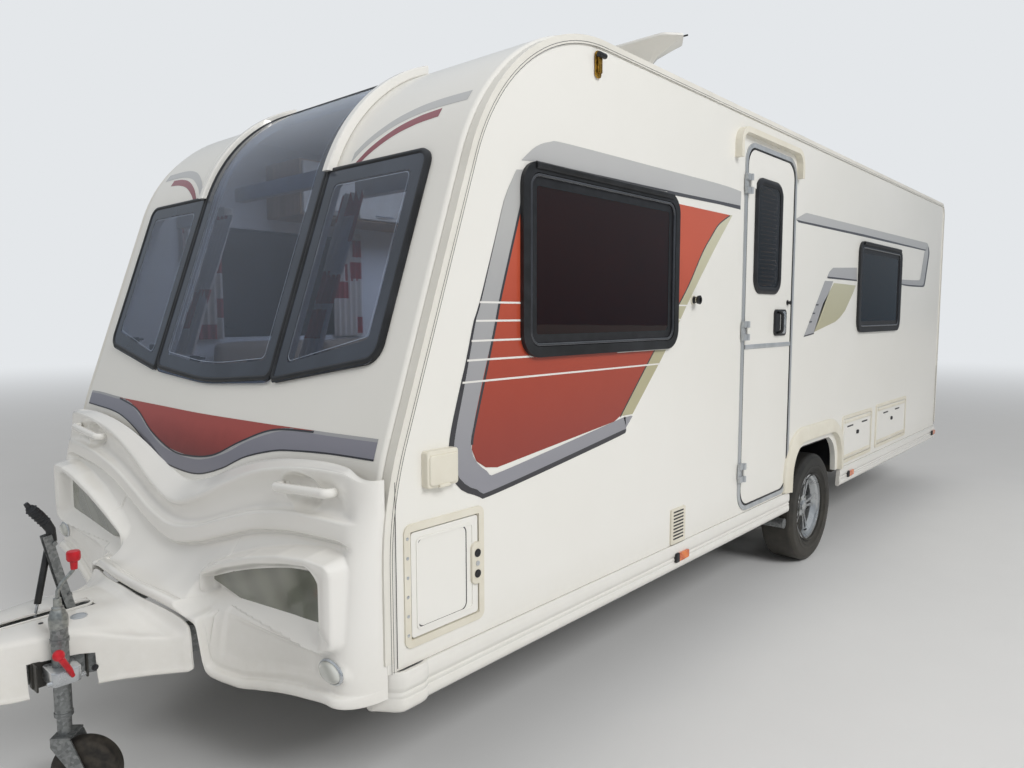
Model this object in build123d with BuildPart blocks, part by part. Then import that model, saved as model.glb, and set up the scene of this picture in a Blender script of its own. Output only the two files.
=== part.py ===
from build123d import *
import math
import os

os.makedirs("parts", exist_ok=True)

# A single-axle touring caravan, standing on its road wheels and its jockey wheel.
# Millimetres, +X towards the door side, -Y towards the coupling, +Z up. The origin is on
# the ground under the middle of the overall length.

# Driving dimensions of the body
body_length = 6160
body_width = 2230
roof_height = 2404
wall_bottom = 490
wall_thickness = 30
panel_crown = 20          # how far front, roof and rear panels stand outside the seam line
nose_lean = 19.2          # degrees that the front leans back above its upright foot
nose_break_height = 958   # where the upright foot line meets the leaning line
nose_foot_radius = 1050
nose_roof_radius = 700
rear_roof_radius = 90
hitch_reach = 1130        # coupling nose ahead of the front seam
tail_depth = 45           # rear moulding behind the rear panel
floor_thickness = 44
floor_underside = 470
fit_gap = 4               # clearance round doors, lids and hatches

# Running gear
tyre_radius = 320
tyre_width = 195
rim_radius = 178
axle_setback = 3230       # axle line behind the front seam
wheel_face_inset = 10     # outer tyre face inside the wall's outer face
stub_radius = 20
bearing_gap = 0.05

overall_length = hitch_reach + body_length + panel_crown + tail_depth
front_y = hitch_reach - overall_length / 2
rear_y = front_y + body_length
half_width = body_width / 2
inner_half = half_width - wall_thickness
axle_y = front_y + axle_setback
wheel_x = half_width - wheel_face_inset - tyre_width / 2
floor_top = floor_underside + floor_thickness


def aft(distance):
    """Lengthwise place of a point that lies this far behind the front seam."""
    return front_y + distance


def across(y):
    """Upright plane across the body at this lengthwise place, its normal towards the coupling."""
    return Plane.XZ.offset(-y)


def save(piece, name):
    """Label a finished piece and write it to its file."""
    piece.part.label = name
    export_step(piece.part, f"parts/{name}.step")


def save_mirrored(piece, name):
    """Write the opposite-hand copy of a finished piece."""
    twin = mirror(piece.part, about=Plane.YZ)
    twin.label = name
    export_step(twin, f"parts/{name}.step")


def body_outline(gap):
    """Side outline of the body, moved outwards by gap, as a flat face for a YZ sketch."""
    nose_run = (roof_height - nose_break_height) * math.tan(math.radians(nose_lean))
    with BuildSketch() as outline:
        with BuildLine():
            FilletPolyline(
                (front_y, wall_bottom),
                (front_y, nose_break_height),
                (front_y + nose_run, roof_height),
                (rear_y, roof_height),
                (rear_y, wall_bottom),
                radius=[0, nose_foot_radius, nose_roof_radius, rear_roof_radius, 0],
                close=True,
            )
        make_face()
        if gap:
            offset(amount=gap)
    return outline.sketch


def shell_band(outer, inner, low_x, high_x):
    """Band of the body outline between two offsets, from low_x to high_x."""
    with BuildPart() as band:
        with BuildSketch(Plane.YZ.offset(low_x)):
            add(body_outline(outer))
            add(body_outline(inner), mode=Mode.SUBTRACT)
        extrude(amount=high_x - low_x)
    return band.part


def side_block(low_x, high_x, low_y, high_y, low_z, high_z, corner=0):
    """Plate parallel to a side wall, with its corners rounded in side view."""
    with BuildPart() as block:
        with BuildSketch(Plane.YZ.offset(low_x)):
            with Locations(((low_y + high_y) / 2, (low_z + high_z) / 2)):
                if corner:
                    RectangleRounded(high_y - low_y, high_z - low_z, corner)
                else:
                    Rectangle(high_y - low_y, high_z - low_z)
        extrude(amount=high_x - low_x)
    return block.part


def side_ring(low_x, high_x, low_y, high_y, low_z, high_z, corner, rim):
    """Rectangular frame parallel to a side wall, rim wide, with rounded corners."""
    with BuildPart() as ring:
        with BuildSketch(Plane.YZ.offset(low_x)):
            with Locations(((low_y + high_y) / 2, (low_z + high_z) / 2)):
                RectangleRounded(high_y - low_y, high_z - low_z, corner)
                RectangleRounded(
                    high_y - low_y - 2 * rim, high_z - low_z - 2 * rim, max(corner - rim, 2),
                    mode=Mode.SUBTRACT,
                )
        extrude(amount=high_x - low_x)
    return ring.part


# Side walls: openings are (from, to) behind the front seam, then (low, high) above ground
window_corner = 80
front_window = (550, 1530, 1330, 1950)
rear_window = (3880, 4860, 1350, 1942)
door_opening = (2160, 2790, 500, 2280)
door_corner = 100
front_hatch = (60, 375, 540, 893)
bed_hatch = (3680, 4305, 510, 820)
locker_hatch = (4397, 5190, 518, 830)
kitchen_window = (2650, 3500, 1450, 1942)
washroom_window = (5000, 5450, 1500, 1942)
cassette_hatch = (5200, 5560, 540, 900)
hatch_corner = 25
arch_from = 2800
arch_to = 3630
arch_top = 760
arch_leg = 305
arch_rim = 80
window_rim = 34           # width of a window's outer frame
window_lap = 22           # how far a window's frame laps over the wall round its cut-out

nearside_cuts = [
    (front_window, window_corner, window_lap),
    (rear_window, window_corner, window_lap),
    (door_opening, door_corner, 0),
    (front_hatch, hatch_corner, 12),
    (bed_hatch, hatch_corner, 12),
    (locker_hatch, hatch_corner, 12),
]
offside_cuts = [
    (front_window, window_corner, window_lap),
    (kitchen_window, window_corner, window_lap),
    (washroom_window, window_corner, window_lap),
    (cassette_hatch, hatch_corner, 12),
]


def arch_profile(inset):
    """Outline of the wheel arch, inset inwards, down to below the wall."""
    width = arch_to - arch_from - 2 * inset
    top = arch_top - inset
    with BuildSketch() as arch:
        with BuildLine():
            FilletPolyline(
                (aft(arch_from) + inset, arch_leg),
                (aft(arch_from) + inset + width * 0.04, top),
                (aft(arch_to) - inset - width * 0.04, top),
                (aft(arch_to) - inset, arch_leg),
                radius=[0, 190 - inset / 2, 190 - inset / 2, 0],
                close=True,
            )
        make_face()
    return arch.sketch_local


def side_wall(cuts):
    """Side wall with its cut-outs, on the +X side."""
    with BuildPart() as wall:
        with BuildSketch(Plane.YZ.offset(inner_half)):
            add(body_outline(0))
            for (start, end, low, high), corner, lap in cuts:
                with Locations((aft((start + end) / 2), (low + high) / 2)):
                    RectangleRounded(
                        end - start - 2 * lap, high - low - 2 * lap, corner - lap + 8,
                        mode=Mode.SUBTRACT,
                    )
            add(arch_profile(arch_rim / 2), mode=Mode.SUBTRACT)
        extrude(amount=wall_thickness)
    return wall


nearside_wall = side_wall(nearside_cuts)
save(nearside_wall, "nearside_wall")
offside_wall = side_wall(offside_cuts)
save_mirrored(offside_wall, "offside_wall")

# Front, roof and rear panels: one crowned shell between the walls, parted where the real
# panels meet. The front panel carries cut-outs for its three windows.
panel_inner = panel_crown - wall_thickness
roof_joint = aft(1000)     # seam between the front and roof panels
edge_round = 18
front_pane_edge = 0.399 * half_width     # joint between the middle and the outer front windows
side_pane_outer = 0.861 * half_width
side_pane_low_inner = 1245
side_pane_low_outer = 1332
side_pane_high = 1955
middle_pane_half = front_pane_edge - 13
middle_pane_low = 1218
middle_pane_end = aft(700)
pane_gap = 24             # back of the front glazing, outside the seam line
pane_thickness = 8
pane_lap = 40             # how far a pane laps over the panel round its cut-out

with BuildPart() as shell:
    with BuildSketch(Plane.YZ.offset(-inner_half)):
        add(body_outline(panel_crown))
    extrude(amount=2 * inner_half)
    fillet(shell.faces().filter_by(Axis.X).edges(), edge_round)
    with BuildSketch(Plane.YZ.offset(-inner_half)):
        add(body_outline(panel_inner))
    extrude(amount=2 * inner_half, mode=Mode.SUBTRACT)
    split(bisect_by=Plane.XY.offset(floor_top), keep=Keep.TOP)


def side_pane_outline(inset):
    """Outline of the +X outer front window in front view, inset inwards."""
    with BuildSketch() as outline:
        with BuildLine():
            FilletPolyline(
                (front_pane_edge + inset, side_pane_low_inner + inset),
                (side_pane_outer - inset, side_pane_low_outer + inset),
                (side_pane_outer - inset, side_pane_high - inset),
                (front_pane_edge + inset, side_pane_high - inset),
                radius=[15, 60, 45, 15],
                close=True,
            )
        make_face()
    return outline.sketch_local


def middle_pane_outline(inset):
    """Outline of the middle front window in front view, inset inwards, open to the roof."""
    half = middle_pane_half - inset
    with BuildSketch() as outline:
        with BuildLine():
            FilletPolyline(
                (-half, side_pane_low_inner + inset),
                (0, middle_pane_low + inset),
                (half, side_pane_low_inner + inset),
                (half, roof_height + 200),
                (-half, roof_height + 200),
                radius=[40, 1500, 40, 0, 0],
                close=True,
            )
        make_face()
    return outline.sketch_local


front_facing = across(aft(1500))
nose_depth = 2000

with BuildPart() as front_panel:
    add(shell.part)
    split(bisect_by=across(roof_joint), keep=Keep.TOP)
    with BuildSketch(front_facing) as panes:
        add(side_pane_outline(pane_lap))
        mirror(about=Plane.YZ)
    extrude(amount=nose_depth, mode=Mode.SUBTRACT)
    with BuildSketch(across(middle_pane_end - pane_lap)):
        add(middle_pane_outline(pane_lap))
    extrude(amount=nose_depth, mode=Mode.SUBTRACT)
save(front_panel, "front_panel")

with BuildPart() as rear_panel:
    add(shell.part)
    split(bisect_by=across(rear_y + panel_inner), keep=Keep.BOTTOM)
save(rear_panel, "rear_panel")

rooflights = [
    # name, from, to behind the front seam, half width
    ("lounge", 1350, 2050, 250),
    ("kitchen", 3900, 4320, 210),
]
roof_outer = roof_height + panel_crown
kerb_height = 22
lid_height = 34
with BuildPart() as roof_panel:
    add(shell.part)
    split(bisect_by=across(roof_joint), keep=Keep.BOTTOM)
    split(bisect_by=across(rear_y + panel_inner), keep=Keep.TOP)
    with BuildSketch(Plane.XY.offset(roof_height - 100)):
        for label, start, end, half in rooflights:
            with Locations((0, aft((start + end) / 2))):
                Rectangle(2 * half - 60, end - start - 60)
    extrude(amount=200, mode=Mode.SUBTRACT)
    with BuildSketch(Plane.XY.offset(roof_outer)):
        for label, start, end, half in rooflights:
            with Locations((0, aft((start + end) / 2))):
                RectangleRounded(2 * half, end - start, 40)
                Rectangle(2 * half - 60, end - start - 60, mode=Mode.SUBTRACT)
    extrude(amount=kerb_height)
save(roof_panel, "roof_panel")

# Front glazing: three bowed acrylic panes. The middle one sweeps up over the roof's edge.
glazing = shell_band(pane_gap + pane_thickness, pane_gap, -inner_half, inner_half)
with BuildPart() as side_pane:
    add(glazing)
    with BuildSketch(front_facing):
        add(side_pane_outline(0))
    extrude(amount=nose_depth, mode=Mode.INTERSECT)
with BuildPart() as middle_pane:
    add(glazing)
    with BuildSketch(across(middle_pane_end)):
        add(middle_pane_outline(0))
    extrude(amount=nose_depth, mode=Mode.INTERSECT)
with BuildPart() as front_panes:
    add(side_pane.part)
    mirror(about=Plane.YZ)
    add(middle_pane.part)
save(front_panes, "front_panes")

# Rubber seals between the panes and the front panel, and the two raised roof-edge rails
seal_width = 30
seal_band = shell_band(pane_gap, panel_crown, -inner_half, inner_half)
with BuildPart() as front_seals:
    add(seal_band)
    with BuildSketch(across(middle_pane_end - 10)):
        add(middle_pane_outline(8))
        add(middle_pane_outline(8 + seal_width), mode=Mode.SUBTRACT)
        with BuildSketch(mode=Mode.PRIVATE) as side_seal:
            add(side_pane_outline(8))
            add(side_pane_outline(8 + seal_width), mode=Mode.SUBTRACT)
            mirror(about=Plane.YZ)
        add(side_seal.sketch_local)
    extrude(amount=nose_depth, mode=Mode.INTERSECT)
save(front_seals, "front_seals")

rail_width = 36
rail_height = 34
rail_inner = middle_pane_half + 3
rail_end = middle_pane_end + 60
with BuildPart() as pane_rail:
    add(shell_band(panel_crown + rail_height, panel_crown, rail_inner, rail_inner + rail_width))
    fillet(pane_rail.faces().filter_by(Axis.X).edges().sort_by(SortBy.LENGTH)[-6:], 6)
    split(bisect_by=Plane.XY.offset(side_pane_high + 6), keep=Keep.TOP)
    split(bisect_by=across(rail_end), keep=Keep.TOP)
    split(bisect_by=across(rear_y - 500), keep=Keep.TOP)
    mirror(about=Plane.YZ)
save(pane_rail, "pane_rails")

# Lower front moulding: cross-sections from the middle out to the corner, lofted. Each row
# holds its place as a share of the moulding's flat half, then heights and the apron's reach.
moulding_edge = half_width - 85
moulding_foot = 22        # where its top edge meets the front panel, outside the seam line
moulding_back = 52        # back of its lower hollow, outside the seam line
moulding_rows = [
    # share, top, crease, lip top, lip bottom, apron reach, hem
    (0, 850, 800, 728, 672, 210, 330),
    (0.175, 903, 855, 752, 704, 183, 330),
    (0.35, 968, 936, 806, 766, 128, 300),
    (0.524, 1015, 992, 856, 812, 100, 322),
    (0.7, 1042, 1026, 892, 846, 96, 362),
    (0.874, 1050, 1036, 917, 864, 96, 398),
    (1, 1050, 1040, 926, 872, 90, 402),
]
pillar_rows = [
    # inwards from the body's side, swell
    (85, 1.0),
    (30, 0.45),
    (2, 0.04),
]


def moulding_section(x, top, crease, lip_top, lip_bottom, apron, hem, swell=1.0):
    """Cross-section of the moulding at x; swell draws its ledges in towards the corner."""
    front = [
        # reach beyond the moulding's foot, height
        (0, top),
        (24, top - 5),
        (30, crease),
        (14, crease - 24),
        (16, lip_top + 30),
        (48, lip_top + 4),
        (52, lip_bottom),
        (26, lip_bottom - 22),
        (apron - 36, 600),
        (apron, 545),
        (apron + 4, hem + 26),
        (apron + 8, hem),
    ]
    points = [(front_y - moulding_foot - reach * swell, height) for reach, height in front]
    hollow_y = front_y - 8 - (moulding_back - 8) * swell
    points += [(hollow_y, hem + 4), (hollow_y, floor_underside)]
    points += [(front_y + 40, floor_underside), (front_y + 60, top)]
    with BuildSketch(Plane.YZ.offset(x)) as section:
        with BuildLine():
            Polyline(points, close=True)
        make_face()
    return section.sketch


# The lamp recesses: a frame stands proud of the apron, and the lamp lies deep inside it
lamp_frame = [
    # share of the half width, height, corner radius
    (0.256, 575, 30),
    (0.269, 650, 60),
    (0.574, 765, 200),
    (0.897, 800, 30),
    (0.910, 560, 30),
    (0.574, 532, 400),
]
lamp_frame_reach = 150
lamp_frame_rim = 28
lamp_back_reach = 84


def lamp_outline(inset):
    """Outline of the +X lamp recess in front view, inset inwards."""
    with BuildSketch() as outline:
        with BuildLine():
            FilletPolyline(
                *[(share * half_width, height) for share, height, radius in lamp_frame],
                radius=[radius for share, height, radius in lamp_frame],
                close=True,
            )
        make_face()
        if inset:
            offset(amount=-inset)
    return outline.sketch_local


# The notch lets the drawbar fairing through the moulding's lower edge
notch_half = 0.395 * half_width
notch_top = 500
notch_peak = 540
notch_corner = 50

# Scoops behind the grab handles
scoop_x = half_width - 315
scoop_z = 958
scoop_half_width = 112
scoop_half_height = 46
scoop_floor_reach = 26

with BuildPart() as front_moulding:
    across_rows = [(-share, *row) for share, *row in reversed(moulding_rows[1:])] + moulding_rows
    loft([moulding_section(share * moulding_edge, *row) for share, *row in across_rows])
    corner_row = moulding_rows[-1][1:]
    for side in (-1, 1):
        loft(
            [
                moulding_section(side * (half_width - inset), *corner_row, swell)
                for inset, swell in pillar_rows
            ],
            ruled=True,
        )
    with BuildSketch(across(front_y - 60)):
        add(lamp_outline(0))
        mirror(about=Plane.YZ)
    extrude(amount=lamp_frame_reach - 60)
    with BuildSketch(Plane.YZ.offset(-half_width)):
        add(body_outline(panel_crown))
    extrude(amount=body_width, mode=Mode.SUBTRACT)
    with BuildSketch(across(front_y + 100)):
        Polygon(
            (-notch_half, 200), (-notch_half, notch_top - notch_corner + 10),
            (-notch_half + notch_corner, notch_top), (0, notch_peak), (notch_half - notch_corner, notch_top),
            (notch_half, notch_top - notch_corner + 10), (notch_half, 200), align=None,
        )
    extrude(amount=600, mode=Mode.SUBTRACT)
    with BuildSketch(across(front_y - lamp_back_reach)):
        add(lamp_outline(lamp_frame_rim))
        mirror(about=Plane.YZ)
    extrude(amount=200, mode=Mode.SUBTRACT)
    with BuildSketch(across(front_y - scoop_floor_reach)):
        with Locations((-scoop_x, scoop_z), (scoop_x, scoop_z)):
            Ellipse(scoop_half_width, scoop_half_height)
    extrude(amount=200, mode=Mode.SUBTRACT)
save(front_moulding, "front_moulding")

# Awning rails along the seams: an angle that laps round the edge of each side wall
awning_proud = 12
awning_lap = 18
awning_side = 5
with BuildPart() as awning_rail:
    add(shell_band(awning_proud, 0, inner_half + 2, half_width + awning_side))
    add(shell_band(0, -awning_lap, half_width, half_width + awning_side))
    with BuildSketch(Plane.XY.offset(wall_bottom - 50)):
        Rectangle(3000, 3 * body_length)
    extrude(amount=80, mode=Mode.SUBTRACT)
    mirror(about=Plane.YZ)
save(awning_rail, "awning_rails")

# Front grab handles over the scoops, ended in feet on the moulding
handle_radius = 11
handle_length = 0.256 * half_width
handle_reach = 78
handle_rise = 4           # above the middle of the scoop
handle_foot_inset = 14
handle_foot_reach = 38
with BuildPart() as grab_handles:
    for side in (-1, 1):
        with BuildSketch(Plane.YZ.offset(side * scoop_x - handle_length / 2)):
            with Locations((front_y - handle_reach, scoop_z + handle_rise)):
                Circle(handle_radius)
        extrude(amount=handle_length)
        with BuildSketch(across(front_y - handle_foot_reach)):
            with Locations((side * scoop_x, scoop_z + handle_rise)):
                with GridLocations(handle_length - 2 * handle_foot_inset, 0, 2, 1):
                    Circle(handle_radius - 1)
        extrude(amount=handle_reach - handle_foot_reach)
    add(front_moulding.part, mode=Mode.SUBTRACT)

# Front lamps at the back of the moulding's recesses
lamp_depth = 14
lamp_gap = 6
with BuildPart() as front_lamps:
    with BuildSketch(across(front_y - lamp_back_reach)):
        add(lamp_outline(lamp_frame_rim + lamp_gap))
        mirror(about=Plane.YZ)
    extrude(amount=lamp_depth)
save(front_lamps, "front_lamps")

# Lower side skirts with their end caps, broken at the wheel arch
skirt_bottom = 378
skirt_outer = half_width + 10
skirt_inner = half_width - 15
cap_length = 190
cap_proud = 14
with BuildPart() as skirt:
    with BuildSketch(across(aft(cap_length - 60))):
        with BuildLine():
            FilletPolyline(
                (skirt_inner, skirt_bottom), (skirt_outer, skirt_bottom), (skirt_outer, wall_bottom),
                (skirt_inner, wall_bottom),
                radius=[0, 5, 5, 0], close=True,
            )
        make_face()
    extrude(amount=-(body_length - cap_length + 60))
    with BuildSketch(Plane.YZ.offset(skirt_inner - 10)):
        with Locations((aft((arch_from + arch_to) / 2), wall_bottom)):
            Rectangle(arch_to - arch_from, 400)
    extrude(amount=60, mode=Mode.SUBTRACT)

with BuildPart() as skirt_cap:
    with BuildSketch(Plane.YZ.offset(skirt_inner)):
        with BuildLine():
            FilletPolyline(
                (aft(-46), skirt_bottom + 30), (aft(cap_length - 60), skirt_bottom - 4),
                (aft(cap_length - 60), wall_bottom), (aft(-46), wall_bottom),
                radius=[14, 0, 0, 14], close=True,
            )
        make_face()
    extrude(amount=skirt_outer + cap_proud - skirt_inner)
    fillet(skirt_cap.faces().sort_by(Axis.X)[-1].edges(), 9)
    add(front_moulding.part, mode=Mode.SUBTRACT)
with BuildPart() as side_skirts:
    add(skirt.part)
    add(skirt_cap.part)
    mirror(about=Plane.YZ)
save(side_skirts, "side_skirts")

# Floor, cut away over the wheels, with the wheel boxes standing on it
tyre_clearance = 45
box_inner_x = wheel_x - tyre_width / 2 - tyre_clearance
box_wall = 6
box_front = axle_y - tyre_radius - tyre_clearance
box_rear = axle_y + tyre_radius + tyre_clearance
box_top = tyre_radius * 2 + tyre_clearance + 20
with BuildPart() as floor_panel:
    with BuildSketch(Plane.XY.offset(floor_underside)):
        with Locations((0, (front_y - panel_inner + rear_y + panel_inner) / 2)):
            Rectangle(2 * inner_half, body_length + 2 * panel_inner)
        for side in (-1, 1):
            with Locations((side * (box_inner_x + inner_half) / 2, axle_y)):
                Rectangle(inner_half - box_inner_x, box_rear - box_front, mode=Mode.SUBTRACT)
    extrude(amount=floor_thickness)
save(floor_panel, "floor_panel")

with BuildPart() as wheel_boxes:
    for side in (-1, 1):
        with BuildSketch(Plane.XY.offset(floor_top)):
            with Locations((side * (box_inner_x - box_wall + inner_half) / 2, axle_y)):
                Rectangle(inner_half - box_inner_x + box_wall, box_rear - box_front + 2 * box_wall)
        extrude(amount=box_top - floor_top)
        with BuildSketch(Plane.XY.offset(floor_top)):
            with Locations((side * (box_inner_x + inner_half) / 2, axle_y)):
                Rectangle(inner_half - box_inner_x, box_rear - box_front)
        extrude(amount=box_top - floor_top - box_wall, mode=Mode.SUBTRACT)
save(wheel_boxes, "wheel_boxes")

# Wheel arch trims
arch_proud = 25
with BuildPart() as arch_trim:
    with BuildSketch(Plane.YZ.offset(half_width)):
        add(arch_profile(0))
        add(arch_profile(arch_rim), mode=Mode.SUBTRACT)
    extrude(amount=arch_proud)
    fillet(arch_trim.faces().sort_by(Axis.X)[-1].edges().filter_by(GeomType.LINE), 6)
    mirror(about=Plane.YZ)
save(arch_trim, "arch_trims")

# Chassis: two deep side members, cross members between them, and the drawbar's two arms
member_x = half_width - 575
member_width = 50
member_wall = 5
member_depth = 170
member_tail_depth = 80
member_deep_half = 900    # half length of the deep stretch over the axle
member_top = floor_underside
member_front = aft(560)
member_rear = rear_y - 250
cross_setbacks = (600, 1500, 2600, 4200, 5400)
cross_depth = 60
cross_width = 45
arm_front_x = 54
arm_front_y = aft(-780)
arm_depth = 90
arm_width = 45
arm_top = 455


def member_outline(inset):
    """Side outline of a chassis member, its flanges inset; the hollow runs out at both ends."""
    low = member_top - member_depth + inset
    end_gap = 1 if inset else 0
    with BuildSketch() as outline:
        with BuildLine():
            Polyline(
                (member_front - end_gap, member_top - inset), (member_rear + end_gap, member_top - inset),
                (member_rear + end_gap, member_top - member_tail_depth + inset),
                (axle_y + member_deep_half, low), (axle_y - member_deep_half, low),
                (member_front - end_gap, member_top - arm_depth + inset),
                close=True,
            )
        make_face()
    return outline.sketch_local


with BuildPart() as chassis_members:
    for side in (-1, 1):
        with BuildSketch(Plane.YZ.offset(side * member_x - member_width / 2)):
            add(member_outline(0))
        extrude(amount=member_width)
        with BuildSketch(Plane.YZ.offset(side * (member_x - member_width / 2))):
            add(member_outline(member_wall))
        extrude(amount=side * (member_width - member_wall), mode=Mode.SUBTRACT)
save(chassis_members, "chassis_members")

with BuildPart() as cross_members:
    for setback in cross_setbacks:
        with BuildSketch(across(aft(setback))):
            with Locations((0, member_top - cross_depth / 2)):
                Rectangle(2 * member_x - member_width, cross_depth)
        extrude(amount=-cross_width)
save(cross_members, "cross_members")

with BuildPart() as drawbar_arms:
    for side in (-1, 1):
        with BuildSketch(Plane.XY.offset(arm_top - arm_depth)):
            Polygon(
                (side * (member_x - member_width / 2), member_front - 2),
                (side * (member_x + member_width / 2), member_front - 2),
                (side * (arm_front_x + arm_width / 2 + 6), arm_front_y),
                (side * (arm_front_x - arm_width / 2 + 6), arm_front_y),
                align=None,
            )
        extrude(amount=arm_depth)

# Axle beam under the side members, trailing arms, brake plates and stub axles
swing_length = 150
beam_radius = 52
beam_wall = 7
beam_z = member_top - member_depth - beam_radius - 12
beam_y = axle_y - swing_length
beam_half = box_inner_x - 60
saddle_length = 150
arm_thickness = 50
boss_radius = 36
hub_inner_x = wheel_x - 88
plate_thickness = 8
plate_radius = 118
with BuildPart() as axle:
    with BuildSketch(Plane.YZ.offset(-beam_half)):
        with Locations((beam_y, beam_z)):
            RegularPolygon(beam_radius, 6)
    extrude(amount=2 * beam_half)
    for side in (-1, 1):
        with BuildSketch(Plane.YZ.offset(side * member_x - member_width / 2)):
            with Locations((beam_y, (beam_z + member_top - member_depth) / 2 + 12)):
                Rectangle(saddle_length, member_top - member_depth - beam_z - 24)
        extrude(amount=member_width)
    with BuildSketch(Plane.YZ.offset(-beam_half)):
        with Locations((beam_y, beam_z)):
            RegularPolygon(beam_radius - beam_wall, 6)
    extrude(amount=2 * beam_half, mode=Mode.SUBTRACT)
    for side in (-1, 1):
        with BuildSketch(Plane.YZ.offset(side * beam_half)):
            with BuildLine():
                Polyline(
                    (beam_y - 50, beam_z - 48), (beam_y + 40, beam_z - 55), (axle_y + 32, tyre_radius - 38),
                    (axle_y + 38, tyre_radius + 30), (axle_y - 10, tyre_radius + 44),
                    (beam_y - 30, beam_z + 52), close=True,
                )
            make_face()
        extrude(amount=side * arm_thickness)
        rounds = [
            # from x, to x, radius
            (beam_half + arm_thickness, hub_inner_x - plate_thickness, boss_radius),
            (hub_inner_x - plate_thickness, hub_inner_x, plate_radius),
            (hub_inner_x, hub_inner_x + 80, stub_radius),
        ]
        for low_x, high_x, radius in rounds:
            with BuildSketch(Plane.YZ.offset(side * low_x)):
                with Locations((axle_y, tyre_radius)):
                    Circle(radius)
            extrude(amount=side * (high_x - low_x))
save(axle, "axle")

# Wheel movers: a bar under the chassis carries a motor and a ribbed roller ahead of each tyre
mover_ahead = 360
mover_z = 290
mover_roller_radius = 28
mover_motor_radius = 46
mover_motor_from = member_x + member_width / 2 + 40
mover_motor_to = wheel_x - tyre_width / 2 - 10
mover_roller_to = wheel_x + 70
mover_bar = 36
mover_bar_ahead = 470
mover_bracket = 30
with BuildPart() as wheel_movers:
    with Locations((0, axle_y - mover_bar_ahead, member_top - member_depth - mover_bar / 2)):
        Box(2 * (member_x + 60), mover_bar, mover_bar)
    for side in (-1, 1):
        with BuildSketch(Plane.YZ.offset(side * (member_x + 30))):
            Polygon(
                (axle_y - mover_bar_ahead - mover_bar / 2, member_top - member_depth),
                (axle_y - mover_bar_ahead - mover_bar / 2, member_top - member_depth - mover_bar),
                (axle_y - mover_ahead - 30, mover_z - 60), (axle_y - mover_ahead + 40, mover_z - 40),
                (axle_y - mover_ahead + 40, mover_z + 40), (axle_y - mover_ahead - 30, mover_z + 50),
                align=None,
            )
        extrude(amount=side * mover_bracket)
        rounds = [
            # from x, to x, radius
            (member_x + 30, mover_motor_to, mover_motor_radius - 8),
            (mover_motor_from, mover_motor_to, mover_motor_radius),
            (mover_motor_to, mover_roller_to, mover_roller_radius),
        ]
        for low_x, high_x, radius in rounds:
            with BuildSketch(Plane.YZ.offset(side * low_x)):
                with Locations((axle_y - mover_ahead, mover_z)):
                    Circle(radius)
            extrude(amount=side * (high_x - low_x))
save(wheel_movers, "wheel_movers")

# Road wheels: brake drum, alloy rim with five pairs of spokes, and tyre, turned about the axle
drum_gap = 5
drum_radius = 112
drum_depth = 62
stub_socket = 22
rim_width = 150
rim_wall = 7
rim_well = 14             # how far the well lies inside the bead seats
rim_lip = 16
rim_flange = 20
spoke_face_out = 40
spoke_depth = 26
spoke_inner = 24
spoke_outer = rim_radius - rim_wall - 13
hub_radius = 46
hub_cap_radius = 30
rim_profile = [
    # across from the wheel's middle, out from the axle line: inside of the barrel, then outside
    (-rim_width / 2, rim_radius + rim_well),
    (-rim_width / 2 + 8, rim_radius + rim_well),
    (-rim_width / 2 + 12, rim_radius - rim_wall + 6),
    (-30, rim_radius - rim_wall - rim_well),
    (rim_width / 2 - 44, rim_radius - rim_wall - rim_well),
    (rim_width / 2 - 16, rim_radius - rim_wall),
    (rim_width / 2 - 8, rim_radius + 6),
    (rim_width / 2, rim_radius + 8),
    (rim_width / 2, rim_radius + rim_lip),
    (rim_width / 2 - 10, rim_radius + rim_lip),
    (rim_width / 2 - 14, rim_radius),
    (rim_width / 2 - 40, rim_radius - rim_well),
    (-30, rim_radius - rim_well),
    (-rim_width / 2 + 14, rim_radius),
    (-rim_width / 2 + 10, rim_radius + rim_flange),
    (-rim_width / 2, rim_radius + rim_flange),
]
wheel_axis = Axis((wheel_x, axle_y, tyre_radius), (1, 0, 0))
wheel_section = Plane(origin=(wheel_x, axle_y, tyre_radius), x_dir=(1, 0, 0), z_dir=(0, -1, 0))


def wheel_plane(x):
    """Plane across the axle line at x, with its normal towards +X."""
    return Plane(origin=(x, axle_y, tyre_radius), x_dir=(0, 1, 0), z_dir=(1, 0, 0))


with BuildPart() as rim_nearside:
    drum_x = hub_inner_x + drum_gap
    spoke_x = wheel_x + spoke_face_out - spoke_depth
    with BuildSketch(wheel_plane(drum_x)):
        Circle(drum_radius)
        Circle(stub_radius + bearing_gap, mode=Mode.SUBTRACT)
    extrude(amount=drum_depth)
    with BuildSketch(wheel_plane(drum_x + drum_depth)):
        Circle(hub_radius)
    extrude(amount=spoke_x - drum_x - drum_depth)
    with BuildSketch(wheel_plane(drum_x + drum_depth)):
        Circle(stub_radius + bearing_gap)
    extrude(amount=stub_socket, mode=Mode.SUBTRACT)
    with BuildSketch(wheel_section):
        with BuildLine():
            Polyline(rim_profile, close=True)
        make_face()
    revolve(axis=wheel_axis)
    with BuildSketch(wheel_plane(spoke_x)):
        Circle(hub_radius + 16)
        with PolarLocations(0, 5):
            Polygon((spoke_inner, 12), (spoke_outer, 34), (spoke_outer, 12), (spoke_inner, 2), align=None)
            Polygon((spoke_inner, -12), (spoke_outer, -34), (spoke_outer, -12), (spoke_inner, -2), align=None)
    extrude(amount=spoke_depth)
    with BuildSketch(wheel_plane(wheel_x + spoke_face_out)):
        Circle(hub_cap_radius)
    extrude(amount=7)
save(rim_nearside, "rim_nearside")
save_mirrored(rim_nearside, "rim_offside")

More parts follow.
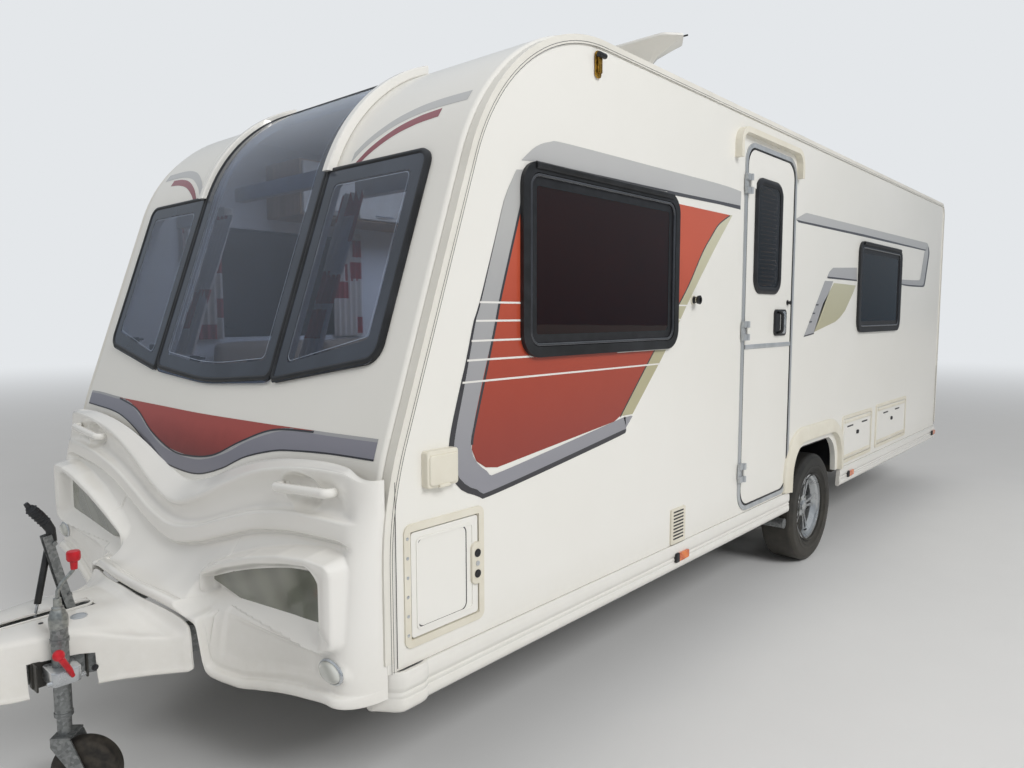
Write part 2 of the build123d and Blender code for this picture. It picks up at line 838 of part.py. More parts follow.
tyre_half = tyre_width / 2
with BuildPart() as tyre_nearside:
    with BuildSketch(wheel_section):
        with BuildLine():
            FilletPolyline(
                (-rim_width / 2, rim_radius + rim_flange), (-tyre_half, rim_radius + 60),
                (-tyre_half + 2, tyre_radius - 22), (-tyre_half + 22, tyre_radius),
                (tyre_half - 22, tyre_radius), (tyre_half - 2, tyre_radius - 22),
                (tyre_half, rim_radius + 60), (rim_width / 2, rim_radius + rim_flange),
                radius=[0, 24, 20, 16, 16, 20, 24, 0], close=True,
            )
        make_face()
    revolve(axis=wheel_axis)
save(tyre_nearside, "tyre_nearside")
save_mirrored(tyre_nearside, "tyre_offside")

# Drawbar fairing: a flat-topped box round the drawbar that flares into a low wing at the body
lever_slot_from = aft(-790)
lever_slot_to = aft(-360)
lever_slot_width = 50
clamp_from = -600
clamp_to = -430
clamp_cut_top = 425
fairing_rows = [
    # behind the front seam, half width low, half width high, low, shoulder, crown
    (-215, notch_half - 8, notch_half - 40, 366, 470, 500),
    (-290, notch_half - 78, notch_half - 124, 362, 474, 504),
    (-380, 262, 236, 352, 488, 510),
    (-450, 225, 208, 340, 500, 516),
    (-640, 168, 154, 340, 500, 514),
    (-800, 120, 106, 352, 492, 504),
]
fairing_wall = 8
fairing_flat = 0.55       # share of the top that lies flat


def fairing_section(row, inset):
    """Cross-section of the drawbar fairing, inset inwards, open edge at the bottom."""
    setback, low_half, high_half, low, shoulder, crown = row
    hem = low - (1 if inset else 0)
    flat_half = fairing_flat * high_half
    with BuildSketch(across(aft(setback))) as section:
        with BuildLine():
            Polyline(
                (-low_half + inset, hem), (-high_half + inset, shoulder - inset), (-flat_half, crown - inset),
                (flat_half, crown - inset), (high_half - inset, shoulder - inset), (low_half - inset, hem),
                close=True,
            )
        make_face()
    return section.sketch


with BuildPart() as drawbar_fairing:
    loft([fairing_section(row, 0) for row in fairing_rows], ruled=True)
    loft([fairing_section(row, fairing_wall) for row in fairing_rows], ruled=True, mode=Mode.SUBTRACT)
    with BuildSketch(Plane.YZ):
        with Locations((aft((clamp_from + clamp_to) / 2), clamp_cut_top - 100)):
            Rectangle(clamp_to - clamp_from, 200)
    extrude(amount=400, mode=Mode.SUBTRACT)
    with BuildSketch(Plane.XY.offset(member_top)):
        with Locations((0, (lever_slot_from + lever_slot_to) / 2)):
            SlotOverall(lever_slot_to - lever_slot_from, lever_slot_width, rotation=90)
    extrude(amount=200, mode=Mode.SUBTRACT)
save(drawbar_fairing, "drawbar_fairing")


# Coupling: overrun housing and tube, bellows, and ball coupling head with its lever
coupling_z = 410
tube_radius = 25
ball_radius = 25
head_radius = 42
housing_length = 100
shank_length = 110
ball_y = head_radius - overall_length / 2
housing_front = arm_front_y - housing_length
with BuildPart() as overrun_device:
    with BuildSketch(across(arm_front_y)):
        with Locations((0, coupling_z)):
            RectangleRounded(150, 92, 12)
    extrude(amount=housing_length)
    with BuildSketch(across(housing_front)):
        with Locations((0, coupling_z)):
            Circle(tube_radius)
    extrude(amount=housing_front - ball_y - shank_length + 49)
with BuildPart() as drawbar:
    add(drawbar_arms.part)
    add(overrun_device.part)
save(drawbar, "drawbar")

bellows_length = housing_front - ball_y - shank_length
ridge_count = 6
with BuildPart() as bellows:
    with BuildSketch(across(housing_front)):
        with Locations((0, coupling_z)):
            Circle(34)
            Circle(tube_radius, mode=Mode.SUBTRACT)
    extrude(amount=bellows_length)
    for step in range(ridge_count):
        with BuildSketch(across(housing_front - (step + 0.25) * bellows_length / ridge_count)):
            with Locations((0, coupling_z)):
                Circle(42)
                Circle(33, mode=Mode.SUBTRACT)
        extrude(amount=bellows_length / ridge_count / 2)
save(bellows, "bellows")

with BuildPart() as coupling_head:
    with BuildSketch(across(ball_y + shank_length)):
        with Locations((0, coupling_z)):
            Circle(36)
            Circle(tube_radius, mode=Mode.SUBTRACT)
    extrude(amount=50)
    with BuildSketch(Plane.XY.offset(coupling_z - 30)):
        with Locations((0, ball_y)):
            Circle(head_radius)
        with Locations((0, ball_y + 30)):
            Rectangle(64, 62)
    extrude(amount=72)
    with BuildSketch(Plane.XY.offset(coupling_z - 30)):
        with Locations((0, ball_y)):
            Circle(ball_radius)
    extrude(amount=34, mode=Mode.SUBTRACT)
    with BuildSketch(Plane.YZ.offset(-16)):
        Polygon(
            (ball_y - 10, coupling_z + 42), (ball_y + 30, coupling_z + 42), (ball_y + 150, coupling_z + 92),
            (ball_y + 146, coupling_z + 108), (ball_y + 20, coupling_z + 64), (ball_y - 14, coupling_z + 56),
            align=None,
        )
    extrude(amount=32)
save(coupling_head, "coupling_head")

# Handbrake lever on a cross tube through the drawbar's arms, leaning back, with its gas strut
lever_foot = (aft(-395), 520)
lever_top = (aft(-472), 770)
lever_tip = (aft(-540), 862)
lever_width = 32
grip_width = 26
strut_foot = (aft(-500), 452)
strut_top = (aft(-478), 740)
strut_radius = 10
lever_pivot_drop = 68
lever_tube_radius = 14
lever_tube_half = 184
with BuildPart() as handbrake_lever:
    with BuildSketch(Plane.YZ.offset(-lever_width / 2)):
        Polygon(
            (lever_foot[0] + 20, lever_foot[1] - 60), (lever_foot[0] + 26, lever_foot[1]),
            (lever_top[0] + 22, lever_top[1] + 8), (lever_top[0] - 18, lever_top[1] - 6),
            (lever_foot[0] - 14, lever_foot[1]), (lever_foot[0] - 14, lever_foot[1] - 60), align=None,
        )
    extrude(amount=lever_width)
    with BuildSketch(Plane.YZ.offset(-grip_width / 2)):
        Polygon(
            (lever_top[0] + 18, lever_top[1] - 6), (lever_tip[0] + 20, lever_tip[1]),
            (lever_tip[0], lever_tip[1] - 12), (lever_top[0] - 14, lever_top[1] - 18), align=None,
        )
    extrude(amount=grip_width)
    with BuildSketch(Plane.YZ.offset(-lever_tube_half)):
        with Locations((lever_foot[0], lever_foot[1] - lever_pivot_drop)):
            Circle(lever_tube_radius)
    extrude(amount=2 * lever_tube_half)
    with BuildSketch(Plane.YZ.offset(-strut_radius)):
        Polygon(
            (strut_foot[0] - 6, strut_foot[1]), (strut_foot[0] + 6, strut_foot[1]),
            (strut_top[0] + strut_radius, strut_top[1]), (strut_top[0] - strut_radius, strut_top[1]),
            align=None,
        )
        Polygon(
            (strut_foot[0] - 6, strut_foot[1]), (strut_foot[0] - 6, strut_foot[1] + 14),
            (lever_foot[0], lever_foot[1] - lever_pivot_drop + 10),
            (lever_foot[0], lever_foot[1] - lever_pivot_drop - 8),
            align=None,
        )
    extrude(amount=2 * strut_radius)
    add(drawbar_arms.part, mode=Mode.SUBTRACT)
save(handbrake_lever, "handbrake_lever")

# Jockey wheel: clamp on the near drawbar arm, outer tube, castoring stem and wheel
jockey_x = 228
jockey_y = aft(-525)
jockey_tube_radius = 24
jockey_stem_radius = 19.95
jockey_bore = 20
jockey_tube_low = 270
jockey_tube_top = 560
jockey_wheel_radius = 100
jockey_wheel_width = 56
jockey_trail = 60
trail_angle = 45
fork_plate = 5
fork_gap = 6
fork_top = 2 * jockey_wheel_radius + 12
jockey_cap_height = 14
crank_rod_radius = 8
crank_rod_height = 110
crank_reach = 68
crank_arm_width = 16
crank_arm_thickness = 6
crank_knob_radius = 13
crank_knob_height = 52
clamp_height = 50
clamp_length = 74
clamp_inner_x = jockey_x - 60
with BuildPart() as jockey_tube:
    tube_steps = [
        # from, to, radius
        (jockey_tube_low, jockey_tube_top, jockey_tube_radius),
        (jockey_tube_top, jockey_tube_top + jockey_cap_height, jockey_tube_radius + 3),
    ]
    for low_z, high_z, radius in tube_steps:
        with BuildSketch(Plane.XY.offset(low_z)):
            with Locations((jockey_x, jockey_y)):
                Circle(radius)
        extrude(amount=high_z - low_z)
    fillet(jockey_tube.edges().sort_by(Axis.Z)[-1], 5)
    with BuildSketch(Plane.XY.offset(jockey_tube_low)):
        with Locations((jockey_x, jockey_y)):
            Circle(jockey_bore)
    extrude(amount=jockey_tube_top - jockey_tube_low, mode=Mode.SUBTRACT)
    crank_z = jockey_tube_top + jockey_cap_height + crank_rod_height
    with BuildSketch(Plane.XY.offset(jockey_tube_top + jockey_cap_height)):
        with Locations((jockey_x, jockey_y)):
            Circle(crank_rod_radius)
    extrude(amount=crank_rod_height)
    with BuildSketch(Plane.XY.offset(crank_z - crank_arm_thickness)):
        with Locations((jockey_x + crank_reach / 2, jockey_y)):
            SlotCenterToCenter(crank_reach, crank_arm_width)
    extrude(amount=crank_arm_thickness)
    with BuildSketch(Plane.XY.offset(crank_z)):
        with Locations((jockey_x + crank_reach, jockey_y)):
            Circle(crank_knob_radius)
    extrude(amount=crank_knob_height)
    fillet(jockey_tube.edges().sort_by(Axis.Z)[-1], 6)

with BuildPart() as jockey_clamp:
    with BuildSketch(Plane.XY.offset(arm_top - arm_depth + 5)):
        with Locations((jockey_x - 26, jockey_y)):
            Rectangle(110, clamp_length)
        with Locations((jockey_x, jockey_y)):
            Circle(jockey_tube_radius, mode=Mode.SUBTRACT)
    extrude(amount=clamp_height)
    add(drawbar_arms.part, mode=Mode.SUBTRACT)
    split(bisect_by=Plane.YZ.offset(clamp_inner_x), keep=Keep.TOP)
with BuildPart() as jockey_post:
    add(jockey_tube.part)
    add(jockey_clamp.part)
save(jockey_post, "jockey_post")

# The castor trails away from the stem, so its fork and wheel are built on a turned plane
trail = Vector(1, 0, 0).rotate(Axis.Z, trail_angle)
castor_plane = Plane(
    origin=(jockey_x, jockey_y, 0),
    x_dir=trail,
    z_dir=trail.rotate(Axis.Z, 90) * -1,
)
fork_half = jockey_wheel_width / 2 + fork_gap
with BuildPart() as jockey_stem:
    with BuildSketch(Plane.XY.offset(fork_top)):
        with Locations((jockey_x, jockey_y)):
            Circle(jockey_stem_radius)
    extrude(amount=jockey_tube_top - 30 - fork_top)
    for side in (-1, 1):
        with BuildSketch(castor_plane.offset(side * (fork_half + fork_plate / 2) - fork_plate / 2)):
            with BuildLine():
                FilletPolyline(
                    (-24, fork_top), (24 + 10, fork_top), (jockey_trail + 22, jockey_wheel_radius - 10),
                    (jockey_trail - 8, jockey_wheel_radius - 20), (-24, fork_top - 24),
                    radius=[0, 10, 14, 14, 8], close=True,
                )
            make_face()
        extrude(amount=fork_plate)
    with BuildSketch(castor_plane.offset(-fork_half - fork_plate)):
        with Locations((5, fork_top + 3)):
            Rectangle(58, 6)
    extrude(amount=2 * (fork_half + fork_plate))
    with BuildSketch(castor_plane.offset(-fork_half - fork_plate - 4)):
        with Locations((jockey_trail, jockey_wheel_radius)):
            Circle(6)
    extrude(amount=2 * (fork_half + fork_plate + 4))
save(jockey_stem, "jockey_stem")

with BuildPart() as jockey_wheel:
    with BuildSketch(castor_plane.offset(-jockey_wheel_width / 2)):
        with Locations((jockey_trail, jockey_wheel_radius)):
            Circle(jockey_wheel_radius)
            Circle(6 + bearing_gap, mode=Mode.SUBTRACT)
    extrude(amount=jockey_wheel_width)
    fillet(jockey_wheel.edges().filter_by(GeomType.CIRCLE).sort_by(SortBy.RADIUS)[-2:], 14)
save(jockey_wheel, "jockey_wheel")

# Entrance door: frame, insulated leaf, window, handle, hinges, retainer and canopy
door_from, door_to, door_low, door_high = door_opening
door_rim = 26
door_frame_proud = 6
leaf_thickness = 28
leaf_outer = half_width + 2
hinge_x = half_width + 20
hinge_setback = door_from + 35
hinge_radius = 9
hinge_heights = (700, 1390, 2080)
knuckle_length = 30
pin_radius = 3
leaf_inset = door_rim + fit_gap
door_bounds = (aft(door_from), aft(door_to), door_low, door_high)

door_window = (2295, 2580, 1590, 2110)
leaf_from = door_from + leaf_inset
leaf_to = door_to - leaf_inset
with BuildPart() as door_leaf:
    add(side_block(
        leaf_outer - leaf_thickness, leaf_outer, aft(leaf_from), aft(leaf_to),
        door_low + leaf_inset, door_high - leaf_inset, door_corner - 16,
    ))
    add(side_block(
        leaf_outer - leaf_thickness, leaf_outer, aft(door_window[0] + 20), aft(door_window[1] - 20),
        door_window[2] + 20, door_window[3] - 20, 40,
    ), mode=Mode.SUBTRACT)
    for height in hinge_heights:
        with BuildSketch(Plane.XY.offset(height - knuckle_length / 2)):
            with Locations((hinge_x, aft(hinge_setback))):
                Circle(hinge_radius)
            with Locations((hinge_x - hinge_radius / 2 - 4, aft(hinge_setback) + 24)):
                Rectangle(hinge_radius - 1, 50)
            with Locations((hinge_x, aft(hinge_setback))):
                Circle(pin_radius + bearing_gap, mode=Mode.SUBTRACT)
        extrude(amount=knuckle_length)
        add(side_block(
            leaf_outer, hinge_x - 4, aft(hinge_setback) + 30, aft(hinge_setback) + 60,
            height - knuckle_length / 2, height + knuckle_length / 2,
        ))
save(door_leaf, "door_leaf")

with BuildPart() as door_window_pane:
    add(side_block(
        leaf_outer, leaf_outer + 7, aft(door_window[0]), aft(door_window[1]),
        door_window[2], door_window[3], 55,
    ))
    fillet(door_window_pane.faces().sort_by(Axis.X)[-1].edges(), 4)
save(door_window_pane, "door_window")

# The frame's half of each hinge carries the two end barrels and the pin
with BuildPart() as door_frame:
    add(side_ring(inner_half, half_width, *door_bounds, door_corner + 8, door_rim - 4))
    add(side_ring(half_width, half_width + door_frame_proud, *door_bounds, door_corner, door_rim - 4))
    for height in hinge_heights:
        for rise in (-knuckle_length - 1, knuckle_length + 1):
            low_z = height + rise - knuckle_length / 2
            with BuildSketch(Plane.XY.offset(low_z)):
                with Locations((hinge_x, aft(hinge_setback))):
                    Circle(hinge_radius)
            extrude(amount=knuckle_length)
            add(side_block(
                half_width + door_frame_proud, hinge_x, aft(door_from) - 8, aft(hinge_setback) - 2,
                low_z, low_z + knuckle_length,
            ))
        with BuildSketch(Plane.XY.offset(height - knuckle_length)):
            with Locations((hinge_x, aft(hinge_setback))):
                Circle(pin_radius)
        extrude(amount=2 * knuckle_length)
save(door_frame, "door_frame")

# Door handle: a plate with a pull on two feet, and the retainer's stud. The stud's catch on
# the wall is at the same distance from the hinge.
handle_setback = 2630
handle_z = 1430
handle_half_width = 13
pull_out = 34
retainer_reach = 519
retainer_z = 1530
stud_radius = 13
with BuildPart() as door_handle:
    handle_y = aft(handle_setback)
    add(side_block(
        leaf_outer, leaf_outer + 5, handle_y - 26, handle_y + 26,
        handle_z - 75, handle_z + 75, 24,
    ))
    pull_steps = [
        # from the plate's face, heights relative to the handle's middle
        (5, -52, -34),
        (5, 34, 52),
        (26, -40, 40),
    ]
    for rise, low_z, high_z in pull_steps:
        add(side_block(
            leaf_outer + rise, leaf_outer + pull_out,
            handle_y - handle_half_width, handle_y + handle_half_width,
            handle_z + low_z, handle_z + high_z, 4,
        ))
    with BuildSketch(Plane.YZ.offset(leaf_outer)):
        with Locations((aft(hinge_setback + retainer_reach), retainer_z)):
            Circle(stud_radius)
    extrude(amount=20)
save(door_handle, "door_handle")
with BuildPart() as retainer_catch:
    catch_steps = [
        # from the wall, to, radius
        (0, 6, 20),
        (6, 28, stud_radius),
    ]
    for low_x, high_x, radius in catch_steps:
        with BuildSketch(Plane.YZ.offset(half_width + low_x)):
            with Locations((aft(hinge_setback - retainer_reach), retainer_z)):
                Circle(radius)
        extrude(amount=high_x - low_x)

# Drip canopy over the door
canopy_overhang = (110, 30)   # beyond the door opening, ahead and behind
canopy_low = 2185
canopy_high = 2330
canopy_rim = 26
canopy_proud = 34
canopy_from = aft(door_from) - canopy_overhang[0]
canopy_to = aft(door_to) + canopy_overhang[1]
with BuildPart() as door_canopy:
    with BuildSketch(Plane.YZ.offset(half_width)):
        with BuildLine():
            FilletPolyline(
                (canopy_from, canopy_low), (canopy_from, canopy_high),
                (canopy_to, canopy_high), (canopy_to, canopy_low),
                (canopy_to - canopy_rim, canopy_low), (canopy_to - canopy_rim, canopy_high - canopy_rim),
                (canopy_from + canopy_rim, canopy_high - canopy_rim), (canopy_from + canopy_rim, canopy_low),
                radius=[0, 80, 80, 0, 0, 54, 54, 0], close=True,
            )
        make_face()
    extrude(amount=canopy_proud)
save(door_canopy, "door_canopy")

# Side windows: a rubber-edged frame lapping the wall outside, a pane inside it
side_frame_proud = 16
side_pane_thickness = 6
window_sides = [
    # place, opening, +1 door side or -1 far side
    ("lounge nearside", front_window, 1),
    ("bedroom nearside", rear_window, 1),
    ("lounge offside", front_window, -1),
    ("kitchen offside", kitchen_window, -1),
    ("washroom offside", washroom_window, -1),
]
with BuildPart() as side_window_frames:
    for name, (start, end, low, high), side in window_sides:
        outer_x = side * (half_width + side_frame_proud)
        add(side_ring(
            min(side * half_width, outer_x), max(side * half_width, outer_x), aft(start), aft(end),
            low, high, window_corner, window_rim,
        ))
save(side_window_frames, "side_window_frames")
with BuildPart() as side_window_panes:
    for name, (start, end, low, high), side in window_sides:
        outer_x = side * (half_width + side_pane_thickness)
        add(side_block(
            min(side * half_width, outer_x), max(side * half_width, outer_x),
            aft(start) + window_rim, aft(end) - window_rim, low + window_rim, high - window_rim,
            window_corner - window_rim,
        ))
save(side_window_panes, "side_window_panes")

# Locker hatches: a frame on the wall and a lid inside it that swings outwards
lid_outer = half_width + 2
lid_thickness = 24
hatch_proud = 5


def hatch_frame(opening):
    """Surround of a hatch: a lining through the wall with a lip over its outer face."""
    start, end, low, high = opening
    with BuildPart() as surround:
        add(side_ring(
            inner_half, half_width, aft(start) + 12, aft(end) - 12, low + 12, high - 12,
            hatch_corner - 4, 10,
        ))
        add(side_ring(
            half_width, half_width + hatch_proud, aft(start), aft(end), low, high, hatch_corner, 22,
        ))
    return surround


def hatch_lid(opening):
    """Lid that fills a hatch frame, with a pressed panel on its face."""
    start, end, low, high = opening
    margin = 22 + fit_gap
    with BuildPart() as lid:
        add(side_block(
            lid_outer - lid_thickness, lid_outer, aft(start) + margin, aft(end) - margin,
            low + margin, high - margin, 10,
        ))
        add(side_ring(
            lid_outer, lid_outer + 2.5, aft(start) + margin + 18, aft(end) - margin - 18,
            low + margin + 18, high - margin - 18, 14, 7,
        ))
    return lid


hatches = [
    # name, opening, +1 door side or -1 far side
    ("gas_hatch", front_hatch, 1),
    ("bed_hatch", bed_hatch, 1),
    ("locker_hatch", locker_hatch, 1),
    ("cassette_hatch", cassette_hatch, -1),
]
with BuildPart() as hatch_frames:
    for name, opening, side in hatches:
        surround = hatch_frame(opening)
        if side > 0:
            add(surround.part)
        else:
            add(mirror(surround.part, about=Plane.YZ))
save(hatch_frames, "hatch_frames")
for name, opening, side in hatches:
    lid = hatch_lid(opening)
    if side > 0:
        save(lid, name + "_lid")
    else:
        save_mirrored(lid, name + "_lid")

# Rear: lamp moulding across the tail with its recesses, lamps, high brake lamp and grab handles
tail_low = 420
tail_high = 700
tail_half = half_width - 20
rear_face = rear_y + panel_crown
tail_lamp_x = tail_half - 130
tail_lamp_z = 560
tail_lamp_size = (220, 110)
tail_recess_face = rear_face + tail_depth - 26
tail_lamp_gap = 2
plate_recess = (540, 130)
brake_lamp_size = (300, 40)
brake_lamp_z = 2250
rear_handle_x = half_width - 190
rear_handle_z = 960
rear_handle_length = 240
rear_handle_reach = 32
with BuildPart() as rear_handles:
    for side in (-1, 1):
        with BuildSketch(Plane.XY.offset(rear_handle_z)):
            with Locations((side * rear_handle_x, rear_face + rear_handle_reach)):
                Circle(handle_radius)
        extrude(amount=rear_handle_length)
        with BuildSketch(across(rear_face)):
            with Locations((side * rear_handle_x, rear_handle_z + rear_handle_length / 2)):
                with GridLocations(0, rear_handle_length - 2 * handle_foot_inset, 1, 2):
                    Circle(handle_radius - 1)
        extrude(amount=-rear_handle_reach)
with BuildPart() as all_handles:
    add(grab_handles.part)
    add(rear_handles.part)
save(all_handles, "grab_handles")
with BuildPart() as tail_moulding:
    with BuildSketch(Plane.YZ.offset(-tail_half)):
        with BuildLine():
            FilletPolyline(
                (rear_face, tail_low), (rear_face + tail_depth - 15, tail_low),
                (rear_face + tail_depth, tail_low + 60), (rear_face + tail_depth - 25, tail_high - 60),
                (rear_face, tail_high),
                radius=[0, 12, 30, 20, 0], close=True,
            )
        make_face()
    extrude(amount=2 * tail_half)
    with BuildSketch(across(tail_recess_face)):
        with Locations((-tail_lamp_x, tail_lamp_z), (tail_lamp_x, tail_lamp_z)):
            RectangleRounded(*tail_lamp_size, 20)
        with Locations((0, tail_lamp_z - 20)):
            RectangleRounded(*plate_recess, 10)
    extrude(amount=-60, mode=Mode.SUBTRACT)
save(tail_moulding, "tail_moulding")
with BuildPart() as tail_lamps:
    with BuildSketch(across(tail_recess_face)):
        with Locations((-tail_lamp_x, tail_lamp_z), (tail_lamp_x, tail_lamp_z)):
            RectangleRounded(tail_lamp_size[0] - 2 * tail_lamp_gap, tail_lamp_size[1] - 2 * tail_lamp_gap, 18)
    extrude(amount=-14)
    with BuildSketch(across(rear_face)):
        with Locations((0, brake_lamp_z)):
            RectangleRounded(*brake_lamp_size, 16)
    extrude(amount=-16)
save(tail_lamps, "tail_lamps")

# Small fittings on the door side: socket box, vent plate, marker lamps
with BuildPart() as socket_box:
    add(side_block(half_width, half_width + 26, aft(130), aft(250), 985, 1090, 10))
    fillet(socket_box.faces().sort_by(Axis.X)[-1].edges(), 5)
with BuildPart() as vent_plate:
    add(side_block(half_width, half_width + 7, aft(1515), aft(1636), 494, 645, 6))
with BuildPart() as wall_fittings:
    add(socket_box.part)
    add(vent_plate.part)
    add(retainer_catch.part)
save(wall_fittings, "wall_fittings")
marker_setbacks = (1597, 3837, 6082)
marker_z = 434
with BuildPart() as side_markers:
    for setback in marker_setbacks:
        add(side_block(
            skirt_outer, skirt_outer + 12, aft(setback) - 52, aft(setback) + 52,
            marker_z - 17, marker_z + 17, 8,
        ))
    mirror(about=Plane.YZ)
save(side_markers, "side_markers")

# Rooflight lids: clear domes over the roof's kerbs
for label, start, end, half in rooflights:
    with BuildPart() as dome:
        with BuildSketch(Plane.XY.offset(roof_outer + kerb_height + 5)):
            with Locations((0, aft((start + end) / 2))):
                RectangleRounded(2 * half - 8, end - start - 8, 38)
        extrude(amount=lid_height)
        fillet(dome.faces().sort_by(Axis.Z)[-1].edges(), 14)
    save(dome, f"rooflight_lid_{label}")

# Roof aerial: flanged mast foot and a flat winged head that turns on it
aerial_x = half_width - 215
aerial_y = aft(1630)
mast_foot_radius = 60
mast_radius = 18
head_z = 2590
head_span = 370
head_chord = 190
with BuildPart() as aerial_foot:
    with BuildSketch(Plane.XY.offset(roof_outer)):
        with Locations((aerial_x, aerial_y)):
            Circle(mast_foot_radius)
    extrude(amount=14)
    with BuildSketch(Plane.XY.offset(roof_outer + 14)):
        with Locations((aerial_x, aerial_y)):
            Circle(mast_radius + 8)
            Circle(mast_radius + bearing_gap, mode=Mode.SUBTRACT)
    extrude(amount=50)
save(aerial_foot, "aerial_foot")
with BuildPart() as aerial_head:
    with BuildSketch(Plane.XY.offset(roof_outer + 14 + 2)):
        with Locations((aerial_x, aerial_y)):
            Circle(mast_radius)
    extrude(amount=head_z - roof_outer - 16)
    with BuildSketch(Plane.XY.offset(head_z)):
        with Locations((aerial_x, aerial_y)):
            Ellipse(head_span / 2, head_chord / 2)
    extrude(amount=34)
    fillet(aerial_head.faces().sort_by(Axis.Z)[-1].edges(), 12)
save(aerial_head, "aerial_head")

# Corner steadies: a channel bracket under the floor at each corner and a folded leg
steady_x = half_width - 295
steady_front_pivot = aft(1010)
steady_rear_pivot = rear_y - 1010
steady_pivot_z = floor_underside - 42
steady_leg_length = 430
steady_leg_width = 40
steady_plate = 5
steadies = [
    # name, side, pivot, direction of the foot
    ("front_nearside", 1, steady_front_pivot, -1),
    ("front_offside", -1, steady_front_pivot, -1),
    ("rear_nearside", 1, steady_rear_pivot, 1),
    ("rear_offside", -1, steady_rear_pivot, 1),
]
bracket_plate = 4
bracket_reach = 440
bracket_edge = 14
steady_pin_radius = 6
with BuildPart() as steady_brackets:
    for name, side, pivot_y, ahead in steadies:
        for edge in (-1, 1):
            with BuildSketch(Plane.YZ.offset(side * steady_x + edge * (steady_leg_width / 2 + 7) - 2)):
                with BuildLine():
                    Polyline(
                        (pivot_y - ahead * 60, floor_underside), (pivot_y - ahead * 25, steady_pivot_z - 20),
                        (pivot_y + ahead * 30, steady_pivot_z - 20),
                        (pivot_y + ahead * 90, floor_underside - bracket_edge),
                        (pivot_y + ahead * bracket_reach, floor_underside - bracket_edge),
                        (pivot_y + ahead * bracket_reach, floor_underside),
                        close=True,
                    )
                make_face()
            extrude(amount=bracket_plate)
        with BuildSketch(Plane.XY.offset(floor_underside)):
            with Locations((side * steady_x, pivot_y + ahead * (bracket_reach - 60) / 2)):
                Rectangle(steady_leg_width + 18, bracket_reach + 60)
        extrude(amount=-bracket_plate)
        with BuildSketch(Plane.YZ.offset(side * steady_x - steady_leg_width / 2 - 9)):
            with Locations((pivot_y, steady_pivot_z)):
                Circle(steady_pin_radius)
        extrude(amount=steady_leg_width + 18)
save(steady_brackets, "steady_brackets")
steady_top = 14            # top of the leg above its pivot
steady_pad = (70, 50, 6)
for name, side, pivot_y, ahead in steadies:
    with BuildPart() as leg:
        foot_y = pivot_y + ahead * steady_leg_length
        with BuildSketch(Plane.YZ.offset(side * steady_x - steady_leg_width / 2)):
            with BuildLine():
                Polyline(
                    (pivot_y - ahead * 16, steady_pivot_z + steady_top),
                    (pivot_y - ahead * 16, steady_pivot_z - 16),
                    (foot_y, steady_pivot_z - 8), (foot_y, steady_pivot_z + steady_top),
                    close=True,
                )
            make_face()
        extrude(amount=steady_leg_width)
        with BuildSketch(Plane.YZ.offset(side * steady_x - steady_leg_width / 2 + steady_plate)):
            with Locations(((pivot_y + foot_y) / 2, steady_pivot_z + steady_top - steady_plate - 50)):
                Rectangle(steady_leg_length + 200, 100)
        extrude(amount=steady_leg_width - 2 * steady_plate, mode=Mode.SUBTRACT)
        with BuildSketch(across(foot_y)):
            with Locations((side * steady_x, steady_pivot_z)):
                Rectangle(steady_pad[0], steady_pad[1])
        extrude(amount=-ahead * steady_pad[2])
        with BuildSketch(Plane.YZ.offset(side * steady_x - steady_leg_width / 2)):
            with Locations((pivot_y, steady_pivot_z)):
                Circle(steady_pin_radius + bearing_gap)
        extrude(amount=steady_leg_width, mode=Mode.SUBTRACT)
    save(leg, f"steady_leg_{name}")

# Cabin fittings seen through the glass. Each row holds x from, x to, then places behind the
# front seam, then heights.
cabin = floor_top
seat_high = cabin + 400
furniture = [
    # what, x from, x to, places behind the front seam, heights
    ("shelf over the gas locker", -inner_half, inner_half, 150, 420, 1130, 1160),
    ("gas locker wall", -inner_half, inner_half, 405, 420, cabin, 1130),
    ("chest of drawers", -330, 330, 425, 800, cabin, 1110),
    ("near settee", 440, inner_half, 425, 1900, cabin, seat_high),
    ("far settee", -inner_half, -440, 425, 1900, cabin, seat_high),
    ("kitchen unit", -inner_half, -560, 1960, 2840, cabin, cabin + 900),
    ("wardrobe", 560, inner_half, 3660, 3860, cabin, 2300),
    ("bed base", -100, inner_half, 3880, 4960, cabin, seat_high),
    ("near washroom wall", 160, inner_half, 5000, 5025, cabin, 2370),
    ("far washroom wall", -inner_half, -480, 5000, 5025, cabin, 2370),
    ("near overhead locker", 760, inner_half, 980, 2050, 1990, 2280),
    ("far overhead locker", -inner_half, -760, 980, 2050, 1990, 2280),
]
with BuildPart() as cabin_furniture:
    for what, low_x, high_x, start, end, low_z, high_z in furniture:
        add(side_block(low_x, high_x, aft(start), aft(end), low_z, high_z))
save(cabin_furniture, "cabin_furniture")

# Soft goods: seat and back cushions, mattress, curtains gathered beside the windows
cushion = 130
back_high = 420
soft_gap = 0.5
with BuildPart() as seat_cushions:
    add(side_block(480, inner_half - 140, aft(460), aft(1880), seat_high + soft_gap, seat_high + cushion))
    fillet(seat_cushions.edges(), 30)
with BuildPart() as backrests:
    add(side_block(
        inner_half - 138, inner_half - 50, aft(600), aft(1880),
        seat_high + soft_gap, seat_high + back_high,
    ))
    fillet(backrests.edges(), 30)
with BuildPart() as curtains:
    for start in (front_window[0] - 60, front_window[1] - 150):
        add(side_block(inner_half - 45, inner_half - 5, aft(start), aft(start + 210), 1340, 1960))
    mirror(about=Plane.YZ)
save(curtains, "curtains")
with BuildPart() as mattress:
    add(side_block(-80, inner_half - 10, aft(3890), aft(4950), seat_high + soft_gap, seat_high + 150))
    fillet(mattress.edges(), 40)
with BuildPart() as soft_furnishings:
    add(seat_cushions.part)
    add(backrests.part)
    mirror(about=Plane.YZ)
    add(mattress.part)
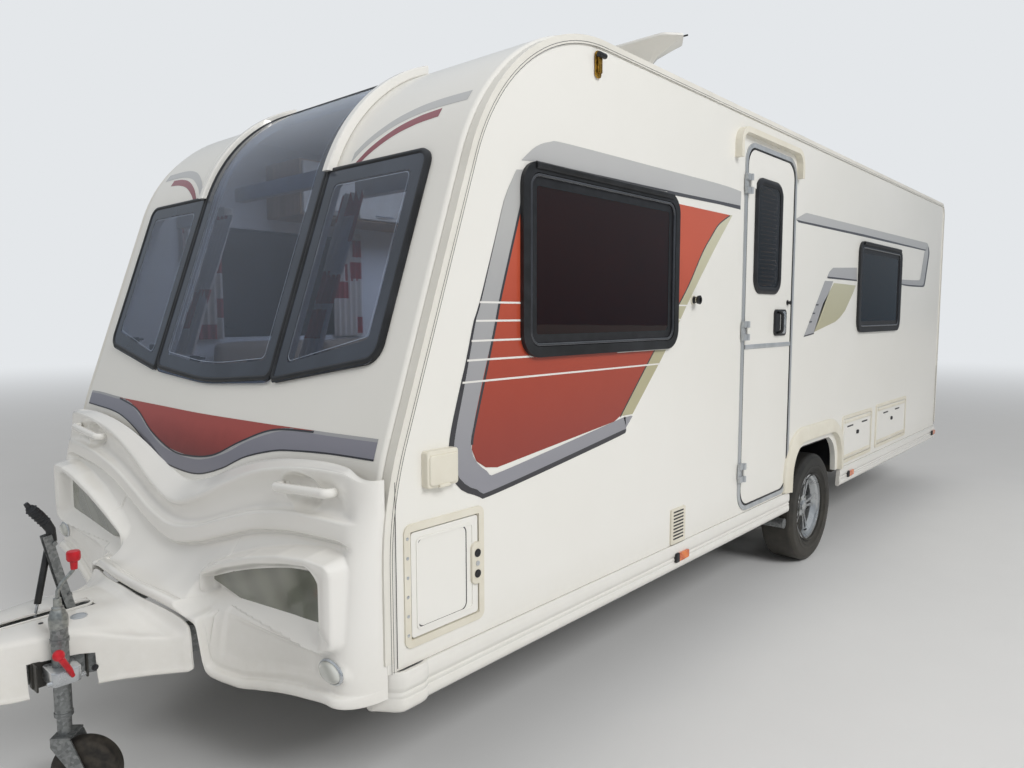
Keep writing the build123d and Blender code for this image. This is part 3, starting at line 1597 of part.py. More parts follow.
save(soft_furnishings, "soft_furnishings")
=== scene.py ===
# %% [markdown]
# # A touring caravan, dressed for the studio
# The solids of this caravan come ready made and to scale: walls, windows, mouldings, chassis and
# wheels. This lesson gives them the finishes of the real thing, and adds what is too thin or too
# fine for solids: vinyl stripes, rubber edges, tyre tread, lamp optics, latches, cloth and screws.
#
# We start by loading the solids as a fixed frame. Everything is in metres, +X is the door side,
# -Y points to the coupling and the ground is Z = 0.

# %% Load the frame
import bisect
import math
import random

import bmesh
import bpy
from mathutils import Matrix, Vector


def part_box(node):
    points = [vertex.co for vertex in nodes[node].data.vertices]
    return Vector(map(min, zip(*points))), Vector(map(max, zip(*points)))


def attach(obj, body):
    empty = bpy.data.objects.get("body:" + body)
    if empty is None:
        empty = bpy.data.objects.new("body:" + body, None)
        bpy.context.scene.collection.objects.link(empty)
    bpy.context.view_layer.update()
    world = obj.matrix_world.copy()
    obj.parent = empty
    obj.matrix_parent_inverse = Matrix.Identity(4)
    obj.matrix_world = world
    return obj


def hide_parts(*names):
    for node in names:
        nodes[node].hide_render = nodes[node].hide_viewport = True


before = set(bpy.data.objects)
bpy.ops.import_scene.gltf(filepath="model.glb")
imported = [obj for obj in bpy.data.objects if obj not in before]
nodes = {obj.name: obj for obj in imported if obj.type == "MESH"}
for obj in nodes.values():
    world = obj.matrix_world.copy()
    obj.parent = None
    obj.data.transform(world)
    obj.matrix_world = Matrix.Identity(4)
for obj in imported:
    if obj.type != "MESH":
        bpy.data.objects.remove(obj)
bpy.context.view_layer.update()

# %% [markdown]
# ## Where things are
# The body's main planes are read from the solids, so nothing has to be measured twice. The front
# seam is where the side walls begin, and we count backwards from it, as a body builder would.

# %% Body planes
wall_low, wall_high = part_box("nearside_wall")
front_y = wall_low.y
rear_y = wall_high.y
side_x = wall_high.x
wall_bottom = wall_low.z
roof_z = wall_high.z
ACROSS, ALONG, UP = (1, 0, 0), (0, 1, 0), (0, 0, 1)
PANEL_CROWN = 0.020  # front, roof and rear panels stand this far outside the wall's edge


def aft(distance):
    """Y of a point this far behind the front seam."""
    return front_y + distance


print("front seam", round(front_y, 4), "rear", round(rear_y, 4), "side", round(side_x, 4))

# %% [markdown]
# ## Camera
# The photograph was taken with a wide phone lens by someone standing off the front corner. We put
# the camera at that spot: its place, heading and tilt were solved from the caravan's own edges.

# %% Camera
CAMERA_PLACE = Vector((2.656, -3.7735, 1.465))
CAMERA_HEADING = math.radians(41.58)
CAMERA_TILT = math.radians(-5.26)
CAMERA_ROLL = math.radians(-0.13)
CAMERA_LENS_MM = 26.11

camera_data = bpy.data.cameras.new("camera")
camera_data.lens = CAMERA_LENS_MM
camera_data.sensor_width = 36
camera = bpy.data.objects.new("camera", camera_data)
bpy.context.scene.collection.objects.link(camera)
camera.matrix_world = (
    Matrix.Translation(CAMERA_PLACE) @ Matrix.Rotation(CAMERA_HEADING, 4, "Z")
    @ Matrix.Rotation(math.pi / 2 + CAMERA_TILT, 4, "X") @ Matrix.Rotation(CAMERA_ROLL, 4, "Z")
)
bpy.context.scene.camera = camera
bpy.context.scene.view_settings.view_transform = "Standard"
print("camera at", tuple(CAMERA_PLACE), "lens", CAMERA_LENS_MM, "mm")

# %% [markdown]
# ## Colours and nodes
# Colours are written as sRGB hex values, as a paint chart gives them. Cycles works in linear
# light, so one function turns them. A second one adds a shader node with its settings and links,
# and four short ones mix, combine, paint and emboss with it, which keeps every material below
# readable as a list of what feeds what.

# %% Colour and node helpers
def colour(hex_value, alpha=1.0):
    """Linear RGBA of an sRGB hex colour such as '#E8E4D8'."""
    parts = [int(hex_value[i : i + 2], 16) / 255 for i in (1, 3, 5)]
    linear = [c / 12.92 if c <= 0.04045 else ((c + 0.055) / 1.055) ** 2.4 for c in parts]
    return (*linear, alpha)


def add(tree, kind, settings=None, **links):
    """Add a node. Settings set its properties or input sockets; links name what feeds a socket."""
    node = tree.nodes.new(kind)
    for name, value in (settings or {}).items():
        if isinstance(name, str) and hasattr(node, name):
            setattr(node, name, value)
    for name, value in (settings or {}).items():
        if isinstance(name, int) or not hasattr(node, name):
            node.inputs[name].default_value = value
    for name, source in links.items():
        numbered = name[0] == "_" and name[1:].isdigit()
        socket = node.inputs[int(name[1:]) if numbered else name.replace("_", " ")]
        tree.links.new(source, socket)
    return node


def new_material(name, **shader):
    """A material with a Principled shader; returns it, its node tree and the shader node."""
    material = bpy.data.materials.new(name)
    material.use_nodes = True
    tree = material.node_tree
    principled = tree.nodes["Principled BSDF"]
    for socket, value in shader.items():
        principled.inputs[socket.replace("_", " ")].default_value = value
    return material, tree, principled


def mix(tree, low, high, factor):
    """The colour between two, by a factor. Each is a hex value or a node's output."""
    node = add(tree, "ShaderNodeMix", {"data_type": "RGBA"}, Factor=factor)
    for number, tone in ((6, low), (7, high)):
        if isinstance(tone, str):
            node.inputs[number].default_value = colour(tone)
        else:
            tree.links.new(tone, node.inputs[number])
    return node.outputs[2]


def combined(tree, operation, first, second):
    """The output of a sum on two outputs."""
    return add(tree, "ShaderNodeMath", {"operation": operation}, _0=first, _1=second).outputs[0]


def paint(tree, shader, source, socket="Base Color"):
    """Feeds a node's output to a socket of the shader."""
    tree.links.new(source, shader.inputs[socket])


def emboss(tree, shader, height, distance):
    """Lets a node's output raise the surface by up to a distance, in metres."""
    bump = add(tree, "ShaderNodeBump", {"Distance": distance}, Height=height)
    paint(tree, shader, bump.outputs[0], "Normal")


print("middle grey reads", [round(c, 3) for c in colour("#808080")])

# %% [markdown]
# ## Studio
# The real caravan stood in a yard in broken sun. A part for a library is better seen in soft, even
# light, so we use a large key lamp on the door side, a weaker one in front, and a world that fills
# the shadows. A weak lamp under the roof stands for the daylight that falls into the cabin. Rays
# that reach the world from the camera, from gloss or through glass see a pale backdrop instead, so
# glass and metal have something to show. For gloss it is darker near the horizon, as a yard with
# trees is, or the dark windows would mirror white. Far off, the floor fades into the backdrop.

# %% Studio
BACKDROP = "#E4E7EA"
HORIZON_IN_GLOSS, SKY_IN_GLOSS = "#56636F", "#E4EAF0"
FLOOR_HALF = 90  # metres
FILL_STRENGTH = 0.4
KEY_WATTS = 640
FRONT_WATTS = 105
CABIN_WATTS = 26


def area_light(name, place, target, size, power):
    """A rectangular soft lamp at a place, aimed at a target."""
    lamp = bpy.data.lights.new(name, "AREA")
    lamp.shape = "RECTANGLE"
    lamp.size, lamp.size_y = size
    lamp.energy = power
    light = bpy.data.objects.new(name, lamp)
    bpy.context.scene.collection.objects.link(light)
    light.location = place
    light.rotation_euler = (Vector(target) - Vector(place)).to_track_quat("-Z", "Y").to_euler()
    light.visible_glossy = False
    light.visible_transmission = False
    return light


world = bpy.data.worlds.new("studio")
bpy.context.scene.world = world
world.use_nodes = True
tree = world.node_tree
tree.nodes.clear()
paths = add(tree, "ShaderNodeLightPath")
seen = combined(
    tree, "MAXIMUM", paths.outputs["Is Camera Ray"], paths.outputs["Is Transmission Ray"]
)
seen = combined(tree, "MAXIMUM", seen, paths.outputs["Is Glossy Ray"])
fill = add(tree, "ShaderNodeBackground", {"Color": (1, 1, 1, 1), "Strength": FILL_STRENGTH})
aim = add(tree, "ShaderNodeTexCoord")
aim = add(tree, "ShaderNodeSeparateXYZ", {}, Vector=aim.outputs["Generated"])
rise = add(
    tree, "ShaderNodeMapRange", {"From Min": -0.05, "From Max": 0.75}, Value=aim.outputs["Z"]
)
mirrored = mix(tree, HORIZON_IN_GLOSS, SKY_IN_GLOSS, rise.outputs[0])
shown = mix(tree, BACKDROP, mirrored, paths.outputs["Is Glossy Ray"])
backdrop = add(tree, "ShaderNodeBackground", {"Strength": 1.0}, Color=shown)
mixed = add(tree, "ShaderNodeMixShader", {}, Fac=seen, _1=fill.outputs[0], _2=backdrop.outputs[0])
add(tree, "ShaderNodeOutputWorld", {}, Surface=mixed.outputs[0])

area_light("key", (9.5, -2.6, 7.6), (0, -0.5, 1.0), (5, 4), KEY_WATTS)
area_light("front_fill", (-3.0, -9.0, 6.5), (0, -2.5, 1.0), (3, 3), FRONT_WATTS)
area_light("cabin_daylight", (0, aft(1.9), 2.34), (0, aft(1.9), 0), (0.9, 2.6), CABIN_WATTS)

floor_mesh = bpy.data.meshes.new("floor")
corners = [(a * FLOOR_HALF, b * FLOOR_HALF, 0) for a, b in ((-1, -1), (1, -1), (1, 1), (-1, 1))]
floor_mesh.from_pydata(corners, [], [(0, 1, 2, 3)])
floor = bpy.data.objects.new("floor", floor_mesh)
bpy.context.scene.collection.objects.link(floor)
floor_material, tree, shader = new_material("studio_floor_paint", Roughness=0.85)
place = add(tree, "ShaderNodeTexCoord")
mottle = add(
    tree, "ShaderNodeTexNoise", {"Scale": 3.0, "Detail": 6.0}, Vector=place.outputs["Object"]
)
paint(tree, shader, mix(tree, "#E9E9E8", "#E5E5E4", mottle.outputs["Fac"]))
far = add(tree, "ShaderNodeVectorMath", {"operation": "LENGTH"}, _0=place.outputs["Object"])
fading = add(
    tree, "ShaderNodeMapRange",
    {"interpolation_type": "SMOOTHSTEP", "From Min": 5.0, "From Max": 24.0},
    Value=far.outputs["Value"]
)
haze = add(tree, "ShaderNodeEmission", {"Color": colour(BACKDROP), "Strength": 1.0})
floor_paths = add(tree, "ShaderNodeLightPath")
looked_at = combined(
    tree, "MAXIMUM", floor_paths.outputs["Is Camera Ray"],
    floor_paths.outputs["Is Transmission Ray"]
)
hazy = combined(tree, "MULTIPLY", fading.outputs[0], looked_at)
blended = add(tree, "ShaderNodeMixShader", {}, Fac=hazy, _1=shader.outputs[0], _2=haze.outputs[0])
output = next(node for node in tree.nodes if node.type == "OUTPUT_MATERIAL")
tree.links.new(blended.outputs[0], output.inputs["Surface"])
floor_mesh.materials.append(floor_material)
print("lamps:", KEY_WATTS, FRONT_WATTS, CABIN_WATTS, "W, world fill", FILL_STRENGTH)

# %% [markdown]
# ## Shapes
# Most pieces here are sheets, rods, rings and rails. Each is a pair of lists, points and faces,
# that a few short functions make: a grid of rows, a flat outline given thickness, a profile turned
# about an axis, and a profile drawn along a path. Outlines get their corners rounded first, since
# no moulded or pressed part has a sharp corner.

# %% Outlines
def rounded(corners, radii, closed=True, steps=6):
    """An outline whose corners are turned into arcs; radii is one number or one for each corner."""
    outline = []
    for i, corner in enumerate(corners):
        here = Vector(corner)
        radius = radii[i] if isinstance(radii, (list, tuple)) else radii
        inner = closed or 0 < i < len(corners) - 1
        before = (Vector(corners[i - 1]) - here).normalized()
        after = (Vector(corners[(i + 1) % len(corners)]) - here).normalized()
        half = before.angle(after, math.pi) / 2
        if radius <= 0 or not inner or half > 1.56:
            outline.append(here)
            continue
        centre = here + (before + after).normalized() * (radius / math.sin(half))
        start = here + before * (radius / math.tan(half)) - centre
        end = here + after * (radius / math.tan(half)) - centre
        turn = math.pi - 2 * half
        for k in range(steps + 1):
            t = k / steps
            arc = start * math.sin((1 - t) * turn) + end * math.sin(t * turn)
            outline.append(centre + arc / math.sin(turn))
    return outline


def rectangle(low_a, high_a, low_b, high_b, radius=0.0, steps=6):
    """A rectangle's outline with rounded corners."""
    corners = [(low_a, low_b), (high_a, low_b), (high_a, high_b), (low_a, high_b)]
    return rounded(corners, radius, steps=steps)


def curve(points, steps=8):
    """A smooth line through the points."""
    line = []
    for i in range(len(points) - 1):
        a, b, c, d = (Vector(points[min(max(i + k, 0), len(points) - 1)]) for k in (-1, 0, 1, 2))
        for k in range(steps):
            t = k / steps
            line.append(
                0.5 * (
                    2 * b + (c - a) * t + (2 * a - 5 * b + 4 * c - d) * t**2
                    + (3 * b - a - 3 * c + d) * t**3
                )
            )
    return line + [Vector(points[-1])]


def shifted(line, distance, closed=False):
    """A flat line moved sideways by a distance, to the left of its direction."""
    moved = []
    for i, here in enumerate(line):
        before = line[i - 1] if closed or i else here
        after = line[(i + 1) % len(line)] if closed or i < len(line) - 1 else here
        along = (Vector(after) - Vector(before)).normalized()
        moved.append(Vector(here) + Vector((-along.y, along.x)) * distance)
    return moved


# %% Faces from outlines
def merge(*shapes):
    """Several shapes as one."""
    points, faces = [], []
    for new_points, new_faces in shapes:
        start = len(points)
        points += new_points
        faces += [tuple(i + start for i in face) for face in new_faces]
    return points, faces


def grid(rows, closed=False, looped=False, capped=False):
    """Quads between rows of points. closed joins a row's ends, looped the last row to the first."""
    width = len(rows[0])
    points = [Vector(p) for row in rows for p in row]
    faces = []
    for r in range(len(rows) if looped else len(rows) - 1):
        a, b = r * width, (r + 1) % len(rows) * width
        for c in range(width if closed else width - 1):
            d = (c + 1) % width
            faces.append((a + c, a + d, b + d, b + c))
    if capped:
        faces += [tuple(range(width)), tuple(range(len(points) - width, len(points)))]
    return points, faces


def prism(outline, low, high, place):
    """A flat outline given thickness from low to high; place turns (a, b, height) into a point."""
    return grid(
        [[place(a, b, h) for a, b in outline] for h in (low, high)], closed=True, capped=True
    )


def cushioned(outline, low, high, edge, place):
    """A prism whose outer face is rounded off over its edge."""
    rows = [[place(a, b, low) for a, b in outline]]
    for angle in (0, 22, 45, 67, 90):
        inset = edge * (1 - math.cos(math.radians(angle)))
        height = high - edge * (1 - math.sin(math.radians(angle)))
        rows.append([place(a, b, height) for a, b in shifted(outline, inset, closed=True)])
    return grid(rows, closed=True, capped=True)


def turned(profile, centre, axis, steps=32, closed=False):
    """A profile of (along, radius) turned about an axis through a centre."""
    axis = Vector(axis).normalized()
    first = axis.orthogonal().normalized()
    second = axis.cross(first)
    rows = []
    for k in range(steps):
        angle = 2 * math.pi * k / steps
        out = first * math.cos(angle) + second * math.sin(angle)
        rows.append([Vector(centre) + axis * along + out * radius for along, radius in profile])
    return grid(rows, closed=closed, looped=True)


def rod(path, radius, sides=12):
    """A round bar along a path of points; radius is one number or one for each point."""
    path = [Vector(p) for p in path]
    rows = []
    side = None
    for i, here in enumerate(path):
        along = (path[min(i + 1, len(path) - 1)] - path[max(i - 1, 0)]).normalized()
        side = along.orthogonal().normalized() if side is None else (
            side - along * side.dot(along)
        ).normalized()
        other = along.cross(side)
        size = radius[i] if isinstance(radius, (list, tuple)) else radius
        rows.append([
            here + (side * math.cos(a) + other * math.sin(a)) * size
            for a in (2 * math.pi * k / sides for k in range(sides))
        ])
    return grid(rows, closed=True, capped=True)


def rail(path, profile, place, closed=True):
    """A closed profile of (sideways, height) drawn along a flat path."""
    lines = [shifted(path, sideways, closed) for sideways, height in profile]
    heights = [height for sideways, height in profile]
    rows = [[place(*line[i], h) for line, h in zip(lines, heights)] for i in range(len(path))]
    return grid(rows, closed=True, looped=closed, capped=not closed)


def doubled(shape, flip=(-1, 1, 1)):
    """A shape and its mirror image."""
    points, faces = shape
    other = [Vector((p[0] * flip[0], p[1] * flip[1], p[2] * flip[2])) for p in points]
    return merge(shape, (other, [tuple(reversed(face)) for face in faces]))


def side_place(side=1):
    """Places a side view's (y, z) and a height above the wall on the wall of that side."""
    return lambda y, z, out: Vector((side * (side_x + out), y, z))


door_side = side_place()


# %% From shapes to pieces
def finished(obj):
    """Turns the object's modifiers into plain mesh."""
    bpy.context.view_layer.update()
    evaluated = obj.evaluated_get(bpy.context.evaluated_depsgraph_get())
    mesh = bpy.data.meshes.new_from_object(evaluated)
    obj.modifiers.clear()
    obj.data = mesh
    return obj


def smooth(mesh, sharp_degrees):
    """Shades a mesh smooth, with hard edges where faces meet at more than an angle."""
    work = bmesh.new()
    work.from_mesh(mesh)
    bmesh.ops.recalc_face_normals(work, faces=work.faces)
    limit = math.radians(sharp_degrees)
    for face in work.faces:
        face.smooth = True
    for edge in work.edges:
        edge.smooth = edge.calc_face_angle(0.0) < limit
    work.to_mesh(mesh)
    work.free()


def loose(name, shape, material=None):
    """An object that isn't a piece yet."""
    mesh = bpy.data.meshes.new(name)
    mesh.from_pydata([tuple(p) for p in shape[0]], [], shape[1])
    if material:
        mesh.materials.append(material)
    obj = bpy.data.objects.new(name, mesh)
    bpy.context.scene.collection.objects.link(obj)
    return obj


def piece(name, shape, material, body="caravan", replaces=(), sharp=38, bevel=0.0):
    """A piece of the caravan: it rides on a body, and may stand for solids."""
    obj = loose(name, shape, material)
    smooth(obj.data, sharp)
    if bevel:
        soft = obj.modifiers.new("soft_edges", "BEVEL")
        soft.width = bevel
        soft.segments = 2
        soft.limit_method = "ANGLE"
        finished(obj)
        smooth(obj.data, sharp)
    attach(obj, body)
    if replaces:
        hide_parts(*replaces)
    return obj


print("shape helpers ready")

# %% [markdown]
# ## The body's outline
# Front, roof and rear panels follow one side outline: an upright foot, a long bend, a leaning nose,
# the bend into the roof and a tight rear corner. Stripes, glass edges and rails all lie on it, so
# we rebuild it as a line and read places off it by distance along the line or by height.

# %% Side outline
NOSE_RUN = (roof_z - 0.958) * math.tan(math.radians(19.2))
outline_line = rounded(
    [
        (front_y, wall_bottom), (front_y, 0.958), (front_y + NOSE_RUN, roof_z), (rear_y, roof_z),
        (rear_y, wall_bottom)
    ], [0, 1.05, 0.7, 0.09, 0], closed=False, steps=24
)


def outline_path(out, step=0.03):
    """The outline moved outwards, as evenly spaced points (y, z)."""
    line = shifted(outline_line, out)
    path = [line[0]]
    for start, end in zip(line, line[1:]):
        parts = max(1, round((end - start).length / step))
        path += [start.lerp(end, k / parts) for k in range(1, parts + 1)]
    return path


def measured(path):
    """Distance along a path at each of its points."""
    total = [0.0]
    for start, end in zip(path, path[1:]):
        total.append(total[-1] + (end - start).length)
    return total


body_path = outline_path(0.0, 0.01)
body_distance = measured(body_path)


def between(values, value):
    """Where a value falls in a rising list: the index below it and the share of the way on."""
    index = min(max(bisect.bisect_right(values, value) - 1, 0), len(values) - 2)
    return index, (value - values[index]) / (values[index + 1] - values[index])


def along_body(distance, out):
    """Point (y, z) on the outline at a distance from its foot, moved outwards."""
    i, share = between(body_distance, min(max(distance, 0.0), body_distance[-1]))
    along = (body_path[min(i + 2, len(body_path) - 1)] - body_path[max(i - 1, 0)]).normalized()
    return body_path[i].lerp(body_path[i + 1], share) + Vector((-along.y, along.x)) * out


nose_heights = [point.y for point in body_path if point.x < aft(1.0)]


def foot_distance(height):
    """Distance along the outline at which the nose reaches a height."""
    i, share = between(nose_heights, height)
    return body_distance[i] + (body_distance[i + 1] - body_distance[i]) * share


def nose_place(x, distance, out):
    """Places across and along the nose and roof, moved outwards from the seam line."""
    y, z = along_body(distance, out)
    return Vector((x, y, z))


def nose_height_place(x, z, out):
    """Places a front view's (x, z) on the nose."""
    return nose_place(x, foot_distance(z), out)


print("outline from foot to tail:", round(body_distance[-1], 3), "m")

# %% [markdown]
# ## Finishes
# Nearly everything outside is a plastic, a rubber or a coated metal, and each differs in how even
# its colour is, how fine its grain is and how it gathers dirt. One function builds such a finish
# from two close colours, a patch size, a grain size and depth, and a band of road dirt near the
# ground. All sizes are millimetres on the real thing; grain too fine for the picture is drawn
# coarser.

# %% A finish from its real sizes
def finish(
    name, tones, patch_mm, grain_mm, depth_mm, roughness, spread=0.04, soil=None, soil_top=0.75,
    stretch=(1, 1, 1), **shader
):
    """A surface of two tones in patches, a fine grain, uneven gloss, and dirt below soil_top."""
    material, tree, principled = new_material(name, **shader)
    place = add(tree, "ShaderNodeTexCoord")
    drawn = add(tree, "ShaderNodeMapping", {"Scale": stretch}, Vector=place.outputs["Object"])
    patches = add(
        tree, "ShaderNodeTexNoise", {"Scale": 1000 / patch_mm, "Detail": 3.0, "Roughness": 0.5},
        Vector=drawn.outputs[0]
    )
    spots = add(
        tree, "ShaderNodeMapRange", {"From Min": 0.35, "From Max": 0.65},
        Value=patches.outputs["Fac"]
    )
    surface = mix(tree, *tones, spots.outputs[0])
    if soil:
        height = add(tree, "ShaderNodeSeparateXYZ", {}, Vector=place.outputs["Object"])
        fade = add(
            tree, "ShaderNodeMapRange", {"From Min": soil_top, "From Max": 0.2, "To Max": 0.75},
            Value=height.outputs["Z"]
        )
        specks = add(
            tree, "ShaderNodeTexNoise", {"Scale": 22.0, "Detail": 8.0, "Roughness": 0.7},
            Vector=drawn.outputs[0]
        )
        dirt = combined(tree, "MULTIPLY", fade.outputs[0], specks.outputs["Fac"])
        surface = mix(tree, surface, soil, dirt)
    paint(tree, principled, surface)
    gloss = add(
        tree, "ShaderNodeMapRange", {"To Min": roughness - spread, "To Max": roughness + spread},
        Value=patches.outputs["Fac"]
    )
    paint(tree, principled, gloss.outputs[0], "Roughness")
    grain = add(
        tree, "ShaderNodeTexNoise", {"Scale": 1000 / grain_mm, "Detail": 3.0},
        Vector=drawn.outputs[0]
    )
    emboss(tree, principled, grain.outputs["Fac"], depth_mm / 1000)
    return material


# Coil-coated aluminium sheet on sandwich board: gloss white, faint long waves from the board
coated_sheet = finish(
    "coated_aluminium_sheet", ("#EDEBE4", "#F0EEE8"), 900, 160, 0.25, 0.3, soil="#C9C2B0",
    soil_top=0.62, Coat_Weight=0.3, Coat_Roughness=0.12, IOR=1.5
)
# Thermoformed ABS with an acrylic cap: gloss white, softer waves, dust in the lower part
gloss_abs = finish(
    "gloss_white_abs", ("#ECEAE4", "#EFEDE8"), 700, 120, 0.1, 0.24, spread=0.02, soil="#CFC9BA",
    soil_top=0.62, Coat_Weight=0.35, Coat_Roughness=0.1, IOR=1.53
)
# ABS without the cap, yellowed by the sun: cream, silky, a fine moulded grain
aged_abs = finish(
    "sun_aged_abs", ("#E1DBCA", "#E8E3D4"), 120, 2.5, 0.03, 0.42, soil="#B5AA90", soil_top=0.66,
    IOR=1.53
)
# Extruded aluminium, powder coated cream white
coated_extrusion = finish(
    "powder_coated_extrusion", ("#E3E0D6", "#EAE7DE"), 200, 1.5, 0.03, 0.38, soil="#B9B19E",
    soil_top=0.6, IOR=1.5
)
# Anodised aluminium door edging: grey, brushed along its length
anodised_trim = finish(
    "anodised_aluminium_trim", ("#B2B6B9", "#C4C7CA"), 60, 0.8, 0.02, 0.34, stretch=(1, 1, 0.08),
    Metallic=0.4
)
# Glass-filled polyamide: black, matt, fine grain; also used as painted shade in slots and holes
black_polyamide_and_painted_shade = finish("black_polyamide_and_painted_shade", ("#151517", "#222225"), 40, 1.2, 0.04, 0.45, IOR=1.53)
# EPDM rubber extrusion: black with a dusty bloom
epdm_rubber = finish(
    "epdm_rubber", ("#131314", "#26272A"), 90, 2.0, 0.05, 0.5, spread=0.08, IOR=1.52
)
# Print on the back of the front acrylic: slate, glossy from the pane over it
pane_print = finish("printed_pane_border", ("#3B4049", "#464C57"), 300, 60, 0.02, 0.12, IOR=1.49)
# Cast alloy, silver lacquer: metallic with a fine cast grain
silver_alloy = finish(
    "lacquered_cast_alloy", ("#C3C6C9", "#D3D6D8"), 50, 1.2, 0.03, 0.28, soil="#6E6A62",
    soil_top=0.5, Metallic=0.75, Coat_Weight=0.4
)
# Zinc-plated bolts and pins
zinc_plate = finish("zinc_plated_steel", ("#8C8E8C", "#B1B2AD"), 12, 0.8, 0.03, 0.35, Metallic=0.9)
# Brass, weathered to brown in its hollows
brass = finish("weathered_brass", ("#7A5B22", "#C79A3F"), 10, 1.5, 0.08, 0.35, Metallic=0.9)
# Mild steel in black paint, chipped dull
black_paint = finish(
    "black_painted_steel", ("#1A1B1D", "#2B2B2B"), 35, 2.0, 0.08, 0.42, soil="#57503F",
    soil_top=0.6, IOR=1.5
)
# Red polypropylene grips
red_plastic = finish("red_polypropylene", ("#B0141E", "#D32431"), 30, 1.0, 0.04, 0.38, IOR=1.49)
# Tyre rubber: carbon black, dusty on the sidewall
tyre_rubber = finish(
    "tyre_rubber", ("#1B1B1B", "#2C2B29"), 60, 1.5, 0.1, 0.62, soil="#5B564C", soil_top=0.7,
    IOR=1.52
)
worn_rubber = finish("worn_solid_rubber", ("#24211E", "#3F3A33"), 25, 2.0, 0.2, 0.75, IOR=1.52)
# Underfloor board, coated with bitumen
underfloor_board = finish(
    "bituminised_board", ("#2B2926", "#3A3733"), 80, 3.0, 0.3, 0.8, soil="#6A6252", soil_top=0.6
)
print("finishes so far:", len(bpy.data.materials))

# %% [markdown]
# Hot-dip galvanising freezes in flat zinc crystals, the spangle, each a slightly different grey.
# A cell pattern gives every crystal its own tone and gloss; white rust and road dirt lie over it.

# %% Galvanised steel
SPANGLE_MM = 9
galvanised, tree, shader = new_material("hot_dip_galvanised_steel", Metallic=0.8)
place = add(tree, "ShaderNodeTexCoord")
crystals = add(
    tree, "ShaderNodeTexVoronoi", {"Scale": 1000 / SPANGLE_MM}, Vector=place.outputs["Object"]
)
tones = add(tree, "ShaderNodeSeparateColor", {}, Color=crystals.outputs["Color"])
spangle = mix(tree, "#7B7D7D", "#9C9E9D", tones.outputs[0])
stains = add(
    tree, "ShaderNodeTexNoise", {"Scale": 18.0, "Detail": 8.0, "Roughness": 0.7},
    Vector=place.outputs["Object"]
)
stain_edge = add(
    tree, "ShaderNodeMapRange", {"From Min": 0.52, "From Max": 0.72, "To Max": 0.18},
    Value=stains.outputs["Fac"]
)
paint(tree, shader, mix(tree, spangle, "#57534A", stain_edge.outputs[0]))
dull = add(tree, "ShaderNodeMapRange", {"To Min": 0.38, "To Max": 0.6}, Value=tones.outputs[1])
paint(tree, shader, dull.outputs[0], "Roughness")
emboss(tree, shader, stains.outputs["Fac"], 0.0001)
print("zinc spangle", SPANGLE_MM, "mm")

# %% [markdown]
# The windows are double-walled acrylic, tinted in the sheet: slate blue in front, nearly black at
# the sides. Thin acrylic hardly bends light, so the shader only tints what is behind it and
# mirrors the surroundings. The lamps' covers are clear or dyed polycarbonate over bright bowls.

# %% Acrylic, lenses
def acrylic(name, tint, wave_mm, roughness=0.02, transmission=1.0):
    """Tinted transparent sheet with the faint waves of a blown or cast pane."""
    material, tree, principled = new_material(
        name, Base_Color=colour(tint), Roughness=roughness, IOR=1.49,
        Transmission_Weight=transmission
    )
    place = add(tree, "ShaderNodeTexCoord")
    waves = add(
        tree, "ShaderNodeTexNoise", {"Scale": 1000 / wave_mm, "Detail": 1.0},
        Vector=place.outputs["Object"]
    )
    emboss(tree, principled, waves.outputs["Fac"], 0.0002)
    dusty = add(
        tree, "ShaderNodeHueSaturation", {"Value": 0.92, "Color": colour(tint)},
        Fac=waves.outputs["Fac"]
    )
    paint(tree, principled, dusty.outputs[0])
    return material


slate_acrylic = acrylic("slate_tinted_acrylic", "#8796B6", 400)
dark_acrylic = acrylic("dark_tinted_acrylic", "#525155", 300)
opal_acrylic = acrylic("opal_acrylic", "#DDE1E2", 250, roughness=0.2, transmission=0.2)


def fluted_lens(name, tone, painted_groove_shade, flute_mm, **shader):
    """A moulded lens: a dyed or clear cover with upright flutes that break up the light; its colour
    is painted darker in the flutes' grooves as shade.
    """
    material, tree, principled = new_material(
        name, Roughness=0.12, IOR=1.58, Coat_Weight=0.5, **shader
    )
    place = add(tree, "ShaderNodeTexCoord")
    flutes = add(
        tree, "ShaderNodeTexWave", {"Scale": 1000 / flute_mm / 20, "bands_direction": "DIAGONAL"},
        Vector=place.outputs["Object"]
    )
    # The colour runs from the painted groove shade to the lens's own tone across each flute.
    paint(tree, principled, mix(tree, painted_groove_shade, tone, flutes.outputs["Fac"]))
    emboss(tree, principled, flutes.outputs["Fac"], 0.0004)
    return material


# Each lens's second, darker colour is the painted shade in its flutes' grooves.
smoked_lens = fluted_lens("smoked_polycarbonate_lens", "#73766A", "#63665B", 14)
clear_lens = fluted_lens("clear_polycarbonate_lens", "#D5D6D0", "#B4B5AE", 6)
amber_lens = fluted_lens("amber_polycarbonate_lens", "#E8791E", "#C9560C", 6)
red_lens = fluted_lens("red_polycarbonate_lens", "#C01A16", "#8E0D0D", 6)
print("panes and lenses ready")

# %% [markdown]
# The stripes are cast vinyl film, printed: silver grey, slate grey, an orange red that darkens
# towards its foot, and an olive beige. Film is 0.1 mm thick; we lift each layer a little more so
# that layers don't fight, and print the darkening by height.

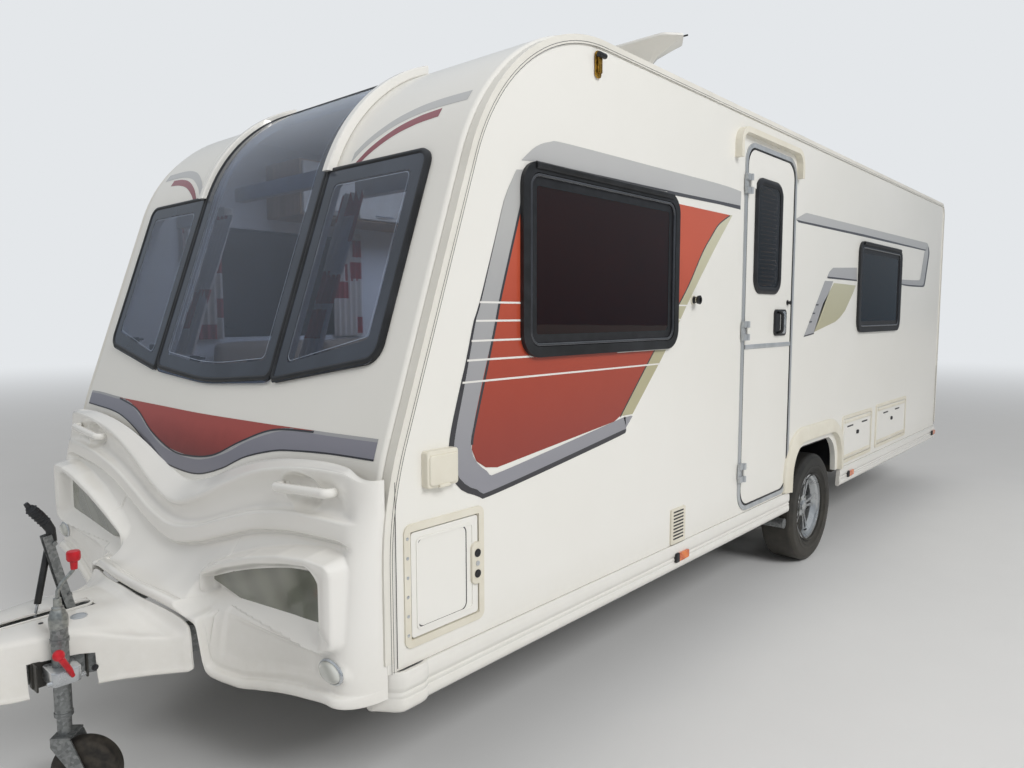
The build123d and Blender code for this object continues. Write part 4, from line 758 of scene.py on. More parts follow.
# %% Vinyl films
def film(name, upper, lower, top, foot, roughness=0.28):
    """Printed cast vinyl that runs from one colour at a height to another at a lower one."""
    material, tree, principled = new_material(
        name, Roughness=roughness, IOR=1.5, Coat_Weight=0.4, Coat_Roughness=0.15
    )
    place = add(tree, "ShaderNodeTexCoord")
    height = add(tree, "ShaderNodeSeparateXYZ", {}, Vector=place.outputs["Object"])
    ink = add(
        tree, "ShaderNodeTexNoise", {"Scale": 14.0, "Detail": 4.0}, Vector=place.outputs["Object"]
    )
    lifted = add(
        tree, "ShaderNodeMath", {"operation": "MULTIPLY_ADD", 1: 0.05}, _0=ink.outputs["Fac"],
        _2=height.outputs["Z"]
    )
    share = add(
        tree, "ShaderNodeMapRange", {"From Min": foot, "From Max": top}, Value=lifted.outputs[0]
    )
    paint(tree, principled, mix(tree, lower, upper, share.outputs[0]))
    orange_peel = add(tree, "ShaderNodeTexNoise", {"Scale": 160.0}, Vector=place.outputs["Object"])
    emboss(tree, principled, orange_peel.outputs["Fac"], 0.00005)
    return material


red_film = film("orange_red_vinyl", "#C65A40", "#8E2D1D", 1.75, 1.05)
front_red_film = film("orange_red_vinyl_front", "#A8453A", "#6E2018", 1.11, 0.97)
slate_film = film("slate_grey_vinyl", "#8F8E98", "#7F7F8A", 1.2, 0.95)
silver_film = film("silver_grey_vinyl", "#BDBDBC", "#A9A9AB", 2.05, 1.6)
band_film = film("grey_band_vinyl", "#B9B9B7", "#8E8E95", 1.8, 1.0)
# Dark film for printed lines; the same film is laid as painted shade in the awning rails' channels
# and round the gas hatch's sunk panel.
dark_print_and_painted_shade_film = film("dark_line_vinyl_and_painted_shade", "#4A4A4E", "#2C2B30", 2.0, 1.0)
olive_film = film("olive_beige_vinyl", "#CFCCB2", "#B4AE8C", 1.9, 1.3)
white_film = film("white_vinyl", "#EDEBE6", "#E4E1DA", 1.6, 1.0)
maroon_film = film("maroon_vinyl", "#8E3440", "#7A2732", 2.15, 1.9)
print("films ready:", len(bpy.data.materials), "materials")

# %% [markdown]
# Inside there are an oak-look foil on plywood, a laminate worktop, woven seat covers and printed
# cotton curtains. Threads are under half a millimetre; the weave is drawn at 3 mm so that it shows.

# %% Interior finishes
WEAVE_MM = 3.0
TURN = 6.2832  # a wave texture's period at scale 1
wood_foil = finish("oak_foil", ("#A3825F", "#BC9A74"), 60, 6, 0.02, 0.45, stretch=(4, 4, 0.35))
laminate = finish("cream_laminate", ("#CFC6B4", "#DAD2C2"), 60, 1.0, 0.02, 0.35)


def woven(name, warp, weft, thread_mm, patch_tone=None, patch_mm=90.0):
    """Woven cloth from two threads that cross, with an optional printed patch."""
    material, tree, principled = new_material(
        name, Roughness=0.9, Sheen_Weight=0.25, Specular_IOR_Level=0.2
    )
    place = add(tree, "ShaderNodeTexCoord")
    bands = [
        add(
            tree, "ShaderNodeTexWave", {"Scale": 1000 / thread_mm / TURN, "bands_direction": way},
            Vector=place.outputs["Object"]
        )
        for way in ("Z", "Y")
    ]
    crossing = combined(tree, "MULTIPLY", bands[0].outputs["Fac"], bands[1].outputs["Fac"])
    surface = mix(tree, warp, weft, crossing)
    if patch_tone:
        print_shapes = add(
            tree, "ShaderNodeTexVoronoi", {"Scale": 1000 / patch_mm, "distance": "CHEBYCHEV"},
            Vector=place.outputs["Object"]
        )
        inked = add(
            tree, "ShaderNodeMath", {"operation": "LESS_THAN", 1: 0.33},
            _0=print_shapes.outputs["Distance"]
        )
        surface = mix(tree, surface, patch_tone, inked.outputs[0])
    paint(tree, principled, surface)
    emboss(tree, principled, crossing, 0.0004)
    return material


seat_cloth = woven("beige_seat_cloth", "#9C8C78", "#B5A590", WEAVE_MM)
curtain_cloth = woven("printed_curtain_cotton", "#D8CDBF", "#E6DDD0", WEAVE_MM, "#A8323A", 150.0)
mattress_cloth = woven("quilted_ticking", "#CFC8BC", "#DAD4C8", WEAVE_MM)
print("cloth drawn with", WEAVE_MM, "mm threads;", len(bpy.data.materials), "materials in all")

# %% [markdown]
# Solids whose shape is right keep it and only take a finish.

# %% Finishes on the solids
def dress(material, *node_names):
    """Gives solids a finish."""
    for name in node_names:
        nodes[name].data.materials.clear()
        nodes[name].data.materials.append(material)


dress(
    coated_sheet, "nearside_wall", "offside_wall", "front_panel", "rear_panel", "roof_panel",
    "door_leaf", "gas_hatch_lid", "bed_hatch_lid", "locker_hatch_lid", "cassette_hatch_lid"
)
dress(
    gloss_abs, "front_moulding", "side_skirts", "drawbar_fairing", "tail_moulding", "grab_handles",
    "pane_rails", "aerial_foot", "aerial_head"
)
dress(aged_abs, "door_canopy", "arch_trims", "hatch_frames", "wall_fittings")
dress(coated_extrusion, "awning_rails")
dress(anodised_trim, "door_frame")
dress(black_polyamide_and_painted_shade, "door_handle", "wheel_boxes")
dress(epdm_rubber, "front_seals", "side_window_frames", "bellows")
dress(slate_acrylic, "front_panes")
dress(dark_acrylic, "side_window_panes", "door_window")
dress(opal_acrylic, "rooflight_lid_lounge", "rooflight_lid_kitchen")
dress(smoked_lens, "front_lamps")
dress(red_lens, "tail_lamps")
dress(amber_lens, "side_markers")
dress(
    galvanised, "axle", "chassis_members", "cross_members", "drawbar", "jockey_post", "jockey_stem",
    "steady_brackets", "wheel_movers", "handbrake_lever",
    *(name for name in nodes if name.startswith("steady_leg"))
)
dress(black_paint, "coupling_head")
dress(silver_alloy, "rim_nearside", "rim_offside")
dress(tyre_rubber, "tyre_nearside", "tyre_offside")
dress(worn_rubber, "jockey_wheel")
dress(underfloor_board, "floor_panel")
dress(wood_foil, "cabin_furniture")
dress(seat_cloth, "soft_furnishings")
dress(curtain_cloth, "curtains")
print("dressed solids:", len(nodes))

# %% [markdown]
# ## The front moulding
# The lower front is one big thermoformed sheet, and the caravan's most modelled part. Two ledges
# run across it in a wave, dipping in the middle and rising to level ends. Under them the sheet
# sweeps forward into a prow over the drawbar, with a lamp recess in each half, a rolled edge round
# the notch for the drawbar, and a plain round pillar at each corner.
#
# A heat-softened sheet has one depth at every place, so we model it the same way: a dense grid
# whose rows follow the ledges, pushed forward and back by smooth functions of where we are. The
# rows come from a table of heights across the front, and soft corners come from cutting corners
# twice, as a wood carver would.

# %% Heights and reaches across the front
FOOT = front_y - 0.022  # the plane from which the sheet's reach is counted
PILLAR_FROM = side_x - 0.085
ledge_rows = [
    # across, top, crease, lip top, lip bottom, apron's knee, reach of crease, fascia, lip, knee
    (0.00, 0.872, 0.812, 0.724, 0.664, 0.600, 0.060, 0.036, 0.070, 0.085),
    (0.18, 0.906, 0.852, 0.750, 0.694, 0.625, 0.054, 0.032, 0.066, 0.088),
    (0.36, 0.965, 0.922, 0.806, 0.748, 0.690, 0.044, 0.024, 0.060, 0.102),
    (0.54, 1.010, 0.983, 0.858, 0.803, 0.742, 0.038, 0.018, 0.056, 0.108),
    (0.72, 1.036, 1.018, 0.891, 0.836, 0.782, 0.034, 0.016, 0.054, 0.110),
    (0.90, 1.046, 1.036, 0.908, 0.852, 0.808, 0.034, 0.016, 0.054, 0.110),
    (1.03, 1.046, 1.038, 0.912, 0.858, 0.814, 0.034, 0.020, 0.054, 0.106),
]
hem_rows = [
    # across, height of the rolled edge, its reach, rise and set-back of the apron's end behind it
    (0.00, 0.552, 0.222, 0.006, 0.030),
    (0.12, 0.552, 0.220, 0.007, 0.030),
    (0.24, 0.546, 0.206, 0.010, 0.029),
    (0.34, 0.534, 0.192, 0.014, 0.027),
    (0.400, 0.520, 0.182, 0.020, 0.022),
    (0.430, 0.502, 0.176, 0.026, 0.018),
    (0.441, 0.450, 0.172, 0.032, 0.014),
    (0.449, 0.395, 0.168, 0.034, 0.012),
    (0.462, 0.364, 0.164, 0.034, 0.012),
    (0.50, 0.352, 0.154, 0.034, 0.012),
    (0.58, 0.350, 0.136, 0.034, 0.012),
    (0.68, 0.368, 0.120, 0.034, 0.012),
    (0.80, 0.396, 0.110, 0.034, 0.012),
    (0.92, 0.420, 0.106, 0.034, 0.012),
    (1.03, 0.436, 0.104, 0.034, 0.012),
]
# Height, reach of the plain pillar
pillar_rows = [
    (0.3, 0.1), (0.42, 0.1), (0.5, 0.096), (0.6, 0.09), (0.7, 0.082), (0.8, 0.072), (0.86, 0.06),
    (0.92, 0.044), (0.98, 0.032), (1.03, 0.028), (1.06, 0.022)
]


def looked_up(rows, key):
    """Values of a table's row at a key, eased between the rows."""
    keys = [row[0] for row in rows]
    i, share = between(keys, min(max(key, keys[0]), keys[-1]))
    a, b, c, d = (rows[min(max(i + k, 0), len(rows) - 1)] for k in (-1, 0, 1, 2))
    values = []
    for p, q, r, s in zip(a[1:], b[1:], c[1:], d[1:]):
        before = 0.5 * (r - p) * (c[0] - b[0]) / max((c[0] - a[0]) / 2, 1e-9)
        after = 0.5 * (s - q) * (c[0] - b[0]) / max((d[0] - b[0]) / 2, 1e-9)
        if (q - p) * (r - q) <= 0:
            before = 0.0
        if (r - q) * (s - r) <= 0:
            after = 0.0
        t2, t3 = share**2, share**3
        values.append(
            (2 * t3 - 3 * t2 + 1) * q + (t3 - 2 * t2 + share) * before + (3 * t2 - 2 * t3) * r
            + (t3 - t2) * after
        )
    return values


def eased(value, low, high):
    """0 below low, 1 above high, and a smooth step between."""
    t = min(max((value - low) / (high - low), 0.0), 1.0)
    return t * t * (3 - 2 * t)


print(
    "crease falls", round(looked_up(ledge_rows, 1.0)[1] - looked_up(ledge_rows, 0)[1], 3),
    "m to the middle"
)

# %% The sheet's section at one place across
ROWS_BETWEEN = (12, 18, 8, 20, 13)
frame_lines = [
    # across, frame top, lamp top, lamp foot, frame foot
    (0.316, 0.634, 0.606, 0.570, 0.558),
    (0.345, 0.648, 0.614, 0.567, 0.545),
    (0.384, 0.666, 0.628, 0.570, 0.535),
    (0.471, 0.701, 0.658, 0.578, 0.539),
    (0.604, 0.744, 0.698, 0.590, 0.545),
    (0.790, 0.790, 0.744, 0.608, 0.551),
    (0.944, 0.812, 0.770, 0.622, 0.559),
    (0.990, 0.814, 0.774, 0.606, 0.562),
    (1.052, 0.814, 0.776, 0.602, 0.588),
]


def whittled(line):
    """A line with its corners cut twice; the ends stay."""
    for _ in range(2):
        cut = [line[0]]
        for (r0, z0), (r1, z1) in zip(line, line[1:]):
            cut += [
                (0.75 * r0 + 0.25 * r1, 0.75 * z0 + 0.25 * z1),
                (0.25 * r0 + 0.75 * r1, 0.25 * z0 + 0.75 * z1)
            ]
        line = cut + [line[-1]]
    return line


def apron_rows(apron, across):
    """The apron's line cut so that its rows run along the edges of the lamp recess."""
    along = measured(apron)
    lines = looked_up(frame_lines, across)
    heights = [apron[0].y] + [
        min(max(z, apron[-1].y + 0.002), apron[0].y - 0.002)
        for z in lines
    ] + [apron[-1].y]
    aligned = eased(across, 0.24, 0.335)
    total = sum(ROWS_BETWEEN)
    rows, done = [], 0
    for high, low, count in zip(heights, heights[1:], ROWS_BETWEEN):
        for k in range(count):
            even = along[-1] * (done + k) / total
            target = high + (low - high) * k / count
            i = next((i for i in range(60) if apron[i + 1].y <= target), 59)
            drop = apron[i].y - apron[i + 1].y
            share = min(max((apron[i].y - target) / drop, 0.0), 1.0) if drop > 1e-9 else 0.0
            wanted = along[i] + share * (along[i + 1] - along[i])
            here = even + (wanted - even) * aligned
            i, share = between(along, here)
            rows.append(tuple(apron[i].lerp(apron[min(i + 1, 60)], share)))
        done += count
    return rows + [tuple(apron[-1])]


def moulding_section(x):
    """Points (reach, height) down the sheet at a distance from its middle."""
    across = min(abs(x), 1.03)
    top, crease, lip_top, lip_bottom, knee, out, fascia, lip, knee_out = looked_up(
        ledge_rows, across
    )
    hem, hem_reach, rise, setback = looked_up(hem_rows, across)
    band = crease - lip_top
    section = [
        (-0.01, top + 0.004), (0.002, top - 0.0005), (0.34 * out, top - 0.3 * (top - crease)),
        (0.72 * out, top - 0.68 * (top - crease)), (out - 0.003, crease + 0.003),
        (out, crease - 0.004), (out - 0.003, crease - 0.014),
        (fascia + 0.008, crease - 0.26 * band), (fascia, crease - 0.52 * band),
        (fascia, lip_top + 0.26 * band), (fascia + 0.005, lip_top + 0.012),
        (0.5 * (fascia + lip), lip_top + 0.004), (lip - 0.008, lip_top + 0.002),
        (lip - 0.001, lip_top - 0.004), (lip, lip_top - 0.012), (lip + 0.001, lip_bottom + 0.012),
        (lip, lip_bottom + 0.003), (lip - 0.007, lip_bottom - 0.003),
        (lip - 0.021, lip_bottom - 0.007)
    ]
    start = Vector((lip - 0.024, lip_bottom - 0.018))
    end = Vector((hem_reach - setback, hem + rise))
    turn_in = Vector((0.62 * start.x + 0.38 * knee_out, 0.5 * (start.y + knee) - 0.01))
    turn_out = Vector((knee_out, knee)) + 0.3 * (end - Vector((knee_out, knee)))
    if across < 0.45:
        turn_out.y = min(turn_out.y, end.y + 0.006 + 0.05 * eased(across, 0.2, 0.45))
    apron = []
    for k in range(61):
        t = k / 60
        apron.append(
            (1 - t) ** 3 * start + 3 * (1 - t) ** 2 * t * turn_in + 3 * (1 - t) * t**2 * turn_out
            + t**3 * end
        )
    bead = [
        (hem_reach - 0.013, hem + 0.019), (hem_reach + 0.003, hem + 0.017),
        (hem_reach + 0.011, hem + 0.008), (hem_reach + 0.011, hem - 0.006),
        (hem_reach + 0.002, hem - 0.014), (hem_reach - 0.012, hem - 0.012),
        (hem_reach - 0.024, hem + 0.0)
    ]
    return whittled(section + [start]) + apron_rows(apron, across)[1:-1] + whittled([end] + bead)


print("points down the sheet:", len(moulding_section(0.5)))

# %% [markdown]
# The lamp recess is a soft frame that stands out of the sheet, with a steep wall at its top and
# ends and a broad sloping sill below. Every place between the frame's outline and the lamp's own
# outline has a share, 0 at the frame and 1 at the lamp, and that share drives the depth.

# %% Recesses and beads
lamp_frame = rounded(
    [
        (0.316, 0.56), (0.32, 0.636), (0.44, 0.69), (0.62, 0.749), (0.8, 0.792), (0.94, 0.812),
        (1.054, 0.812), (1.052, 0.59), (0.99, 0.562), (0.79, 0.551), (0.604, 0.545), (0.384, 0.534)
    ], [0.03, 0.035, 0.2, 0.3, 0.3, 0.1, 0.03, 0.03, 0.05, 0.3, 0.3, 0.05]
)
lamp_glass = rounded(
    [
        (0.345, 0.566), (0.34, 0.612), (0.471, 0.659), (0.67, 0.716), (0.846, 0.754), (0.944, 0.77),
        (0.946, 0.622), (0.7235, 0.602), (0.547, 0.585)
    ], [0.006, 0.008, 0.1, 0.3, 0.2, 0.012, 0.006, 0.3, 0.3]
)
FRAME_REACH = 0.118  # how far the frame and the lamp's glass stand out of FOOT
GLASS_REACH = 0.0765
RECESS_FROM, RECESS_LOW, RECESS_HIGH = 0.28, 0.50, 0.85  # nothing of the recess lies beyond these
SCOOP = (0.790, 0.960, 0.106, 0.056)  # across, height, half width, half height
MARKER = (1.018, 0.512, 0.048, 0.029)  # the same for the marker lamp
MARKER_POINTS = 40


def inside_distance(line, x, z):
    """How far a point lies inside a closed line, negative outside."""
    nearest, inside = 9.0, False
    for (x0, z0), (x1, z1) in zip(line, line[1:] + line[:1]):
        dx, dz = x1 - x0, z1 - z0
        t = min(max(((x - x0) * dx + (z - z0) * dz) / (dx * dx + dz * dz), 0.0), 1.0)
        nearest = min(nearest, math.hypot(x - x0 - t * dx, z - z0 - t * dz))
        if (z0 > z) != (z1 > z) and x < x0 + (z - z0) * dx / dz:
            inside = not inside
    return nearest if inside else -nearest


def oval(x, z, spot):
    """0 at the middle of an oval spot, 1 on its edge."""
    return math.hypot((x - spot[0]) / spot[2], (z - spot[1]) / spot[3])


def formed(x, reach, height):
    """The sheet's reach after its recesses and pads are pressed in."""
    across = abs(x)
    if across > RECESS_FROM and RECESS_LOW < height < RECESS_HIGH:
        inside = inside_distance(lamp_frame, across, height)
        if inside > -0.022:
            rim = FRAME_REACH - 0.004 * eased(0.46 - across, 0.0, 0.14)
            reach += (rim - reach) * eased(inside, -0.016, 0.003)
            glass = inside_distance(lamp_glass, across, height)
            share = inside / (inside - glass) if glass < 0 < inside else float(inside > 0)
            foot = 0.566 + 0.056 * (across - 0.345) / 0.6 - 0.25 * max(across - 0.946, 0.0)
            sill = eased(foot + 0.004 - height, -0.008, 0.008)
            steep = eased(share, 0.42, 0.97)
            broad = max(share - 0.05, 0.0) / 0.95
            fall = steep + (broad - steep) * sill
            reach += 0.003 * (1 - sill) * math.exp(-(((share - 0.22) / 0.2) ** 2)) * (inside > 0)
            reach -= (rim - GLASS_REACH) * fall + 0.014 * eased(glass, 0.0, 0.006)
    scoop = oval(across, height, SCOOP)
    if scoop < 1.15:
        reach -= (reach + 0.012) * (1 - eased(scoop, 0.45, 1.0)) - 0.0025 * math.exp(
            -(((scoop - 1.03) / 0.05) ** 2)
        )
    if across > 0.46 and height < 0.56:
        hem = looked_up(hem_rows, across)[0]
        panel = eased(across, 0.487, 0.503) * eased(height - hem, 0.046, 0.062)
        reach -= 0.007 * panel * (1 - eased(across, 0.93, 1.0)) * eased(0.555 - height, -0.03, 0.0)
    return reach


def moulding_point(x, reach, height):
    """A point of the sheet, with the plain pillar blended in at the corner."""
    across = abs(x)
    plain = looked_up(pillar_rows, height)[0]
    high = eased(height, 0.94, 1.0)
    reach += (plain - reach) * eased(
        across, 0.985 - 0.075 * high, 1.082 + 0.02 * high
    ) * eased(height, 0.44, 0.5)
    reach = formed(x, reach, height)
    marker = oval(across, height, MARKER)
    if across > PILLAR_FROM:
        turn = min((across - PILLAR_FROM) / (side_x - 0.0015 - PILLAR_FROM), 1.0)
        reach = (reach + 0.022) * math.sqrt(max(1 - turn**2.2, 0.0)) - 0.022
    if marker < 1.5:
        reach += (0.092 - reach) * (1 - eased(marker, 1.1, 1.4))
    height -= 0.019 * eased(across, 0.99, 1.1) * eased(height, 0.9, 1.03)
    return Vector((x, FOOT - reach, height))


print("lamp frame depth", round(FRAME_REACH - GLASS_REACH, 3), "m")

# %% Build the sheet
columns = [0.0]
while columns[-1] < side_x - 0.0016:
    x = columns[-1]
    step = 0.0019 if 0.428 < x < 0.466 or 0.308 < x < 0.35 else 0.0031 if x > 0.935 else 0.0065
    columns.append(min(x + step, side_x - 0.0015))
columns = [-x for x in reversed(columns[1:])] + columns
sheet_rows = []
for x in columns:
    sheet_rows.append([moulding_point(x, reach, height) for reach, height in moulding_section(x)])
moulding = piece(
    "front_moulding_sheet", grid(sheet_rows), gloss_abs, replaces=["front_moulding"],
    sharp=80
)
print(
    "moulding:", len(columns), "x", len(sheet_rows[0]), "points,", len(moulding.data.polygons),
    "faces"
)

# %% [markdown]
# Into the recesses go the lamps, and on the lower corners an oval clear marker lamp stands on a
# small pad. The marker's lens is a shallow dome with upright flutes.

# %% Marker lamps on the moulding
def marker_dome(side):
    """An oval dome on its pad."""
    rows = []
    for ring, rise in (
        (1.0, 0.004), (0.99, 0.012), (0.9, 0.02), (0.7, 0.025), (0.4, 0.0275), (0.12, 0.0285)
    ):
        row = []
        for k in range(MARKER_POINTS):
            angle = 2 * math.pi * k / MARKER_POINTS
            x = MARKER[0] + MARKER[2] * ring * math.cos(angle)
            z = MARKER[1] + MARKER[3] * ring * math.sin(angle)
            row.append((side * x, FOOT - 0.084 - rise, z))
        rows.append(row)
    points, faces = grid(rows, closed=True)
    return points, faces + [tuple(range(len(points) - MARKER_POINTS, len(points)))]


piece(
    "front_marker_lenses", merge(marker_dome(1), marker_dome(-1)), clear_lens,
    sharp=60
)
bezel = rail(
    [
        (MARKER[0] + MARKER[2] * 1.02 * math.cos(a), MARKER[1] + MARKER[3] * 1.04 * math.sin(a))
        for a in (2 * math.pi * k / MARKER_POINTS for k in range(MARKER_POINTS))
    ], [(-0.004, 0.0), (-0.004, 0.008), (0.0, 0.011), (0.003, 0.008), (0.003, 0.0)],
    lambda x, z, out: Vector((x, FOOT - 0.088 - out, z))
)
piece("front_marker_bezels", doubled(bezel), silver_alloy)
print("marker lamps at", MARKER[:2])

# %% [markdown]
# The grab handles are thick moulded bars over the scoops. Each end turns down into a foot; the bar
# is fattest in the middle, where a hand pushes the caravan about. The rear pair stands upright.

# %% Grab handles
def handle(middle, along, out, length, stand, thick=0.0125):
    """A bar whose rounded ends turn down into feet."""
    middle, along, out = Vector(middle), Vector(along), Vector(out)
    half = length / 2
    path = rounded(
        [(-half + 0.012, -0.03), (-half, 0.0), (half, 0.0), (half - 0.012, -0.03)],
        [0, 0.016, 0.016, 0], closed=False, steps=7
    )
    spine = [middle + along * a + out * b for a, b in path]
    inner = [path[7].lerp(path[8], k / 12) for k in range(1, 12)]
    spine[8:8] = [middle + along * a + out * b for a, b in inner]
    sizes = [
        thick * (
            0.86 + 0.14 * math.cos(math.pi / 2 * min(abs((p - middle).dot(along)) / half, 1) ** 3)
        )
        for p in spine
    ]
    bar = rod(spine, sizes, 16)
    feet = [
        turned(
            [(-0.006, 0.0), (-0.006, 0.017), (0.002, 0.017), (0.006, 0.013), (0.006, 0.0)],
            middle + along * s * (half - 0.012) - out * (stand - 0.002), out, 20
        )
        for s in (-1, 1)
    ]
    return merge(bar, *feet)


HANDLE_LENGTH = 0.285
front_handles = [
    handle(
        (s * 0.825, front_y - 0.076, 0.972), Vector((s, 0, 0.075)).normalized(), (0, -1, 0),
        HANDLE_LENGTH, 0.044, 0.015
    )
    for s in (-1, 1)
]
rear_face = rear_y + PANEL_CROWN
rear_handles = [
    handle((s * (side_x - 0.19), rear_face + 0.03, 1.08), UP, ALONG, 0.25, 0.026)
    for s in (-1, 1)
]
piece(
    "moulded_grab_handles", merge(*front_handles, *rear_handles), gloss_abs,
    replaces=["grab_handles"], sharp=60
)
print("handles:", len(front_handles + rear_handles))

# %% [markdown]
# ## Stripes on the front
# A slate-grey wave crosses the front above the moulding, with a dark line along its lower edge. A
# red crescent lies in its dip, and each outer window has an eyebrow of grey and dark red. Film
# follows the panel, so each stripe is a strip of faces between two smooth lines, laid on the nose.

# %% Film on the nose
FILM = 0.0006


def nose_strip(upper, lower, lift, steps=10, rows=3):
    """Film between two lines of (x, z), laid on the nose."""
    high, low = curve(upper, steps), curve(lower, steps)
    count = min(len(high), len(low)) - 1
    lines = []
    for k in range(rows + 1):
        share = k / rows
        lines.append([
            nose_height_place(
                *(
                    low[round(i * (len(low) - 1) / count)].lerp(
                        high[round(i * (len(high) - 1) / count)], share
                    )
                ), PANEL_CROWN + lift
            )
            for i in range(count + 1)
        ])
    return grid(lines)


WAVE_TOP = [
    (-1.045, 1.112), (-0.93, 1.112), (-0.78, 1.106), (-0.66, 1.1), (-0.52, 1.07), (-0.37, 1.009),
    (-0.24, 0.966), (-0.08, 0.948), (0.08, 0.952), (0.24, 0.99), (0.38, 1.046), (0.54, 1.092),
    (0.66, 1.104), (0.84, 1.108), (1.045, 1.113)
]
WAVE_FOOT = [
    (-1.045, 1.066), (-0.93, 1.062), (-0.78, 1.056), (-0.66, 1.043), (-0.52, 1.01), (-0.37, 0.957),
    (-0.24, 0.914), (-0.08, 0.898), (0.08, 0.902), (0.24, 0.942), (0.38, 0.996), (0.54, 1.034),
    (0.66, 1.048), (0.84, 1.06), (1.045, 1.066)
]
CRESCENT_TOP = [
    (-0.72, 1.112), (-0.5, 1.11), (-0.25, 1.108), (0.0, 1.106), (0.25, 1.108), (0.5, 1.111),
    (0.74, 1.115)
]
CRESCENT_FOOT = [
    (-0.72, 1.11), (-0.52, 1.08), (-0.34, 1.008), (-0.15, 0.96), (0.0, 0.957), (0.17, 0.98),
    (0.34, 1.044), (0.52, 1.098), (0.74, 1.113)
]
for name, (upper, rise), (lower, fall), lift, steps, material in (
    ("front_wave_stripe", (WAVE_TOP, 0), (WAVE_FOOT, 0), FILM, 10, slate_film),
    ("front_wave_dark_line", (WAVE_FOOT, 0.0025), (WAVE_FOOT, -0.0025), 2 * FILM, 10, dark_print_and_painted_shade_film),
    ("front_wave_pale_line", (WAVE_TOP, 0.009), (WAVE_TOP, 0), FILM, 10, silver_film),
    ("front_crescent", (CRESCENT_TOP, 0), (CRESCENT_FOOT, 0), FILM, 12, front_red_film),
    (
        "front_crescent_dark_line", (CRESCENT_FOOT, 0.001), (CRESCENT_FOOT, -0.005), 2 * FILM, 12,
        dark_print_and_painted_shade_film
    )
):
    strip = nose_strip(
        [(x, z + rise) for x, z in upper], [(x, z + fall) for x, z in lower], lift, steps
    )
    piece(name, strip, material, sharp=60)
print("wave stripe", round(WAVE_TOP[-1][0] * 2, 2), "m long")

# %% Eyebrows over the outer windows
BROW = [(0.545, 1.998), (0.605, 2.046), (0.7, 2.092), (0.8, 2.116), (0.9, 2.124), (1.03, 2.124)]
for name, line, outward, high, low, material in (
    ("eyebrow_grey", BROW, 0, 0.009, -0.023, silver_film),
    ("eyebrow_maroon", BROW[:5], 0.026, -0.03, -0.058, maroon_film)
):
    strips = [
        nose_strip(
            [(side * (x + outward), z + high) for x, z in line],
            [(side * (x + outward), z + low) for x, z in line], FILM
        )
        for side in (-1, 1)
    ]
    piece(name, merge(*strips), material, sharp=60)
print("eyebrows on both sides")

# %% [markdown]
# ## Front windows
# Three bowed panes stand on black rubber. Round each runs a slate border printed on the acrylic to
# hide the glue, and a thin black lip closes the edge. A hair-thin pale line follows the border, and
# three more run up the middle pane: these pale lines are painted reflections of the panes' edges.
# That pane sweeps up over the roof, so its border is drawn in a flat map, across and along the
# nose, and then wrapped on.

# %% Pane borders and edges
PANE_OUT = 0.032  # the acrylic's outer face, from the body's outline
HAIRLINE_OUT = PANE_OUT + 0.0007
side_low_in, side_low_out = foot_distance(1.245), foot_distance(1.332)
side_high = foot_distance(1.955)
pane_edge = 0.399 * side_x
pane_outer = 0.861 * side_x
middle_half = pane_edge - 0.013
middle_end = next(d for p, d in zip(body_path, body_distance) if p.x >= aft(0.698))
middle_outline = rounded(
    [
        (-middle_half, foot_distance(1.252)), (0, foot_distance(1.218)),
        (middle_half, foot_distance(1.252)), (middle_half, middle_end), (-middle_half, middle_end)
    ], [0.04, 1.5, 0.04, 0.02, 0.02], steps=8
)
side_outline = rounded(
    [
        (pane_edge, side_low_in), (pane_outer, side_low_out), (pane_outer, side_high),
        (pane_edge, side_high)
    ], [0.015, 0.06, 0.045, 0.015], steps=8
)


def divided(line, step=0.025, closed=True):
    """A line with extra points, so that it can bend with the nose."""
    result = []
    ends = line[1:] + line[:1] if closed else line[1:]
    for start, end in zip(line, ends):
        parts = max(1, math.ceil((Vector(end) - Vector(start)).length / step))
        result += [Vector(start).lerp(Vector(end), k / parts) for k in range(parts)]
    return result if closed else result + [Vector(line[-1])]


def nose_ring(line, insets, outs):
    """Faces round a closed line on the nose: one ring for each inset and height."""
    line = divided(line)
    rows = []
    for inset, out in zip(insets, outs):
        rows.append([nose_place(x, d, out) for x, d in shifted(line, inset, closed=True)])
    return grid(rows, closed=True)


def side_frame(inset, radius):
    """The outline of an outer pane, this far inside its edge."""
    return rounded(
        [
            (pane_edge + inset, side_low_in + inset), (pane_outer - inset, side_low_out + inset),
            (pane_outer - inset, side_high - inset), (pane_edge + inset, side_high - inset)
        ], radius, steps=8
    )


def middle_frame(inset, radius):
    """The outline of the middle pane, this far inside its edge."""
    across, low = middle_half - inset, foot_distance(1.252) + inset
    return rounded(
        [
            (-across, low), (0, foot_distance(1.218) + inset), (across, low),
            (across, middle_end - inset), (-across, middle_end - inset)
        ], [radius, 1.5, radius, radius, radius], steps=8
    )


def nose_band(outer, inner, out, rows=3):
    """Faces between two closed outlines with as many points each, laid on the nose."""
    pairs = []
    for k in range(len(outer)):
        starts, ends = (outer[k - 1], inner[k - 1]), (outer[k], inner[k])
        parts = max(1, math.ceil((ends[0] - starts[0]).length / 0.025))
        pairs += [[a.lerp(b, j / parts) for a, b in zip(starts, ends)] for j in range(parts)]
    return grid(
        [[nose_place(*a.lerp(b, k / rows), out) for a, b in pairs] for k in range(rows + 1)],
        closed=True
    )


